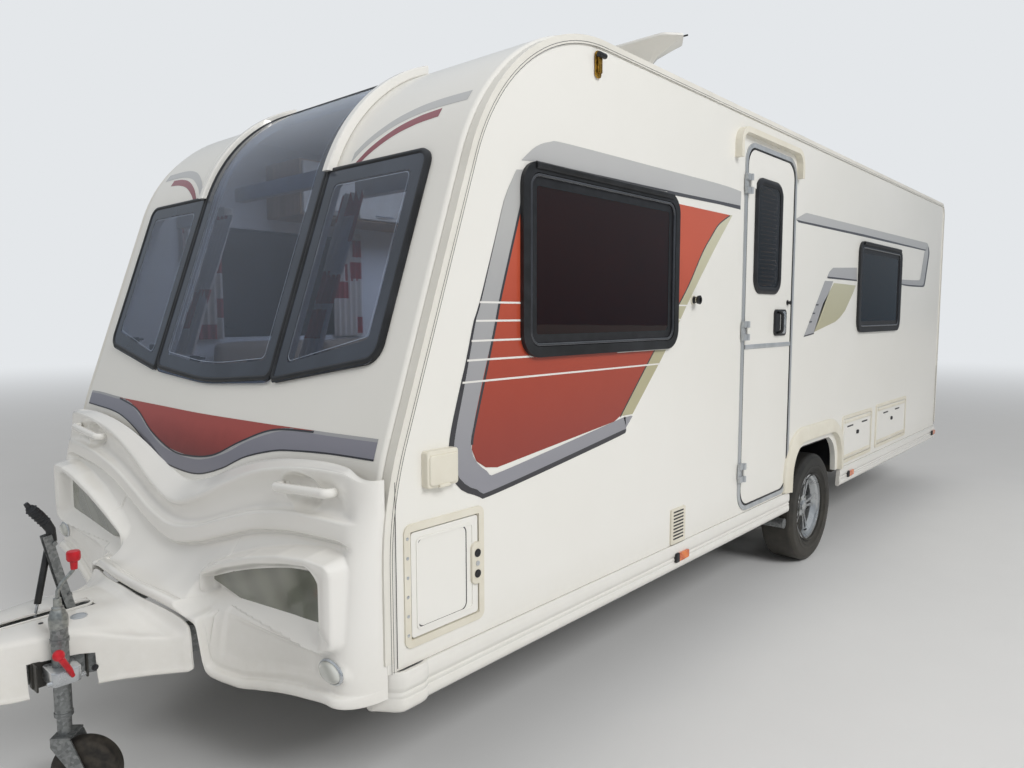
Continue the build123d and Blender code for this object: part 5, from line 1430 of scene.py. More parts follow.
borders, lips, hairlines = [], [], []
for line, framed in ((side_outline, side_frame), (middle_outline, middle_frame)):
    edge = shifted(line, 0.004, closed=True)
    borders.append(nose_band(edge, framed(0.058, 0.022), PANE_OUT + 0.0005))
    # A hair-thin pale line just inside the border: a painted reflection.
    hairlines.append(nose_band(framed(0.0645, 0.02), framed(0.0665, 0.02), HAIRLINE_OUT, 1))
    lips.append(
        nose_ring(
            line, (0.01, 0.009, 0.004, -0.003, -0.008, -0.009),
            (
                PANE_OUT, PANE_OUT + 0.003, PANE_OUT + 0.005, PANE_OUT + 0.004, PANE_OUT - 0.002,
                0.018
            )
        )
    )
borders[0], lips[0], hairlines[0] = (
    doubled(shape)
    for shape in (borders[0], lips[0], hairlines[0])
)
piece("front_pane_borders", merge(*borders), pane_print, sharp=70)
piece("front_pane_lips", merge(*lips), epdm_rubber, sharp=50)
# Three pale lines up the middle pane's offside edge: painted reflections.
for across, low, high in ((0.082, 1.3, 2.1), (0.112, 1.42, 2.24), (0.128, 1.36, 2.2)):
    start, end = foot_distance(low), foot_distance(high)
    hairlines.append(
        grid([
            [
                nose_place(edge - middle_half, start + (end - start) * k / 40, HAIRLINE_OUT)
                for k in range(41)
            ]
            for edge in (across, across + 0.0025)
        ])
    )
# The pale colour of these lines is painted reflection.
pane_reflection_paint = finish("painted_pane_reflections", ("#8E99AC", "#A3ADBD"), 60, 6, 0.01, 0.2, IOR=1.49)
piece("front_pane_painted_reflections", merge(*hairlines), pane_reflection_paint, sharp=70)
print("panes edged:", len(side_outline), "and", len(middle_outline), "points")

# %% [markdown]
# Two raised rails flank the middle pane from the top of the outer panes over the roof. Their tops
# are white and their inner edge carries a black wiper of rubber.

# %% Wipers along the rails
wiper_rows = []
rail_from, rail_to = foot_distance(1.965), middle_end + 0.055
for k in range(61):
    distance = rail_from + (rail_to - rail_from) * k / 60
    wiper_rows.append([
        nose_place(middle_half + a, distance, PANEL_CROWN + h)
        for a, h in (
            (-0.003, -0.004), (-0.003, 0.01), (0.001, 0.0145), (0.009, 0.0145), (0.0125, -0.004)
        )
    ])
piece(
    "rail_wipers", doubled(grid(wiper_rows, closed=True, capped=True)), epdm_rubber,
    sharp=50
)
print("wipers", round(rail_to - rail_from, 2), "m long")

# %% [markdown]
# Behind each pane hangs the cassette of a pale sun blind, and small black catches sit along its
# foot. They are what the eye finds through the tinted acrylic.

# %% Catches and blind cassettes behind the panes
def behind_pane(x, z, depth):
    """A place behind the front glazing."""
    return nose_height_place(x, z, -depth)


catches = []
for x, z in (
    (0.62, 1.335), (0.84, 1.362), (-0.62, 1.335), (-0.84, 1.362), (-0.22, 1.3), (0.22, 1.3)
):
    base = behind_pane(x, z, 0.012)
    catches.append(
        cushioned(
            rectangle(-0.03, 0.03, -0.012, 0.012, 0.006), 0, 0.016, 0.004,
            lambda a, b, h, base=base: base + Vector((a, h, b))
        )
    )
    catches.append(
        rod(
            [
                base + Vector((-0.02, 0.012, 0)), base + Vector((0.012, 0.026, 0.002)),
                base + Vector((0.045, 0.024, 0.004))
            ], [0.006, 0.005, 0.004], 8
        )
    )
piece("window_catches", merge(*catches), black_polyamide_and_painted_shade)
cassettes = []
for low_x, high_x, z in ((-0.43, 0.43, 2.02), (0.47, 0.93, 1.935), (-0.93, -0.47, 1.935)):
    spot = behind_pane(0, z, 0.075)
    cassettes.append(
        cushioned(
            rectangle(low_x, high_x, -0.03, 0.03, 0.012), 0, 0.045, 0.01,
            lambda a, b, h, spot=spot: Vector((a, spot.y + h, spot.z + b))
        )
    )
piece("blind_cassettes", merge(*cassettes), laminate)
print("catches:", len(catches) // 2, "cassettes:", len(cassettes))

# %% [markdown]
# ## Stripes on the sides
# The door side carries a large red panel behind the front window, wrapped by a grey band with a
# dark edge, thin white lines through the red, a silver stripe along the roof edge, and a second
# group round the rear window. Each shape was traced from the photograph as distances behind the
# front seam and heights. The far side isn't seen; such a caravan is dressed alike on both sides, so
# we mirror the panel and the stripes; its own windows leave no room for the rear group.

# %% Films on the sides
# How far each layer of film stands out, in metres, lowest first
UNDER, BAND, EDGE, INK, LINE, TOP = 0.0008, 0.001, 0.0011, 0.0012, 0.0014, 0.0016


def traced(points):
    """Turns (distance behind the front seam, height) into (y, z)."""
    return [Vector((aft(d), z)) for d, z in points]


def ruled(upper, lower, lift, steps=70, smooth_line=True):
    """A strip of film between two traced lines."""
    lines = []
    for points in (upper, lower):
        line = curve(traced(points), 8) if smooth_line else traced(points)
        distance = measured(line)
        row = []
        for k in range(steps + 1):
            i, share = between(distance, distance[-1] * k / steps)
            row.append(door_side(*line[i].lerp(line[min(i + 1, len(line) - 1)], share), lift))
        lines.append(row)
    return grid(lines)


def panel(points, lift):
    """A film with a closed traced outline."""
    return prism(traced(points), lift - 0.0003, lift, door_side)


def film_piece(name, shapes, material, both=True):
    """Film on the door side and, where both is set, its mirror image on the far side."""
    shape = merge(*shapes)
    return piece(name, doubled(shape) if both else shape, material, sharp=80)


BAND_OUTER = [
    (1.211, 1.077), (1.156, 1.034), (1.109, 1.026), (0.429, 0.93), (0.368, 0.938), (0.314, 0.959),
    (0.271, 0.998), (0.255, 1.051), (0.261, 1.118), (0.301, 1.262), (0.318, 1.327), (0.35, 1.45),
    (0.372, 1.505), (0.443, 1.715), (0.48, 1.822), (0.533, 1.913)
]
BAND_INNER = [
    (1.203, 1.08), (1.15, 1.078), (1.108, 1.073), (0.461, 0.981), (0.409, 0.986), (0.368, 1.01),
    (0.339, 1.039), (0.325, 1.082), (0.331, 1.118), (0.377, 1.264), (0.394, 1.318), (0.434, 1.45),
    (0.454, 1.522), (0.52, 1.72), (0.548, 1.805), (0.584, 1.92)
]
BAND_DARK = [
    (1.211, 1.077), (1.156, 1.03), (1.117, 1.01), (0.429, 0.915), (0.357, 0.923), (0.289, 0.95),
    (0.251, 0.991), (0.235, 1.047), (0.24, 1.12), (0.284, 1.264), (0.305, 1.326), (0.341, 1.45),
    (0.366, 1.505), (0.441, 1.715), (0.479, 1.822), (0.533, 1.913)
]
film_piece("band_grey", [ruled(BAND_INNER, BAND_OUTER, BAND)], band_film)
film_piece("band_dark_edge", [ruled(BAND_OUTER, BAND_DARK, UNDER)], dark_print_and_painted_shade_film)
RED_BACK = [
    (1.123, 1.086), (1.307, 1.272), (1.44, 1.402), (1.565, 1.523), (1.645, 1.606), (1.748, 1.734),
    (1.83, 1.812), (1.901, 1.871), (2.008, 1.919)
]
RED_BACK = [tuple(p) for p in curve([Vector(p) for p in RED_BACK], 5)]
RED = [
    (0.584, 1.917), (0.548, 1.781), (0.46, 1.514), (0.442, 1.457), (0.399, 1.337), (0.375, 1.265),
    (0.346, 1.171), (0.332, 1.116), (0.329, 1.068), (0.348, 1.03), (0.388, 1.005), (0.44, 0.997),
    (1.085, 1.07), *RED_BACK
]
film_piece("red_panel", [panel(RED, INK)], red_film)
BEIGE = [
    *RED_BACK, (2.036, 1.921), (1.883, 1.774), (1.752, 1.641), (1.615, 1.498), (1.528, 1.398),
    (1.413, 1.281), (1.211, 1.086)
]
film_piece("panel_beige_edge", [panel(BEIGE, EDGE)], olive_film)
film_piece(
    "panel_dark_lines",
    [
        ruled(BAND_INNER[7:], [(d + 0.01, z) for d, z in BAND_INNER[7:]], LINE),
        ruled(RED_BACK, [(d + 0.005, z - 0.004) for d, z in RED_BACK], LINE, smooth_line=False)
    ], dark_print_and_painted_shade_film
)
pinstripes = [
    (1.505, 0.366, 0.55), (1.45, 0.35, 0.55), (1.391, 0.331, 0.56), (1.334, 0.312, 0.627),
    (1.27, 0.292, 1.412), (1.506, 1.53, 1.624), (1.447, 1.53, 1.581), (1.329, 1.1, 1.474)
]
film_piece(
    "panel_pinstripes",
    [
        panel([(d0, z - 0.003), (d1, z - 0.003), (d1, z + 0.003), (d0, z + 0.003)], TOP)
        for z, d0, d1 in pinstripes
    ], white_film
)
print("red panel", len(RED), "points;", len(pinstripes), "white lines")

# %% Roof-edge stripes and the rear group
TOP_UPPER = [
    (0.558, 1.947), (0.626, 1.997), (0.7, 2.024), (0.793, 2.033), (1.35, 2.039), (1.904, 2.044),
    (2.123, 2.038)
]
TOP_LOWER = [
    (0.558, 1.945), (0.61, 1.95), (0.659, 1.952), (0.76, 1.954), (1.444, 1.962), (1.908, 1.97),
    (2.119, 1.973)
]
film_piece("roof_edge_stripe", [ruled(TOP_UPPER, TOP_LOWER, BAND)], silver_film)
REAR_UPPER = [(2.8, 1.977), (2.943, 2.023), (3.97, 2.033), (5.628, 2.048)]
REAR_LOWER = [(2.8, 1.974), (2.86, 1.973), (3.976, 1.987), (5.601, 1.992)]
film_piece(
    "roof_edge_stripe_rear", [ruled(REAR_UPPER, REAR_LOWER, BAND, 90, smooth_line=False)],
    silver_film
)
darks = [
    panel(
        [
            (1.433, 1.962), (1.465, 1.948), (1.908, 1.956), (2.119, 1.955), (2.119, 1.973),
            (1.908, 1.97)
        ], UNDER
    ),
    panel(
        [
            (2.8, 1.975), (2.842, 1.962), (3.978, 1.972), (5.601, 1.982), (5.601, 1.993),
            (3.976, 1.988)
        ], UNDER
    ), panel([(0.64, 1.952), (0.7, 1.948), (1.44, 1.956), (1.44, 1.963)], UNDER)
]
film_piece("roof_edge_dark_lines", darks, dark_print_and_painted_shade_film)
LOOP_OUTER = [
    (5.628, 2.048), (5.68, 2.02), (5.705, 1.99), (5.711, 1.955), (5.65, 1.8), (5.615, 1.72),
    (5.578, 1.693), (5.45, 1.687), (5.111, 1.684), (4.905, 1.689)
]
LOOP_INNER = [
    (5.601, 1.992), (5.58, 1.985), (5.56, 1.975), (5.55, 1.961), (5.5, 1.85), (5.47, 1.775),
    (5.451, 1.748), (5.38, 1.738), (5.089, 1.731), (4.899, 1.728)
]
film_piece("rear_loop", [ruled(LOOP_OUTER, LOOP_INNER, BAND)], silver_film, both=False)
LOOP_EDGE = [
    (a + (c - a) * 0.22, b + (d - b) * 0.22)
    for (a, b), (c, d) in zip(LOOP_OUTER, LOOP_INNER)
]
film_piece(
    "rear_loop_dark_edge", [ruled(LOOP_OUTER[1:], LOOP_EDGE[1:], INK)], dark_print_and_painted_shade_film, both=False
)
GREY_REAR = [
    panel([(3.315, 1.691), (3.35, 1.722), (3.409, 1.746), (3.854, 1.767), (3.864, 1.69)], BAND),
    panel([(3.277, 1.665), (3.418, 1.666), (3.125, 1.363), (2.976, 1.35)], BAND)
]
film_piece("rear_grey_panels", GREY_REAR, silver_film, both=False)
film_piece(
    "rear_dark_lines",
    [
        panel([(3.315, 1.691), (3.864, 1.69), (3.864, 1.681), (3.316, 1.68)], INK),
        panel([(2.976, 1.35), (3.125, 1.363), (3.125, 1.356), (2.966, 1.342)], INK),
        *(
            panel(
                [
                    (d0, z - 0.004), (d1, z - 0.004), (d1 + 0.006, z + 0.004),
                    (d0 + 0.006, z + 0.004)
                ], LINE
            )
            for d0, d1, z in ((3.14, 3.18, 1.523), (3.09, 3.13, 1.474), (3.043, 3.083, 1.426))
        )
    ], dark_print_and_painted_shade_film, both=False
)
OLIVE = [
    (3.432, 1.656), (3.844, 1.653), (3.788, 1.598), (3.651, 1.49), (3.56, 1.448), (3.479, 1.423),
    (3.124, 1.367), (3.258, 1.531)
]
film_piece("rear_olive_panel", [panel(OLIVE, BAND)], olive_film, both=False)
print("stripes laid on both sides")

# %% [markdown]
# ## Windows on the sides
# Each side window hangs from a hinge rail along its top. Its thick frame has a tubular inner rim
# that catches the light, and inside the rim the acrylic is printed black along its edge.

# %% Window rims, hinge rails and printed borders
side_windows = [
    # side, from, to, low, high
    (1, 0.550, 1.530, 1.330, 1.950),
    (-1, 0.550, 1.530, 1.330, 1.950),
    (1, 3.880, 4.860, 1.350, 1.942),
    (-1, 2.650, 3.500, 1.450, 1.942),
    (-1, 5.000, 5.450, 1.500, 1.942),
]
TUBE = [
    (0.0065 * math.cos(a), 0.0095 + 0.0065 * math.sin(a))
    for a in (k * math.pi / 6 for k in range(12))
]
tubes, rails, prints, catches = [], [], [], []
for side, start, end, low, high in side_windows:
    place = side_place(side)
    inner = rectangle(aft(start) + 0.04, aft(end) - 0.04, low + 0.04, high - 0.04, 0.045, 6)
    tubes.append(rail(inner, TUBE, place))
    rails.append(
        rail(
            [(aft(start) + 0.06, high - 0.012), (aft(end) - 0.06, high - 0.012)],
            [
                (-0.011, 0.014), (-0.011, 0.021), (-0.004, 0.0245), (0.006, 0.0245), (0.011, 0.019),
                (0.011, 0.014)
            ], place, closed=False
        )
    )
    rows = [
        [place(a, b, 0.0066) for a, b in shifted(inner, inset, closed=True)]
        for inset in (-0.006, 0.034)
    ]
    prints.append(grid(rows, closed=True))
    for share in (0.2, 0.8):
        spot = aft(start) + (end - start) * share
        catches.append(
            cushioned(
                rectangle(spot - 0.022, spot + 0.022, low + 0.07, low + 0.092, 0.008), -0.03,
                -0.012, 0.004, place
            )
        )
tube_paint = finish(
    "black_gloss_extrusion", ("#3A3B3F", "#47494E"), 200, 4, 0.02, 0.2, Metallic=0.3,
    Coat_Weight=0.5
)
piece("side_window_tubes", merge(*tubes), tube_paint)
piece("side_window_hinge_rails", merge(*rails), epdm_rubber)
piece("side_window_prints", merge(*prints), black_polyamide_and_painted_shade)
piece("side_window_catches", merge(*catches), black_polyamide_and_painted_shade)
print("side windows:", len(side_windows))

# %% [markdown]
# ## Entrance door
# The door has a silver strip across it at handle height, a moulded recess with a bow handle, and a
# black stud that a wall catch grips when the door stands open. All of these swing with the door.

# %% Door furniture
DOOR_FACE = 0.002  # doors and hatches stand this far out of the wall


def on_door(sunk=0.0):
    """Places on the face of the door or a hatch, sunk a little so that no gap shows."""
    return lambda a, b, h: door_side(a, b, h + DOOR_FACE - sunk)


door_strip = rail(
    [(aft(2.194), 1.311), (aft(2.756), 1.311)],
    [(-0.011, 0.0), (-0.011, 0.004), (-0.006, 0.006), (0.006, 0.006), (0.011, 0.004), (0.011, 0.0)],
    on_door(0.0005), closed=False
)
piece("door_strip", door_strip, anodised_trim, body="entrance_door")
recess = rectangle(aft(2.54), aft(2.69), 1.36, 1.492, 0.022)
plate = rail(
    recess,
    [(-0.002, 0.0), (-0.002, 0.008), (0.006, 0.011), (0.014, 0.008), (0.016, 0.002), (0.016, 0.0)],
    on_door(0.0005)
)
cup = prism(rectangle(aft(2.552), aft(2.622), 1.37, 1.482, 0.014), 0.0, 0.0022, on_door(0.0004))
pull_path = rounded(
    [(1.372, 0.006), (1.378, 0.034), (1.476, 0.034), (1.482, 0.006)], [0, 0.016, 0.016, 0],
    closed=False
)
pull = rod([door_side(aft(2.572) + 0.004, z, out) for z, out in pull_path], 0.008, 12)
piece(
    "door_handle_recess", merge(plate, cup, pull), black_polyamide_and_painted_shade,
    body="entrance_door", replaces=["door_handle"]
)
lock_plate = cushioned(
    rectangle(aft(2.628), aft(2.684), 1.366, 1.486, 0.02), 0.0, 0.01, 0.004, on_door()
)
lock = turned(
    [(0.0, 0.0), (0.0, 0.011), (0.005, 0.011), (0.006, 0.0)], door_side(aft(2.656), 1.405, 0.0115),
    ACROSS, 24
)
piece(
    "door_lock_plate", merge(lock_plate, lock), silver_alloy, body="entrance_door",
    replaces=["door_handle"]
)
# The lock's key slot is a black sliver of painted shade; it goes with the black stud.
slit = prism(
    rectangle(aft(2.6535), aft(2.6585), 1.399, 1.411, 0.002), 0.0, 0.0014,
    lambda a, b, h: door_side(a, b, h + 0.0165)
)
stud = turned(
    [
        (0.0, 0.0), (0.0, 0.014), (0.004, 0.014), (0.006, 0.008), (0.015, 0.008), (0.017, 0.011),
        (0.021, 0.011), (0.023, 0.008), (0.023, 0.0)
    ], door_side(aft(2.714), 1.53, 0.001), ACROSS, 24
)
piece(
    "door_stud", merge(stud, slit), black_polyamide_and_painted_shade, body="entrance_door",
    replaces=["door_handle"]
)
print("door furniture on", recess[0].x - front_y, "m")

# %% Door window and its blind
door_glass = rectangle(aft(2.295), aft(2.58), 1.59, 2.11, 0.055, 8)
frame_profile = [
    (-0.02, 0.0), (-0.02, 0.007), (-0.012, 0.013), (0.004, 0.014), (0.014, 0.01), (0.016, 0.0)
]
piece(
    "door_window_frame", rail(door_glass, frame_profile, on_door(0.001)), black_polyamide_and_painted_shade,
    body="entrance_door"
)
slats = []
for k in range(22):
    z = 1.628 + 0.0205 * k
    slats.append(
        rail(
            [(aft(2.32), z), (aft(2.555), z)],
            [(-0.0065, -0.012), (0.0, -0.009), (0.0065, -0.012), (0.0, -0.0105)], door_side,
            closed=False
        )
    )
piece("door_blind", merge(*slats), laminate, body="entrance_door")
print("door blind slats:", len(slats))

# %% [markdown]
# The wall holds the rest: three lift-off hinges, the catch that grips the stud, and a dark gasket
# round the leaf.

# %% Hinges, catch and gasket
hinge_shapes = []
for z in (0.7, 1.39, 2.08):
    pin = turned(
        [
            (-0.038, 0.0), (-0.038, 0.0065), (-0.013, 0.0075), (-0.012, 0.0062), (0.012, 0.0062),
            (0.013, 0.0075), (0.038, 0.0065), (0.038, 0.0)
        ], (side_x + 0.02, aft(2.195), z), UP, 20
    )
    leaf = cushioned(
        rectangle(aft(2.15), aft(2.19), z - 0.03, z + 0.03, 0.006), 0.005, 0.0115, 0.002, door_side
    )
    hinge_shapes += [pin, leaf]
piece("door_hinges", merge(*hinge_shapes), anodised_trim)
catch_base = turned(
    [(0.0, 0.0), (0.0, 0.019), (0.004, 0.019), (0.008, 0.014), (0.03, 0.012), (0.03, 0.0)],
    door_side(aft(1.676), 1.53, 0.0), ACROSS, 28
)
catch_cup = turned(
    [(0.024, 0.008), (0.024, 0.017), (0.034, 0.019), (0.036, 0.016), (0.036, 0.01), (0.028, 0.008)],
    door_side(aft(1.676), 1.53, 0.0), ACROSS, 28, closed=True
)
piece("door_catch", merge(catch_base, catch_cup), black_polyamide_and_painted_shade)
gasket = rectangle(aft(2.189), aft(2.761), 0.529, 2.251, 0.085, 8)
piece(
    "door_gasket",
    rail(gasket, [(-0.006, 0.001), (-0.006, 0.0045), (0.0, 0.005), (0.001, 0.001)], door_side),
    epdm_rubber
)
seams = []
for side in (-1, 1):
    for y in (front_y + 0.03, rear_y - 0.03):
        seams.append(
            prism(rectangle(y - 0.0008, y + 0.0008, 0.5, 1.02), 0.004, 0.0056, side_place(side))
        )
piece("corner_seams", merge(*seams), epdm_rubber)
print("hinges, catch and gasket placed")

# %% [markdown]
# ## Hatches
# The gas hatch at the front has a cream frame, a white lid with a sunk panel, a row of rivets on
# the hinge side and a latch plate with two thumb holes and a key. The low hatches behind the wheel
# are plainer: a cream strip at the top and foot and a slotted vent.

# %% Hatch details
on_lid = on_door()
latch_outline = rectangle(aft(0.318), aft(0.362), 0.655, 0.785, 0.018)
latch = cushioned(latch_outline, 0.0, 0.009, 0.003, on_lid)
# The two thumb holes are black discs: painted shade in the holes.
holes = [
    turned(
        [(0.0, 0.0), (0.0, 0.0125), (0.002, 0.0125), (0.003, 0.009), (0.0005, 0.0)],
        on_lid(aft(0.34), z, 0.0092), ACROSS, 24
    )
    for z in (0.752, 0.688)
]
key = turned(
    [(0.0, 0.0), (0.0, 0.0075), (0.003, 0.0075), (0.0035, 0.0)], on_lid(aft(0.34), 0.72, 0.0088),
    ACROSS, 20
)
piece("gas_hatch_latch", latch, aged_abs, body="gas_hatch")
piece("gas_hatch_painted_hole_shade", merge(*holes), black_polyamide_and_painted_shade, body="gas_hatch")
piece("gas_hatch_key", key, silver_alloy, body="gas_hatch")
# A dark line round the lid's sunk panel: painted shade at the panel's step.
sunk = rectangle(aft(0.108), aft(0.3), 0.59, 0.845, 0.022)
piece(
    "gas_hatch_painted_panel_shade",
    rail(sunk, [(-0.0016, 0.0), (-0.0016, 0.0009), (0.0016, 0.0009), (0.0016, 0.0)], on_lid),
    dark_print_and_painted_shade_film, body="gas_hatch"
)
rivets = [
    turned(
        [(0.0, 0.0), (0.0, 0.005), (0.0015, 0.0045), (0.0025, 0.0025), (0.0028, 0.0)],
        door_side(aft(0.071), 0.58 + 0.055 * k, 0.0048), ACROSS, 14
    )
    for k in range(6)
]
piece("gas_hatch_rivets", merge(*rivets), silver_alloy)
print("gas hatch rivets:", len(rivets))

# %% Low hatches behind the wheel
for name, start, end, low, high, side in (
    ("bed_hatch", 3.68, 4.305, 0.51, 0.82, 1), ("locker_hatch", 4.397, 5.19, 0.518, 0.83, 1),
    ("cassette_hatch", 5.2, 5.56, 0.54, 0.9, -1)
):
    place = side_place(side)
    strips = [
        rail(
            [(aft(start) + 0.045, z), (aft(end) - 0.045, z)],
            [
                (-0.01, 0.001), (-0.01, 0.005), (-0.005, 0.008), (0.005, 0.008), (0.01, 0.005),
                (0.01, 0.001)
            ], place, closed=False
        )
        for z in (low + 0.042, high - 0.042)
    ]
    piece(name + "_strips", merge(*strips), aged_abs, body=name)
    middle = 0.5 * (aft(start) + aft(end))
    knob = cushioned(
        rectangle(middle - 0.02, middle + 0.02, low + 0.165, low + 0.19, 0.01), 0.002, 0.009, 0.003,
        place
    )
    # The vent's slots are black bars of painted shade, standing for its openings; the knob is a
    # real black part.
    slots = [
        cushioned(
            rectangle(
                middle + s * 0.15 - 0.06, middle + s * 0.15 + 0.06, high - 0.082, high - 0.072,
                0.004
            ), 0.001, 0.0032, 0.001, place
        )
        for s in (-1, 1)
    ]
    piece(
        name + "_latch", merge(knob, *(slots if name != "cassette_hatch" else [])), black_polyamide_and_painted_shade,
        body=name
    )
print("low hatches done")

# %% [markdown]
# ## Small fittings, arches and skirts
# A mains socket sits behind a hinged cream lid, a slotted plate vents the heater, and each amber
# marker has a black end. The wheel arch's cream trim has a rounded shoulder. The skirt below the
# wall is an extrusion with a convex upper band, two grooves and a rounded lower band; a moulded
# cap closes its front corner.

# %% Socket lid, vent plate, markers
lid_outline = rectangle(aft(0.136), aft(0.244), 0.991, 1.078, 0.012)
lid = cushioned(lid_outline, 0.022, 0.031, 0.005, door_side)
lip = cushioned(rectangle(aft(0.17), aft(0.21), 0.984, 0.994, 0.003), 0.02, 0.034, 0.002, door_side)
hinge = rod([door_side(aft(0.14), 1.08, 0.022), door_side(aft(0.24), 1.08, 0.022)], 0.0055, 12)
piece("socket_lid", merge(lid, lip, hinge), aged_abs)
# The heater vent's slots are black bars of painted shade, standing for its openings.
slots = [
    cushioned(
        rectangle(aft(1.533), aft(1.618), 0.512 + 0.0145 * k, 0.5185 + 0.0145 * k, 0.003), 0.006,
        0.0082, 0.0008, door_side
    )
    for k in range(9)
]
piece("vent_slots", merge(*slots), black_polyamide_and_painted_shade)
ends, ribs = [], []
for side in (-1, 1):
    for d in (1.597, 3.837, 6.082):
        place = side_place(side)
        ends.append(
            cushioned(
                rectangle(aft(d) - 0.06, aft(d) - 0.03, 0.414, 0.454, 0.006), 0.008, 0.0235, 0.004,
                place
            )
        )
        ribs.append(
            cushioned(
                rectangle(aft(d) - 0.06, aft(d) + 0.06, 0.411, 0.457, 0.008), 0.006, 0.0125, 0.003,
                place
            )
        )
piece("marker_ends", merge(*ends), black_polyamide_and_painted_shade)
piece("marker_bases", merge(*ribs), black_polyamide_and_painted_shade)
print("slots:", len(slots), "marker bases:", len(ribs))

# %% Arch trims
ARCH = rounded(
    [(aft(2.8), 0.4925), (aft(2.812), 0.76), (aft(3.618), 0.76), (aft(3.63), 0.4925)],
    [0, 0.19, 0.19, 0], closed=False, steps=16
)
ARCH = divided([tuple(p) for p in ARCH], 0.05, closed=False)
arch_profile = [
    (-0.07, 0.0), (-0.07, 0.01), (-0.062, 0.017), (-0.04, 0.021), (-0.016, 0.024), (0.0, 0.03),
    (0.008, 0.028), (0.011, 0.02), (0.011, -0.03), (0.006, -0.03), (0.004, 0.0)
]
arches = []
for side in (-1, 1):
    arches.append(rail(ARCH, [(-a, h) for a, h in arch_profile], side_place(side), closed=False))
piece(
    "arch_shoulders", merge(*arches), aged_abs, sharp=50, replaces=["arch_trims"]
)
print("arch trims", round(ARCH[-1][0] - ARCH[0][0], 2), "m wide")

# %% Skirts
# Out from the wall, height
skirt_profile = [
    (0.0005, 0.49), (0.009, 0.49), (0.0125, 0.484), (0.0145, 0.47), (0.0145, 0.452), (0.0125, 0.44),
    (0.009, 0.4365), (0.009, 0.4335), (0.0125, 0.431), (0.013, 0.424), (0.0105, 0.4205),
    (0.0105, 0.4175), (0.0135, 0.415), (0.0145, 0.4), (0.012, 0.388), (0.006, 0.38),
    (-0.002, 0.3785), (-0.01, 0.382), (-0.012, 0.392), (-0.008, 0.48)
]
skirt_runs = [(0.125, 2.8), (3.63, 6.13)]
skirts = []
for start, end in skirt_runs:
    rows = [[Vector((side_x + out, aft(d), z)) for out, z in skirt_profile] for d in (start, end)]
    skirts.append(grid(rows, closed=True, capped=True))
cap = []
for k in range(13):
    share = k / 12
    d = 0.13 - 0.15 * share
    inward = 0.06 * eased(share, 0.55, 1.0) ** 1.4
    bulge = 0.014 * (1 - (2 * share - 1) ** 6) + 0.002
    cap.append([
        Vector((side_x + out * 1.25 + bulge * 0.7 - inward, aft(d), 0.432 + (z - 0.432) * 1.04))
        for out, z in skirt_profile
    ])
skirts.append(grid(cap, closed=True, capped=True))
screws = [
    turned(
        [(0.0, 0.0), (0.0, 0.006), (0.002, 0.005), (0.0025, 0.0)], (side_x + 0.026, aft(0.06), z),
        ACROSS, 14
    )
    for z in (0.402, 0.466)
]
piece(
    "skirt_rails", doubled(merge(*skirts)), gloss_abs, sharp=50,
    replaces=["side_skirts"]
)
piece("skirt_screws", doubled(merge(*screws)), zinc_plate)
print("skirts run", skirt_runs)

# %% [markdown]
# ## The drawbar
# A white fairing covers the drawbar. Ahead it is a plain box; towards the body its top falls away
# in a hollow to a low wing, whose edge rolls outwards, and its rear edge rises to a rim that
# follows the moulding's rolled edge. We describe it by sections, each from the middle line out.

# %% Drawbar fairing
# Place behind the seam, then (across, height) in mm from the middle out to the rolled foot
fairing_sections = [
    (
        -0.8, (0, 504), (60, 503), (86, 501), (97, 497), (103, 491), (107, 480), (118, 370),
        (126, 361), (127, 352), (117, 346)
    ),
    (
        -0.64, (0, 513), (88, 513), (132, 509), (145, 504), (151, 498), (155, 486), (166, 352),
        (174, 343), (175, 334), (164, 330)
    ),
    (
        -0.47, (0, 516), (118, 516), (178, 511), (194, 506), (201, 499), (206, 487), (220, 354),
        (229, 345), (230, 336), (218, 331)
    ),
    (
        -0.42, (0, 517), (122, 517), (186, 507), (206, 496), (220, 488), (227, 476), (240, 357),
        (249, 348), (250, 339), (238, 334)
    ),
    (
        -0.375, (0, 518), (126, 517), (192, 499), (226, 481), (254, 474), (262, 463), (275, 361),
        (284, 353), (285, 344), (273, 339)
    ),
    (
        -0.33, (0, 520), (134, 517), (205, 492), (256, 468), (304, 464), (314, 453), (326, 366),
        (335, 358), (336, 349), (324, 344)
    ),
    (
        -0.295, (0, 524), (148, 518), (224, 491), (294, 464), (352, 461), (363, 450), (374, 370),
        (383, 362), (384, 353), (372, 348)
    ),
    (
        -0.272, (0, 532), (162, 524), (242, 505), (326, 486), (386, 474), (399, 458), (406, 372),
        (414, 365), (415, 356), (403, 351)
    ),
    (
        -0.262, (0, 541), (168, 537), (248, 529), (334, 516), (390, 499), (404, 478), (412, 378),
        (419, 370), (419, 361), (407, 356)
    ),
    (
        -0.255, (0, 539), (168, 535), (248, 527), (334, 514), (389, 497), (402, 476), (410, 376),
        (414, 368), (413, 361), (404, 358)
    )
]
SLOT = (-0.790, -0.360, 0.025)  # lever slot: from, to, half width
CLAMP_CUT = (-0.600, -0.430, 0.425)  # from, to, top
section_places = [row[0] for row in fairing_sections]


def fairing_section(d):
    """The fairing's half section at a place, softened."""
    i, share = between(section_places, d)
    after = fairing_sections[min(i + 1, len(fairing_sections) - 1)]
    points = [
        (0.001 * (a + (c - a) * share), 0.001 * (b + (e - b) * share))
        for (a, b), (c, e) in zip(fairing_sections[i][1:], after[1:])
    ]
    return whittled([points[0], (SLOT[2], points[0][1])] + points[1:])


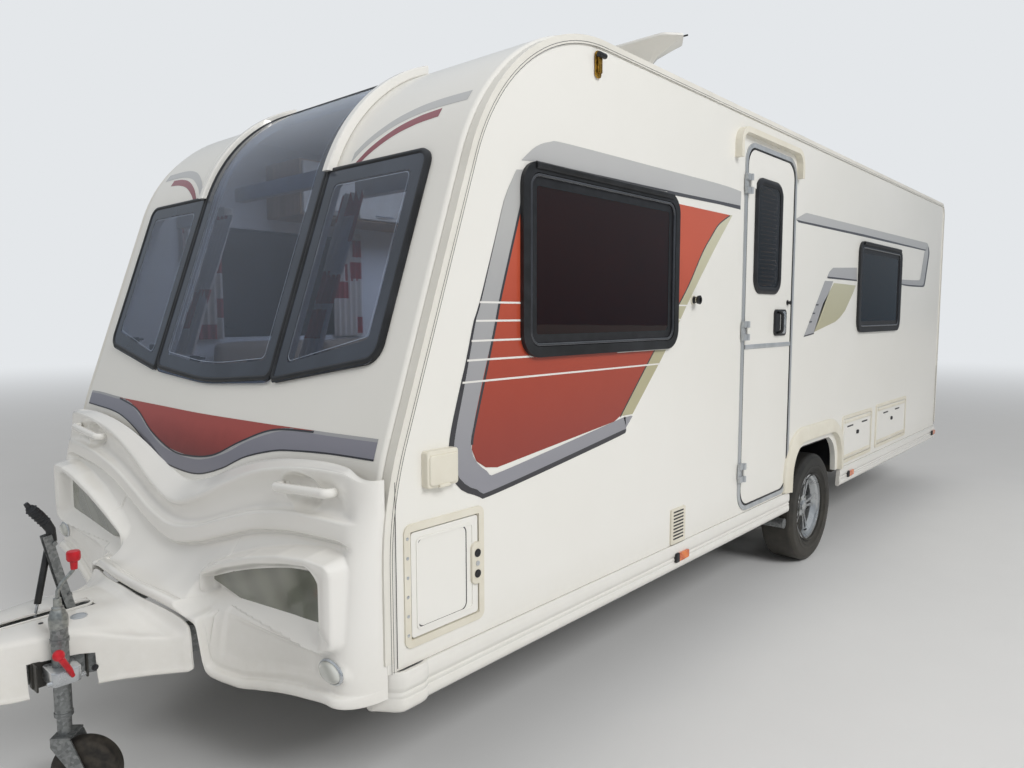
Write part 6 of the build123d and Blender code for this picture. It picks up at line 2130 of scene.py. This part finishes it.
stations = [-0.8, *(SLOT[0] + 0.0135 * k for k in range(32)), SLOT[1]]
stations += [-0.35 + 0.0055 * k for k in range(17)] + [-0.2585, -0.2555]
stations = sorted(
    set([d for d in stations if abs(d + 0.6) > 0.005 and abs(d + 0.43) > 0.005] + [-0.6, -0.43])
)
wing_rows = []
for d in stations:
    row = []
    for x, z in fairing_section(d):
        trailing = 0.046 * eased(x, 0.1, 0.42) * eased(d, -0.42, -0.26)
        row.append(Vector((x, aft(d + trailing), z)))
    wing_rows.append(row)
points, faces = grid(wing_rows)
width = len(wing_rows[0])
open_edge = next(i for i, p in enumerate(wing_rows[0]) if p.x >= SLOT[2] - 1e-6)


def covered(face, near_side):
    """Whether a face stays, outside the lever's slot and the jockey clamp's opening."""
    row, column = divmod(min(face), width)
    d = 0.5 * (stations[row] + stations[row + 1])
    if SLOT[0] < d < SLOT[1] and column < open_edge:
        return False
    return not (
        near_side and CLAMP_CUT[0] < d < CLAMP_CUT[1] and column > width // 3
        and min(points[i].z for i in face) < CLAMP_CUT[2]
    )


near = (points, [face for face in faces if covered(face, True)])
far = (
    [Vector((-p.x, p.y, p.z)) for p in points],
    [tuple(reversed(face)) for face in faces if covered(face, False)]
)
fairing = loose("drawbar_fairing_sheet", merge(near, far), gloss_abs)
work = bmesh.new()
work.from_mesh(fairing.data)
bmesh.ops.remove_doubles(work, verts=work.verts, dist=0.0004)
bmesh.ops.recalc_face_normals(work, faces=work.faces)
work.to_mesh(fairing.data)
work.free()
wall = fairing.modifiers.new("wall", "SOLIDIFY")
wall.thickness, wall.offset = 0.004, -1
finished(fairing)
smooth(fairing.data, 50)
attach(fairing, "caravan")
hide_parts("drawbar_fairing")
print("fairing:", len(fairing.data.polygons), "faces")

# %% [markdown]
# Round the lever's slot runs a white edge strip over a dark gaiter. On the near side of the top is
# an oval sunk plate, ahead of it a small hole, and a screw with a washer holds the side.

# %% Fairing details
def fairing_top(x, d):
    """Height of the fairing's top."""
    line = fairing_section(d)
    i = next((i for i in range(len(line) - 1) if line[i + 1][0] >= x), len(line) - 2)
    (x0, z0), (x1, z1) = line[i], line[i + 1]
    return z0 + (z1 - z0) * min(max((x - x0) / max(x1 - x0, 1e-9), 0), 1)


def on_fairing(x, d, out):
    """A place above the fairing's top."""
    return Vector((x, aft(d), fairing_top(abs(x), min(max(d, -0.79), -0.27)) + out))


slot_outline = divided(
    [tuple(p) for p in rectangle(-SLOT[2], SLOT[2], SLOT[0], SLOT[1], 0.024, 8)], 0.02
)
piece(
    "slot_edge",
    rail(
        slot_outline,
        [(-0.005, -0.004), (-0.005, 0.002), (-0.002, 0.0035), (0.003, 0.002), (0.003, -0.004)],
        on_fairing
    ), gloss_abs, sharp=50
)
piece("slot_gaiter", prism(slot_outline, -0.016, -0.012, on_fairing), epdm_rubber)
sunk_oval = [
    (0.107 + 0.02 * math.cos(a), -0.432 + 0.021 * math.sin(a))
    for a in (math.pi * k / 18 for k in range(36))
]
piece(
    "fairing_oval",
    merge(
        prism(sunk_oval, -0.003, 0.0012, on_fairing),
        rail(
            sunk_oval, [(-0.004, -0.002), (-0.003, 0.0022), (0.001, 0.003), (0.002, -0.002)],
            on_fairing
        )
    ), anodised_trim
)
# The small hole is a black disc of painted shade; the screw with it is a real black part.
hole = [
    (0.077 + 0.007 * math.cos(a), -0.53 + 0.007 * math.sin(a))
    for a in (math.pi * k / 10 for k in range(20))
]
screw = turned(
    [
        (0.0, 0.0), (0.0, 0.01), (0.002, 0.01), (0.0025, 0.006), (0.005, 0.005), (0.006, 0.003),
        (0.006, 0.0)
    ], (0.236, aft(-0.436), 0.39), ACROSS, 20
)
piece(
    "fairing_hole_screw", merge(prism(hole, -0.002, 0.001, on_fairing), screw), black_polyamide_and_painted_shade,
)
print("slot edge", round(SLOT[1] - SLOT[0], 2), "m")

# %% [markdown]
# The handbrake lever is a pressed galvanised channel with a black rubber grip and a release
# button, held up by a black gas strut with a bright rod.

# %% Handbrake lever
def channel(path, widths, depth, wall=0.003):
    """A U channel along a path in the middle plane: (y, z) points, with its back to the rear."""
    path = [Vector(p) for p in path]
    rows = []
    for i, here in enumerate(path):
        along = (path[min(i + 1, len(path) - 1)] - path[max(i - 1, 0)]).normalized()
        back = Vector((-along.y, along.x))
        half = widths[i] / 2
        profile = [
            (-half, -depth), (-half, 0.0), (half, 0.0), (half, -depth), (half - wall, -depth),
            (half - wall, -wall), (-half + wall, -wall), (-half + wall, -depth)
        ]
        rows.append([Vector((x, here.x - back.x * t, here.y - back.y * t)) for x, t in profile])
    return grid(rows, closed=True, capped=True)


lever_line = [(aft(-0.4), 0.44), (aft(-0.412), 0.52), (aft(-0.44), 0.64), (aft(-0.468), 0.772)]
lever = channel(lever_line, [0.044, 0.042, 0.038, 0.034], 0.026)
lever_bolts = [
    turned([(-0.024, 0.0), (-0.024, 0.008), (0.024, 0.008), (0.024, 0.0)], (0, y, z), ACROSS, 6)
    for y, z in ((aft(-0.462), 0.742), (aft(-0.428), 0.565))
]
piece(
    "lever_channel", merge(lever, *lever_bolts), galvanised,
    replaces=["handbrake_lever"]
)
grip_line = [
    Vector((0, aft(y), z))
    for y, z in (
        (-0.462, 0.745), (-0.466, 0.785), (-0.48, 0.812), (-0.498, 0.838), (-0.516, 0.86),
        (-0.522, 0.868)
    )
]
grip = rod(grip_line, [0.013, 0.015, 0.0165, 0.0175, 0.0165, 0.012], 16)
ribs = [
    turned(
        [(-0.002, 0.016), (0.0, 0.0188), (0.002, 0.016)], grip_line[2].lerp(grip_line[4], k / 5),
        grip_line[4] - grip_line[2], 20
    )
    for k in range(6)
]
button = rod([grip_line[-1], grip_line[-1] + Vector((0, -0.008, 0.014))], [0.009, 0.007], 12)
piece("lever_grip", merge(grip, *ribs, button), epdm_rubber)
strut_top, strut_low = Vector((-0.026, aft(-0.466), 0.735)), Vector((-0.026, aft(-0.508), 0.545))
strut = rod(
    [strut_top + (strut_top - strut_low) * 0.06, strut_top, strut_low], [0.006, 0.0105, 0.0105], 16
)
strut_rod = rod([strut_low, strut_low + (strut_low - strut_top) * 0.46], [0.0045, 0.0045], 12)
piece("gas_strut", strut, black_paint)
piece("gas_strut_rod", strut_rod, silver_alloy)
print("lever top", round(max(p.z for p in grip_line), 3), "m")

# %% [markdown]
# The jockey wheel's tube ends in a stepped cap. A bent crank rod leads from it to a red knob. The
# clamp is a dark bracket on the drawbar and a bright block round the tube, closed by a red-balled
# handle.

# %% Jockey wheel post
JOCKEY = Vector((0.228, aft(-0.525), 0))
cap_profile = [
    (0.545, 0.0), (0.545, 0.0255), (0.574, 0.0268), (0.58, 0.025), (0.596, 0.02), (0.6, 0.0165),
    (0.606, 0.0165), (0.61, 0.0115), (0.634, 0.0105), (0.637, 0.0)
]
tube = turned(
    [(0.27, 0.0202), (0.27, 0.024), (0.56, 0.024), (0.56, 0.0202)], JOCKEY, UP, 40, closed=True
)
piece("jockey_tube", tube, galvanised, replaces=["jockey_post"])
piece("jockey_cap", turned(cap_profile, JOCKEY, UP, 28), zinc_plate)
crank_path = [
    JOCKEY + Vector((0, a, b))
    for a, b in (
        (0.0, 0.628), (0.002, 0.655), (0.014, 0.676), (0.032, 0.692), (0.046, 0.706), (0.05, 0.722)
    )
]
piece("jockey_crank", rod(crank_path, 0.0055, 12), zinc_plate)
knob_spot = crank_path[-1]
knob = turned(
    [
        (-0.012, 0.0), (-0.012, 0.0095), (0.012, 0.011), (0.014, 0.017), (0.02, 0.0195),
        (0.038, 0.0195), (0.043, 0.017), (0.044, 0.0)
    ], knob_spot, UP, 24
)
piece("jockey_knob", knob, red_plastic, sharp=50)
tube_rings = [
    turned([(z, 0.0238), (z, 0.0262), (z + 0.012, 0.0262), (z + 0.012, 0.0238)], JOCKEY, UP, 28)
    for z in (0.272, 0.5)
]
piece("jockey_tube_rings", merge(*tube_rings), galvanised)
bracket = [
    prism(
        rectangle(aft(-0.592), aft(-0.444), 0.358, 0.438, 0.006), 0.16, 0.182,
        lambda a, b, h: Vector((h, a, b))
    )
]
for y in (aft(-0.588), aft(-0.452)):
    cheek = rectangle(0.16, 0.216, 0.358, 0.438, 0.004)
    bracket.append(prism(cheek, y, y + 0.005, lambda a, b, h: Vector((a, h, b))))
piece("jockey_bracket", merge(*bracket), black_paint, bevel=0.001)
block = prism(
    rounded(
        [(0.186, aft(-0.566)), (0.284, aft(-0.566)), (0.284, aft(-0.484)), (0.186, aft(-0.484))],
        0.016
    ), 0.386, 0.428, lambda a, b, h: Vector((a, b, h))
)
block_bolt = turned(
    [(-0.052, 0.0), (-0.052, 0.007), (0.052, 0.007), (0.052, 0.0)], (0.272, aft(-0.525), 0.398),
    ALONG, 6
)
piece("jockey_clamp_block", merge(block, block_bolt), silver_alloy, bevel=0.0025)
handle_path = [
    Vector((0.286, aft(-0.512), 0.408)), Vector((0.294, aft(-0.522), 0.432)),
    Vector((0.3, aft(-0.545), 0.476))
]
ball = turned(
    [(0.0165 * math.cos(a), 0.0165 * math.sin(a)) for a in (math.pi * k / 12 for k in range(13))],
    handle_path[-1] + Vector((0.001, -0.006, 0.012)), (0, -0.4, 0.9), 20
)
piece(
    "jockey_clamp_handle", merge(rod(handle_path, [0.006, 0.0085, 0.0095], 14), ball), red_plastic,
)
print("jockey knob at", [round(c, 3) for c in knob_spot])

# %% [markdown]
# ## Wheels
# The alloy rims came from the solid model. Here they get a bright centre cap, five bolts sunk
# between the spokes, a valve, and a brake drum behind; and the tyre gets tread blocks, sidewall
# ribs and a bead line. Everything turns with its wheel.

# %% Tyre treads and wheel details
WHEEL_Y, WHEEL_Z = aft(3.23), 0.32
BOLTS, BOLT_CIRCLE = 5, 0.056
BLOCKS_ROUND = 72
BLOCK_SHARE = 0.80  # of the pitch; the rest is groove
TREAD_RADII = (0.315, 0.3197)
SHOULDER_DROP = 0.0035
tread_rows = [(-0.082, 0.03), (-0.048, 0.028), (-0.0145, 0.026), (0.0185, 0.028), (0.051, 0.03)]
for side, body, tyre in (
    (1, "wheel_nearside", "tyre_nearside"), (-1, "wheel_offside", "tyre_offside")
):
    centre = Vector((side * 1.0075, WHEEL_Y, WHEEL_Z))
    blocks = []
    for n, (start, across) in enumerate(tread_rows):
        for k in range(BLOCKS_ROUND):
            a0 = 2 * math.pi * (k + 0.5 * (n % 2)) / BLOCKS_ROUND
            a1 = a0 + 2 * math.pi * BLOCK_SHARE / BLOCKS_ROUND
            skew = 0.01 * (1 if n < 2 else -1 if n > 2 else 0)
            rows = []
            for radius in TREAD_RADII:
                ring = []
                for a, s in ((a0, 0), (a0, 1), (a1, 1), (a1, 0)):
                    turn = a + skew * s
                    out = radius - (SHOULDER_DROP if (n, s) in ((0, 0), (4, 1)) else 0.0)
                    ring.append(
                        centre
                        + Vector((start + across * s, out * math.sin(turn), out * math.cos(turn)))
                    )
                rows.append(ring)
            blocks.append(grid(rows, closed=True, capped=True))
    piece(tyre + "_tread", merge(*blocks), tyre_rubber, body=body, sharp=30)
    ribs = [
        turned([(0.0965, r), (0.0985, r + 0.0015), (0.0965, r + 0.003)], centre, (side, 0, 0), 96)
        for r in (0.226, 0.252)
    ]
    bead = turned([(0.089, 0.19), (0.0935, 0.196), (0.0905, 0.201)], centre, (side, 0, 0), 96)
    piece(tyre + "_ribs", merge(*ribs, bead), tyre_rubber, body=body)
    cap = turned(
        [
            (0.046, 0.0), (0.046, 0.0315), (0.0485, 0.0315), (0.0515, 0.028), (0.0525, 0.018),
            (0.053, 0.0)
        ], centre, (side, 0, 0), 36
    )
    bolts = []
    for k in range(BOLTS):
        angle = 2 * math.pi * (k + 0.5) / BOLTS
        spot = centre + Vector((0, BOLT_CIRCLE * math.sin(angle), BOLT_CIRCLE * math.cos(angle)))
        bolts.append(
            turned(
                [(0.03, 0.0), (0.03, 0.0105), (0.041, 0.0105), (0.044, 0.008), (0.044, 0.0)], spot,
                (side, 0, 0), 6
            )
        )
    piece("wheel_cap_" + body, cap, silver_alloy, body=body)
    piece("wheel_bolts_" + body, merge(*bolts), zinc_plate, body=body)
    valve = rod(
        [centre + Vector((side * 0.052, 0.0, -0.15)), centre + Vector((side * 0.068, 0.0, -0.14))],
        0.0045, 10
    )
    drum = turned(
        [(-0.03, 0.0), (-0.03, 0.118), (0.012, 0.122), (0.014, 0.11), (0.018, 0.0)], centre,
        (side, 0, 0), 40
    )
    piece("valve_" + body, valve, epdm_rubber, body=body)
    piece("drum_" + body, drum, black_paint, body=body)
print("tread blocks:", len(tread_rows) * BLOCKS_ROUND, "a wheel")

# %% [markdown]
# Ahead of each wheel a mover's motor, a white cylinder, drives an aluminium roller. The movers'
# solids carry the mounts; the motor's casing and cooling ribs are added.

# %% Mover casings
casings = []
for side in (-1, 1):
    base = Vector((side * 0.8, WHEEL_Y - 0.36, 0.29))
    casings.append(
        turned(
            [
                (-0.15, 0.0), (-0.15, 0.036), (-0.142, 0.042), (0.035, 0.042), (0.04, 0.036),
                (0.04, 0.0)
            ], base, ACROSS, 32
        )
    )
    casings += [
        turned(
            [
                (-0.12 + 0.016 * k, 0.041), (-0.118 + 0.016 * k, 0.0445),
                (-0.112 + 0.016 * k, 0.0445), (-0.11 + 0.016 * k, 0.041)
            ], base, ACROSS, 32
        )
        for k in range(8)
    ]
piece("mover_casings", merge(*casings), gloss_abs)
print("mover casings: 2")

# %% [markdown]
# ## Inside
# Through the tinted panes one sees seats, a bed and the curtains, so these are made as soft things.
# A foam cushion's cover bulges between its seams: its faces crown, its edges round over, and the
# cloth puckers a little where it is stitched.

# %% Cushions
PUCKER = 0.0004  # depth of one wave of the seam's puckers


def crowned(low, high, radius, crown, seed, step=0.028):
    """A stuffed box: rounded edges, crowned faces and slight puckers along the seams."""
    low, high = Vector(low), Vector(high)
    middle, half = (low + high) / 2, (high - low) / 2
    picked = random.Random(seed)
    waves = [
        (picked.uniform(18, 46), picked.uniform(0, 6.28), picked.uniform(0.3, 1.0))
        for _ in range(7)
    ]
    counts = [max(8, round(2 * h / step)) for h in half]
    work = bmesh.new()
    for axis in range(3):
        a, b = [i for i in range(3) if i != axis]
        for sign in (-1, 1):
            rows = []
            for i in range(counts[a] + 1):
                row = []
                for j in range(counts[b] + 1):
                    unit = Vector((0, 0, 0))
                    unit[axis] = sign
                    unit[a] = math.sin(math.pi / 2 * (2 * i / counts[a] - 1))
                    unit[b] = math.sin(math.pi / 2 * (2 * j / counts[b] - 1))
                    shell = Vector([unit[k] * half[k] for k in range(3)])
                    inner = Vector([
                        max(-(half[k] - radius), min(half[k] - radius, shell[k]))
                        for k in range(3)
                    ])
                    away = shell - inner
                    point = inner + away.normalized() * radius
                    swell = [(1 - abs(unit[k]) ** 2.6) for k in range(3)]
                    for k in range(3):
                        others = [m for m in range(3) if m != k]
                        point[k] += crown * (
                            point[k] / half[k]
                        ) * swell[others[0]] * swell[others[1]]
                    along = middle[a] + point[a] + middle[b] + point[b]
                    seam = max(abs(unit[a]), abs(unit[b])) ** 14
                    pucker = sum(
                        size * math.sin(rate * along + phase)
                        for rate, phase, size in waves
                    ) * PUCKER * seam
                    point[axis] -= sign * abs(pucker)
                    row.append(work.verts.new(middle + point))
                rows.append(row)
            for i in range(counts[a]):
                for j in range(counts[b]):
                    work.faces.new((rows[i][j], rows[i + 1][j], rows[i + 1][j + 1], rows[i][j + 1]))
    bmesh.ops.remove_doubles(work, verts=work.verts, dist=0.0006)
    work.verts.index_update()
    points = [v.co.copy() for v in work.verts]
    faces = [tuple(v.index for v in face.verts) for face in work.faces]
    work.free()
    return points, faces


cushions = [
    ("nearside_seat", (0.48, 0.46, 0.916), (0.942, 1.16, 1.042), seat_cloth),
    ("nearside_seat_rear", (0.48, 1.172, 0.916), (0.942, 1.878, 1.042), seat_cloth),
    ("offside_seat", (-0.942, 0.46, 0.916), (-0.48, 1.16, 1.042), seat_cloth),
    ("offside_seat_rear", (-0.942, 1.172, 0.916), (-0.48, 1.878, 1.042), seat_cloth),
    ("nearside_back", (0.95, 0.604, 0.918), (1.034, 1.234, 1.332), seat_cloth),
    ("nearside_back_rear", (0.95, 1.244, 0.918), (1.034, 1.876, 1.332), seat_cloth),
    ("offside_back", (-1.034, 0.604, 0.918), (-0.95, 1.234, 1.332), seat_cloth),
    ("offside_back_rear", (-1.034, 1.244, 0.918), (-0.95, 1.876, 1.332), seat_cloth),
    ("mattress", (-0.078, 3.892, 0.916), (1.073, 4.948, 1.06), mattress_cloth)
]
CROWN = 0.010  # how far a cushion's faces bulge
for number, (name, low, high, cloth) in enumerate(cushions):
    low, high = (low[0], aft(low[1]), low[2]), (high[0], aft(high[1]), high[2])
    thick = min(b - a for a, b in zip(low, high))
    stuffed = crowned(
        [a + CROWN * 0.8 for a in low], [b - CROWN * 0.8 for b in high], 0.3 * thick, CROWN, number
    )
    cushion = piece(name, stuffed, cloth, replaces=["soft_furnishings"], sharp=80)
print("cushions:", len(cushions))

# %% [markdown]
# The curtains are gathered: a flat cotton panel about twice as wide as the place it hangs in, put
# into folds. Their folds deepen downwards, and no two are alike. The front pair stands between the
# panes; the others dress the lounge windows.

# %% Curtains
COLUMNS_A_FOLD, CURTAIN_ROWS = 10, 30


def gathered_curtain(name, place, width, low, high, folds, depth, seed, tie=0.0):
    """A hung panel in folds; place turns (across, height, in) into a point."""
    picked = random.Random(seed)
    phases = [picked.uniform(-0.5, 0.5) for _ in range(folds + 1)]
    columns, lines = folds * COLUMNS_A_FOLD, CURTAIN_ROWS
    rows = []
    for r in range(lines + 1):
        share = r / lines
        waist = 1 - tie * math.exp(-(((share - 0.62) / 0.22) ** 2))
        row = []
        for c in range(columns + 1):
            u = c / columns
            turn = 2 * math.pi * folds * u + phases[
                min(int(u * folds), folds)
            ] * math.sin(math.pi * (u * folds % 1))
            swing = depth * (0.55 + 0.45 * share) * math.sin(turn)
            sideways = 0.25 * depth * math.sin(2 * turn + 3 * share)
            row.append(
                place(
                    0.5 * width + (u - 0.5) * width * waist + sideways * 0.5,
                    high + (low - high) * share, swing
                )
            )
        rows.append(row)
    cloth = piece(
        name, grid(rows), curtain_cloth, replaces=["curtains"], sharp=180
    )
    area = sum(face.area for face in cloth.data.polygons)
    height = sum((rows[k + 1][0] - rows[k][0]).length for k in range(lines))
    return area / height, height


flat_sizes = {}
for side in (-1, 1):
    tag = "nearside" if side > 0 else "offside"
    for part, start in (("front", 0.495), ("rear", 1.385)):
        flat_sizes[f"{tag}_{part}"] = gathered_curtain(
            f"curtain_{tag}_{part}",
            lambda u, z, t, side=side, start=start: Vector((side * (1.06 + t), aft(start + u), z)),
            0.2, 1.345, 1.955, 5, 0.015, side * 7 + len(part)
        )
    flat_sizes[f"nose_{tag}"] = gathered_curtain(
        f"curtain_nose_{tag}",
        lambda u, z, t, side=side: nose_height_place(side * (0.395 + u), z, -(0.08 + t)), 0.13,
        1.33, 1.925, 4, 0.014, side * 11, tie=0.15
    )
for name, size in flat_sizes.items():
    print(name, [round(s, 3) for s in size])

# %% [markdown]
# Locker doors with silver handles line the lounge above the windows.

# %% Overhead lockers
doors, pulls = [], []
for side in (-1, 1):
    for k in range(3):
        start = 0.99 + 0.355 * k
        inward = lambda a, b, h, side=side: Vector((side * (0.76 - h), a, b))
        doors.append(
            cushioned(
                rectangle(aft(start), aft(start + 0.34), 2.0, 2.27, 0.012), 0.0005, 0.018, 0.005,
                inward
            )
        )
        spot = aft(start + 0.17)
        pulls.append(
            rod(
                [
                    inward(spot - 0.06, 2.022, 0.016), inward(spot - 0.056, 2.022, 0.032),
                    inward(spot + 0.056, 2.022, 0.032), inward(spot + 0.06, 2.022, 0.016)
                ], 0.004, 10
            )
        )
piece("locker_doors", merge(*doors), laminate)
piece("locker_pulls", merge(*pulls), silver_alloy)
print("locker doors:", len(doors))

# %% [markdown]
# ## Rear, roof and far side
# Only the aerial with its winged head and the brass bracket on the door side show in the
# photograph. The rest follows what such caravans carry: lamp clusters in three parts with
# triangular reflectors, two opening rooflights, and grilles for the refrigerator in the far wall.

# %% Rear lamps and reflectors
LAMP_FACE = rear_y + 0.053


def rear_place(a, b, h):
    """A place standing out from the rear lamps' plane."""
    return Vector((a, LAMP_FACE + h, b))


def moulding_face(x, z):
    """How far back the tail moulding's face lies here, found with a ray from behind."""
    node = nodes["tail_moulding"]
    into = node.matrix_world.inverted()
    hit, spot, _, _ = node.ray_cast(
        into @ Vector((x, rear_y + 1, z)), into.to_3x3() @ Vector((0, -1, 0))
    )
    return (node.matrix_world @ spot).y if hit else rear_y


groups = {"red": [], "amber": [], "clear": []}
for side in (-1, 1):
    for tone, offset, half in (
        ("amber", 0.07, 0.032), ("red", -0.004, 0.036), ("clear", -0.074, 0.029)
    ):
        x = side * (0.965 + offset)
        lens = rectangle(x - half, x + half, 0.514, 0.606, 0.022)
        groups[tone].append(cushioned(lens, -0.004, 0.009, 0.007, rear_place))
for tone, lens in (("red", red_lens), ("amber", amber_lens), ("clear", clear_lens)):
    piece("tail_" + tone, merge(*groups[tone]), lens)
surround = rail(
    rectangle(0.855, 1.075, 0.505, 0.615, 0.026),
    [(-0.006, -0.014), (-0.006, 0.001), (-0.001, 0.005), (0.004, 0.001), (0.004, -0.014)],
    rear_place
)
piece("tail_surrounds", doubled(surround), black_polyamide_and_painted_shade)
triangles, backs = [], []
for side in (-1, 1):
    corners = [(side * 0.73 - 0.08, 0.48), (side * 0.73 + 0.08, 0.48), (side * 0.73, 0.618)]
    place = lambda a, b, h, y=moulding_face(side * 0.73, 0.54): Vector((a, y - 0.002 + h, b))
    triangles.append(cushioned(rounded(corners, 0.012), 0.006, 0.013, 0.003, place))
    backs.append(
        prism(
            rounded(
                [(x + 0.1 * (x - side * 0.73), z + 0.1 * (z - 0.526)) for x, z in corners], 0.014
            ), -0.004, 0.008, place
        )
    )
piece("rear_reflectors", merge(*triangles), red_lens)
piece("rear_reflector_backs", merge(*backs), black_polyamide_and_painted_shade)
print("rear lamps:", {tone: len(shapes) for tone, shapes in groups.items()})

# %% Rear seams and moulding lines
rear_wall_place = lambda a, b, h: Vector((a, rear_face + h, b))
seam_strips = [
    cushioned(
        rectangle(x - 0.011, x + 0.011, 0.72, 2.16, 0.004), -0.001, 0.004, 0.003, rear_wall_place
    )
    for x in (-0.46, 0.46)
]
piece("rear_seam_strips", merge(*seam_strips), gloss_abs)
step_line = rail(
    [(-1.02, 0.715), (1.02, 0.715)],
    [(-0.005, -0.002), (-0.005, 0.004), (0.005, 0.004), (0.005, -0.002)], rear_wall_place,
    closed=False
)
piece("rear_moulding_seal", step_line, epdm_rubber)
print("rear seams placed")

# %% [markdown]
# The rooflights are blown acrylic lids with a stiff rim, on cream kerbs. The aerial's head is a
# thin winged disc, thickest over its mast.

# %% Rooflights
LID_PLANE = 2.451
for body, start, end, half in (
    ("lounge_rooflight", 1.35, 2.05, 0.25), ("kitchen_rooflight", 3.9, 4.32, 0.21)
):
    outline = divided([tuple(p) for p in rectangle(-half, half, aft(start), aft(end), 0.05)], 0.06)
    top_place = lambda a, b, h: Vector((a, b, LID_PLANE + h))
    rim = rail(
        outline,
        [
            (0.001, 0.03), (0.001, 0.0355), (0.004, 0.0385), (0.011, 0.0385), (0.015, 0.0345),
            (0.015, 0.03)
        ], top_place
    )
    piece(body + "_rim", rim, opal_acrylic, body=body)
    ribs = [
        cushioned(
            rectangle(-half + 0.05, half - 0.05, y - 0.012, y + 0.012, 0.01), 0.028, 0.0375, 0.004,
            top_place
        )
        for y in (aft(start) + (end - start) * share for share in (0.25, 0.5, 0.75))
    ]
    piece(body + "_ribs", merge(*ribs), opal_acrylic, body=body)
print("rooflight rims placed")

# %% Aerial head and brass bracket
head_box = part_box("aerial_head")
HEAD_THICK = 0.034
head_half = (head_box[1] - head_box[0]) / 2
head_half.z = HEAD_THICK / 2
head_middle = (head_box[0] + head_box[1]) / 2
head_middle.z = head_box[1].z - head_half.z
mast_foot = (head_box[0].z - head_middle.z) / head_half.z
wing = rounded(
    [(-1.0, -0.2), (-0.7, -0.85), (0.7, -0.85), (1.0, -0.2), (0.62, 1.0), (-0.62, 1.0)], 0.22,
    steps=6
)
profile = [
    (0.0, 1.0), (0.7, 1.0), (0.93, 0.9), (0.985, 0.7), (1.0, 0.4), (1.0, 0.15), (0.97, 0.0),
    (0.94, -0.08), (0.6, -1.6), (0.3, -3.0), (0.18, -4.2), (0.13, -5.4), (0.13, mast_foot),
    (0.0, mast_foot)
]
rows = [
    [
        head_middle + Vector((head_half.x * out * a, head_half.y * out * b, head_half.z * rise))
        for a, b in wing
    ]
    for out, rise in profile
]
piece(
    "aerial_disc", grid(rows, closed=True), gloss_abs, body="aerial",
    replaces=["aerial_head"], sharp=30
)
long_way = Vector(ACROSS) if head_half.x > head_half.y else Vector(ALONG)
reach = max(head_half.x, head_half.y)
rods = [
    rod(
        [
            head_middle + long_way * side * end + Vector((0, 0, 0.006))
            for end in (reach - 0.02, reach + 0.008)
        ], 0.0035, 12
    )
    for side in (-1, 1)
]
piece("aerial_rods", merge(*rods), black_polyamide_and_painted_shade, body="aerial")
BRACKET_Y = aft(0.956)
bracket_spot = door_side(BRACKET_Y, 2.336, 0.006)
bracket_plate = cushioned(
    rectangle(BRACKET_Y - 0.017, BRACKET_Y + 0.017, 2.28, 2.372, 0.015), 0.003, 0.009, 0.002,
    door_side
)
tongue = rail(
    [(BRACKET_Y, 2.358), (BRACKET_Y, 2.296)],
    [(-0.011, 0.01), (-0.01, 0.018), (0.01, 0.018), (0.011, 0.01)], door_side, closed=False
)
barrel = rod([bracket_spot + Vector((0.016, s * 0.02, 0.018)) for s in (-1, 1)], 0.0095, 16)
piece("awning_bracket", merge(bracket_plate, tongue), brass, bevel=0.002)
piece("awning_bracket_pin", barrel, black_polyamide_and_painted_shade, bevel=0.001)
print("aerial head", [round(2 * c, 3) for c in head_half])

# %% [markdown]
# The awning rails are extrusions with a bead channel: from outside one sees two thin dark lines
# that follow the whole outline. They are painted shade: dark film strips on the rails' faces stand
# for the shade in the channels.

# %% Lines along the awning rails
RAIL_FACE, LINE_WIDTH = 1.1206, 0.0016
lines = []
for inward in (0.0085, 0.0165):
    outer, inner_line = outline_path(-inward, 0.04), outline_path(-inward - LINE_WIDTH, 0.04)
    count = min(len(outer), len(inner_line))
    for side in (-1, 1):
        lines.append(
            grid([
                [Vector((side * RAIL_FACE, p.x, p.y)) for p in line[:count]]
                for line in (outer, inner_line)
            ])
        )
# Dark strips of painted shade for the bead channels.
piece("awning_rail_painted_channel_shade", merge(*lines), dark_print_and_painted_shade_film, sharp=180)
print("awning rail lines:", len(lines))

# %% Refrigerator grilles and water inlet on the far side
far_side = side_place(-1)
frames, louvres = [], []
for low in (0.7, 1.18):
    outline = rectangle(aft(2.1), aft(2.56), low, low + 0.23, 0.02)
    frames.append(
        rail(
            outline, [(-0.004, 0.0), (-0.004, 0.008), (0.002, 0.012), (0.018, 0.01), (0.022, 0.0)],
            far_side
        )
    )
    for k in range(9):
        z = low + 0.032 + 0.021 * k
        louvres.append(
            rail(
                [(aft(2.122), z), (aft(2.538), z)],
                [(-0.007, 0.002), (-0.002, 0.01), (0.002, 0.01), (0.0045, 0.001)], far_side,
                closed=False
            )
        )
inlet = cushioned(rectangle(aft(2.96), aft(3.08), 0.9, 1.02, 0.016), 0.0, 0.02, 0.006, far_side)
piece("fridge_grille_frames", merge(*frames, inlet), aged_abs)
piece("fridge_louvres", merge(*louvres), aged_abs)
# Black sheets behind the louvres: painted shade of the vents' openings.
painted_shade_behind_louvres = [
    prism(rectangle(aft(2.112), aft(2.548), low + 0.01, low + 0.22, 0.01), 0.0006, 0.0016, far_side)
    for low in (0.7, 1.18)
]
piece("fridge_grille_painted_shade", merge(*painted_shade_behind_louvres), black_polyamide_and_painted_shade)
cassette_latch = turned(
    [(0.0, 0.0), (0.0, 0.012), (0.005, 0.011), (0.006, 0.0)], far_side(aft(5.38), 0.575, 0.002),
    (-1, 0, 0), 20
)
piece("cassette_lock", cassette_latch, silver_alloy, body="cassette_hatch")
print("louvres:", len(louvres))
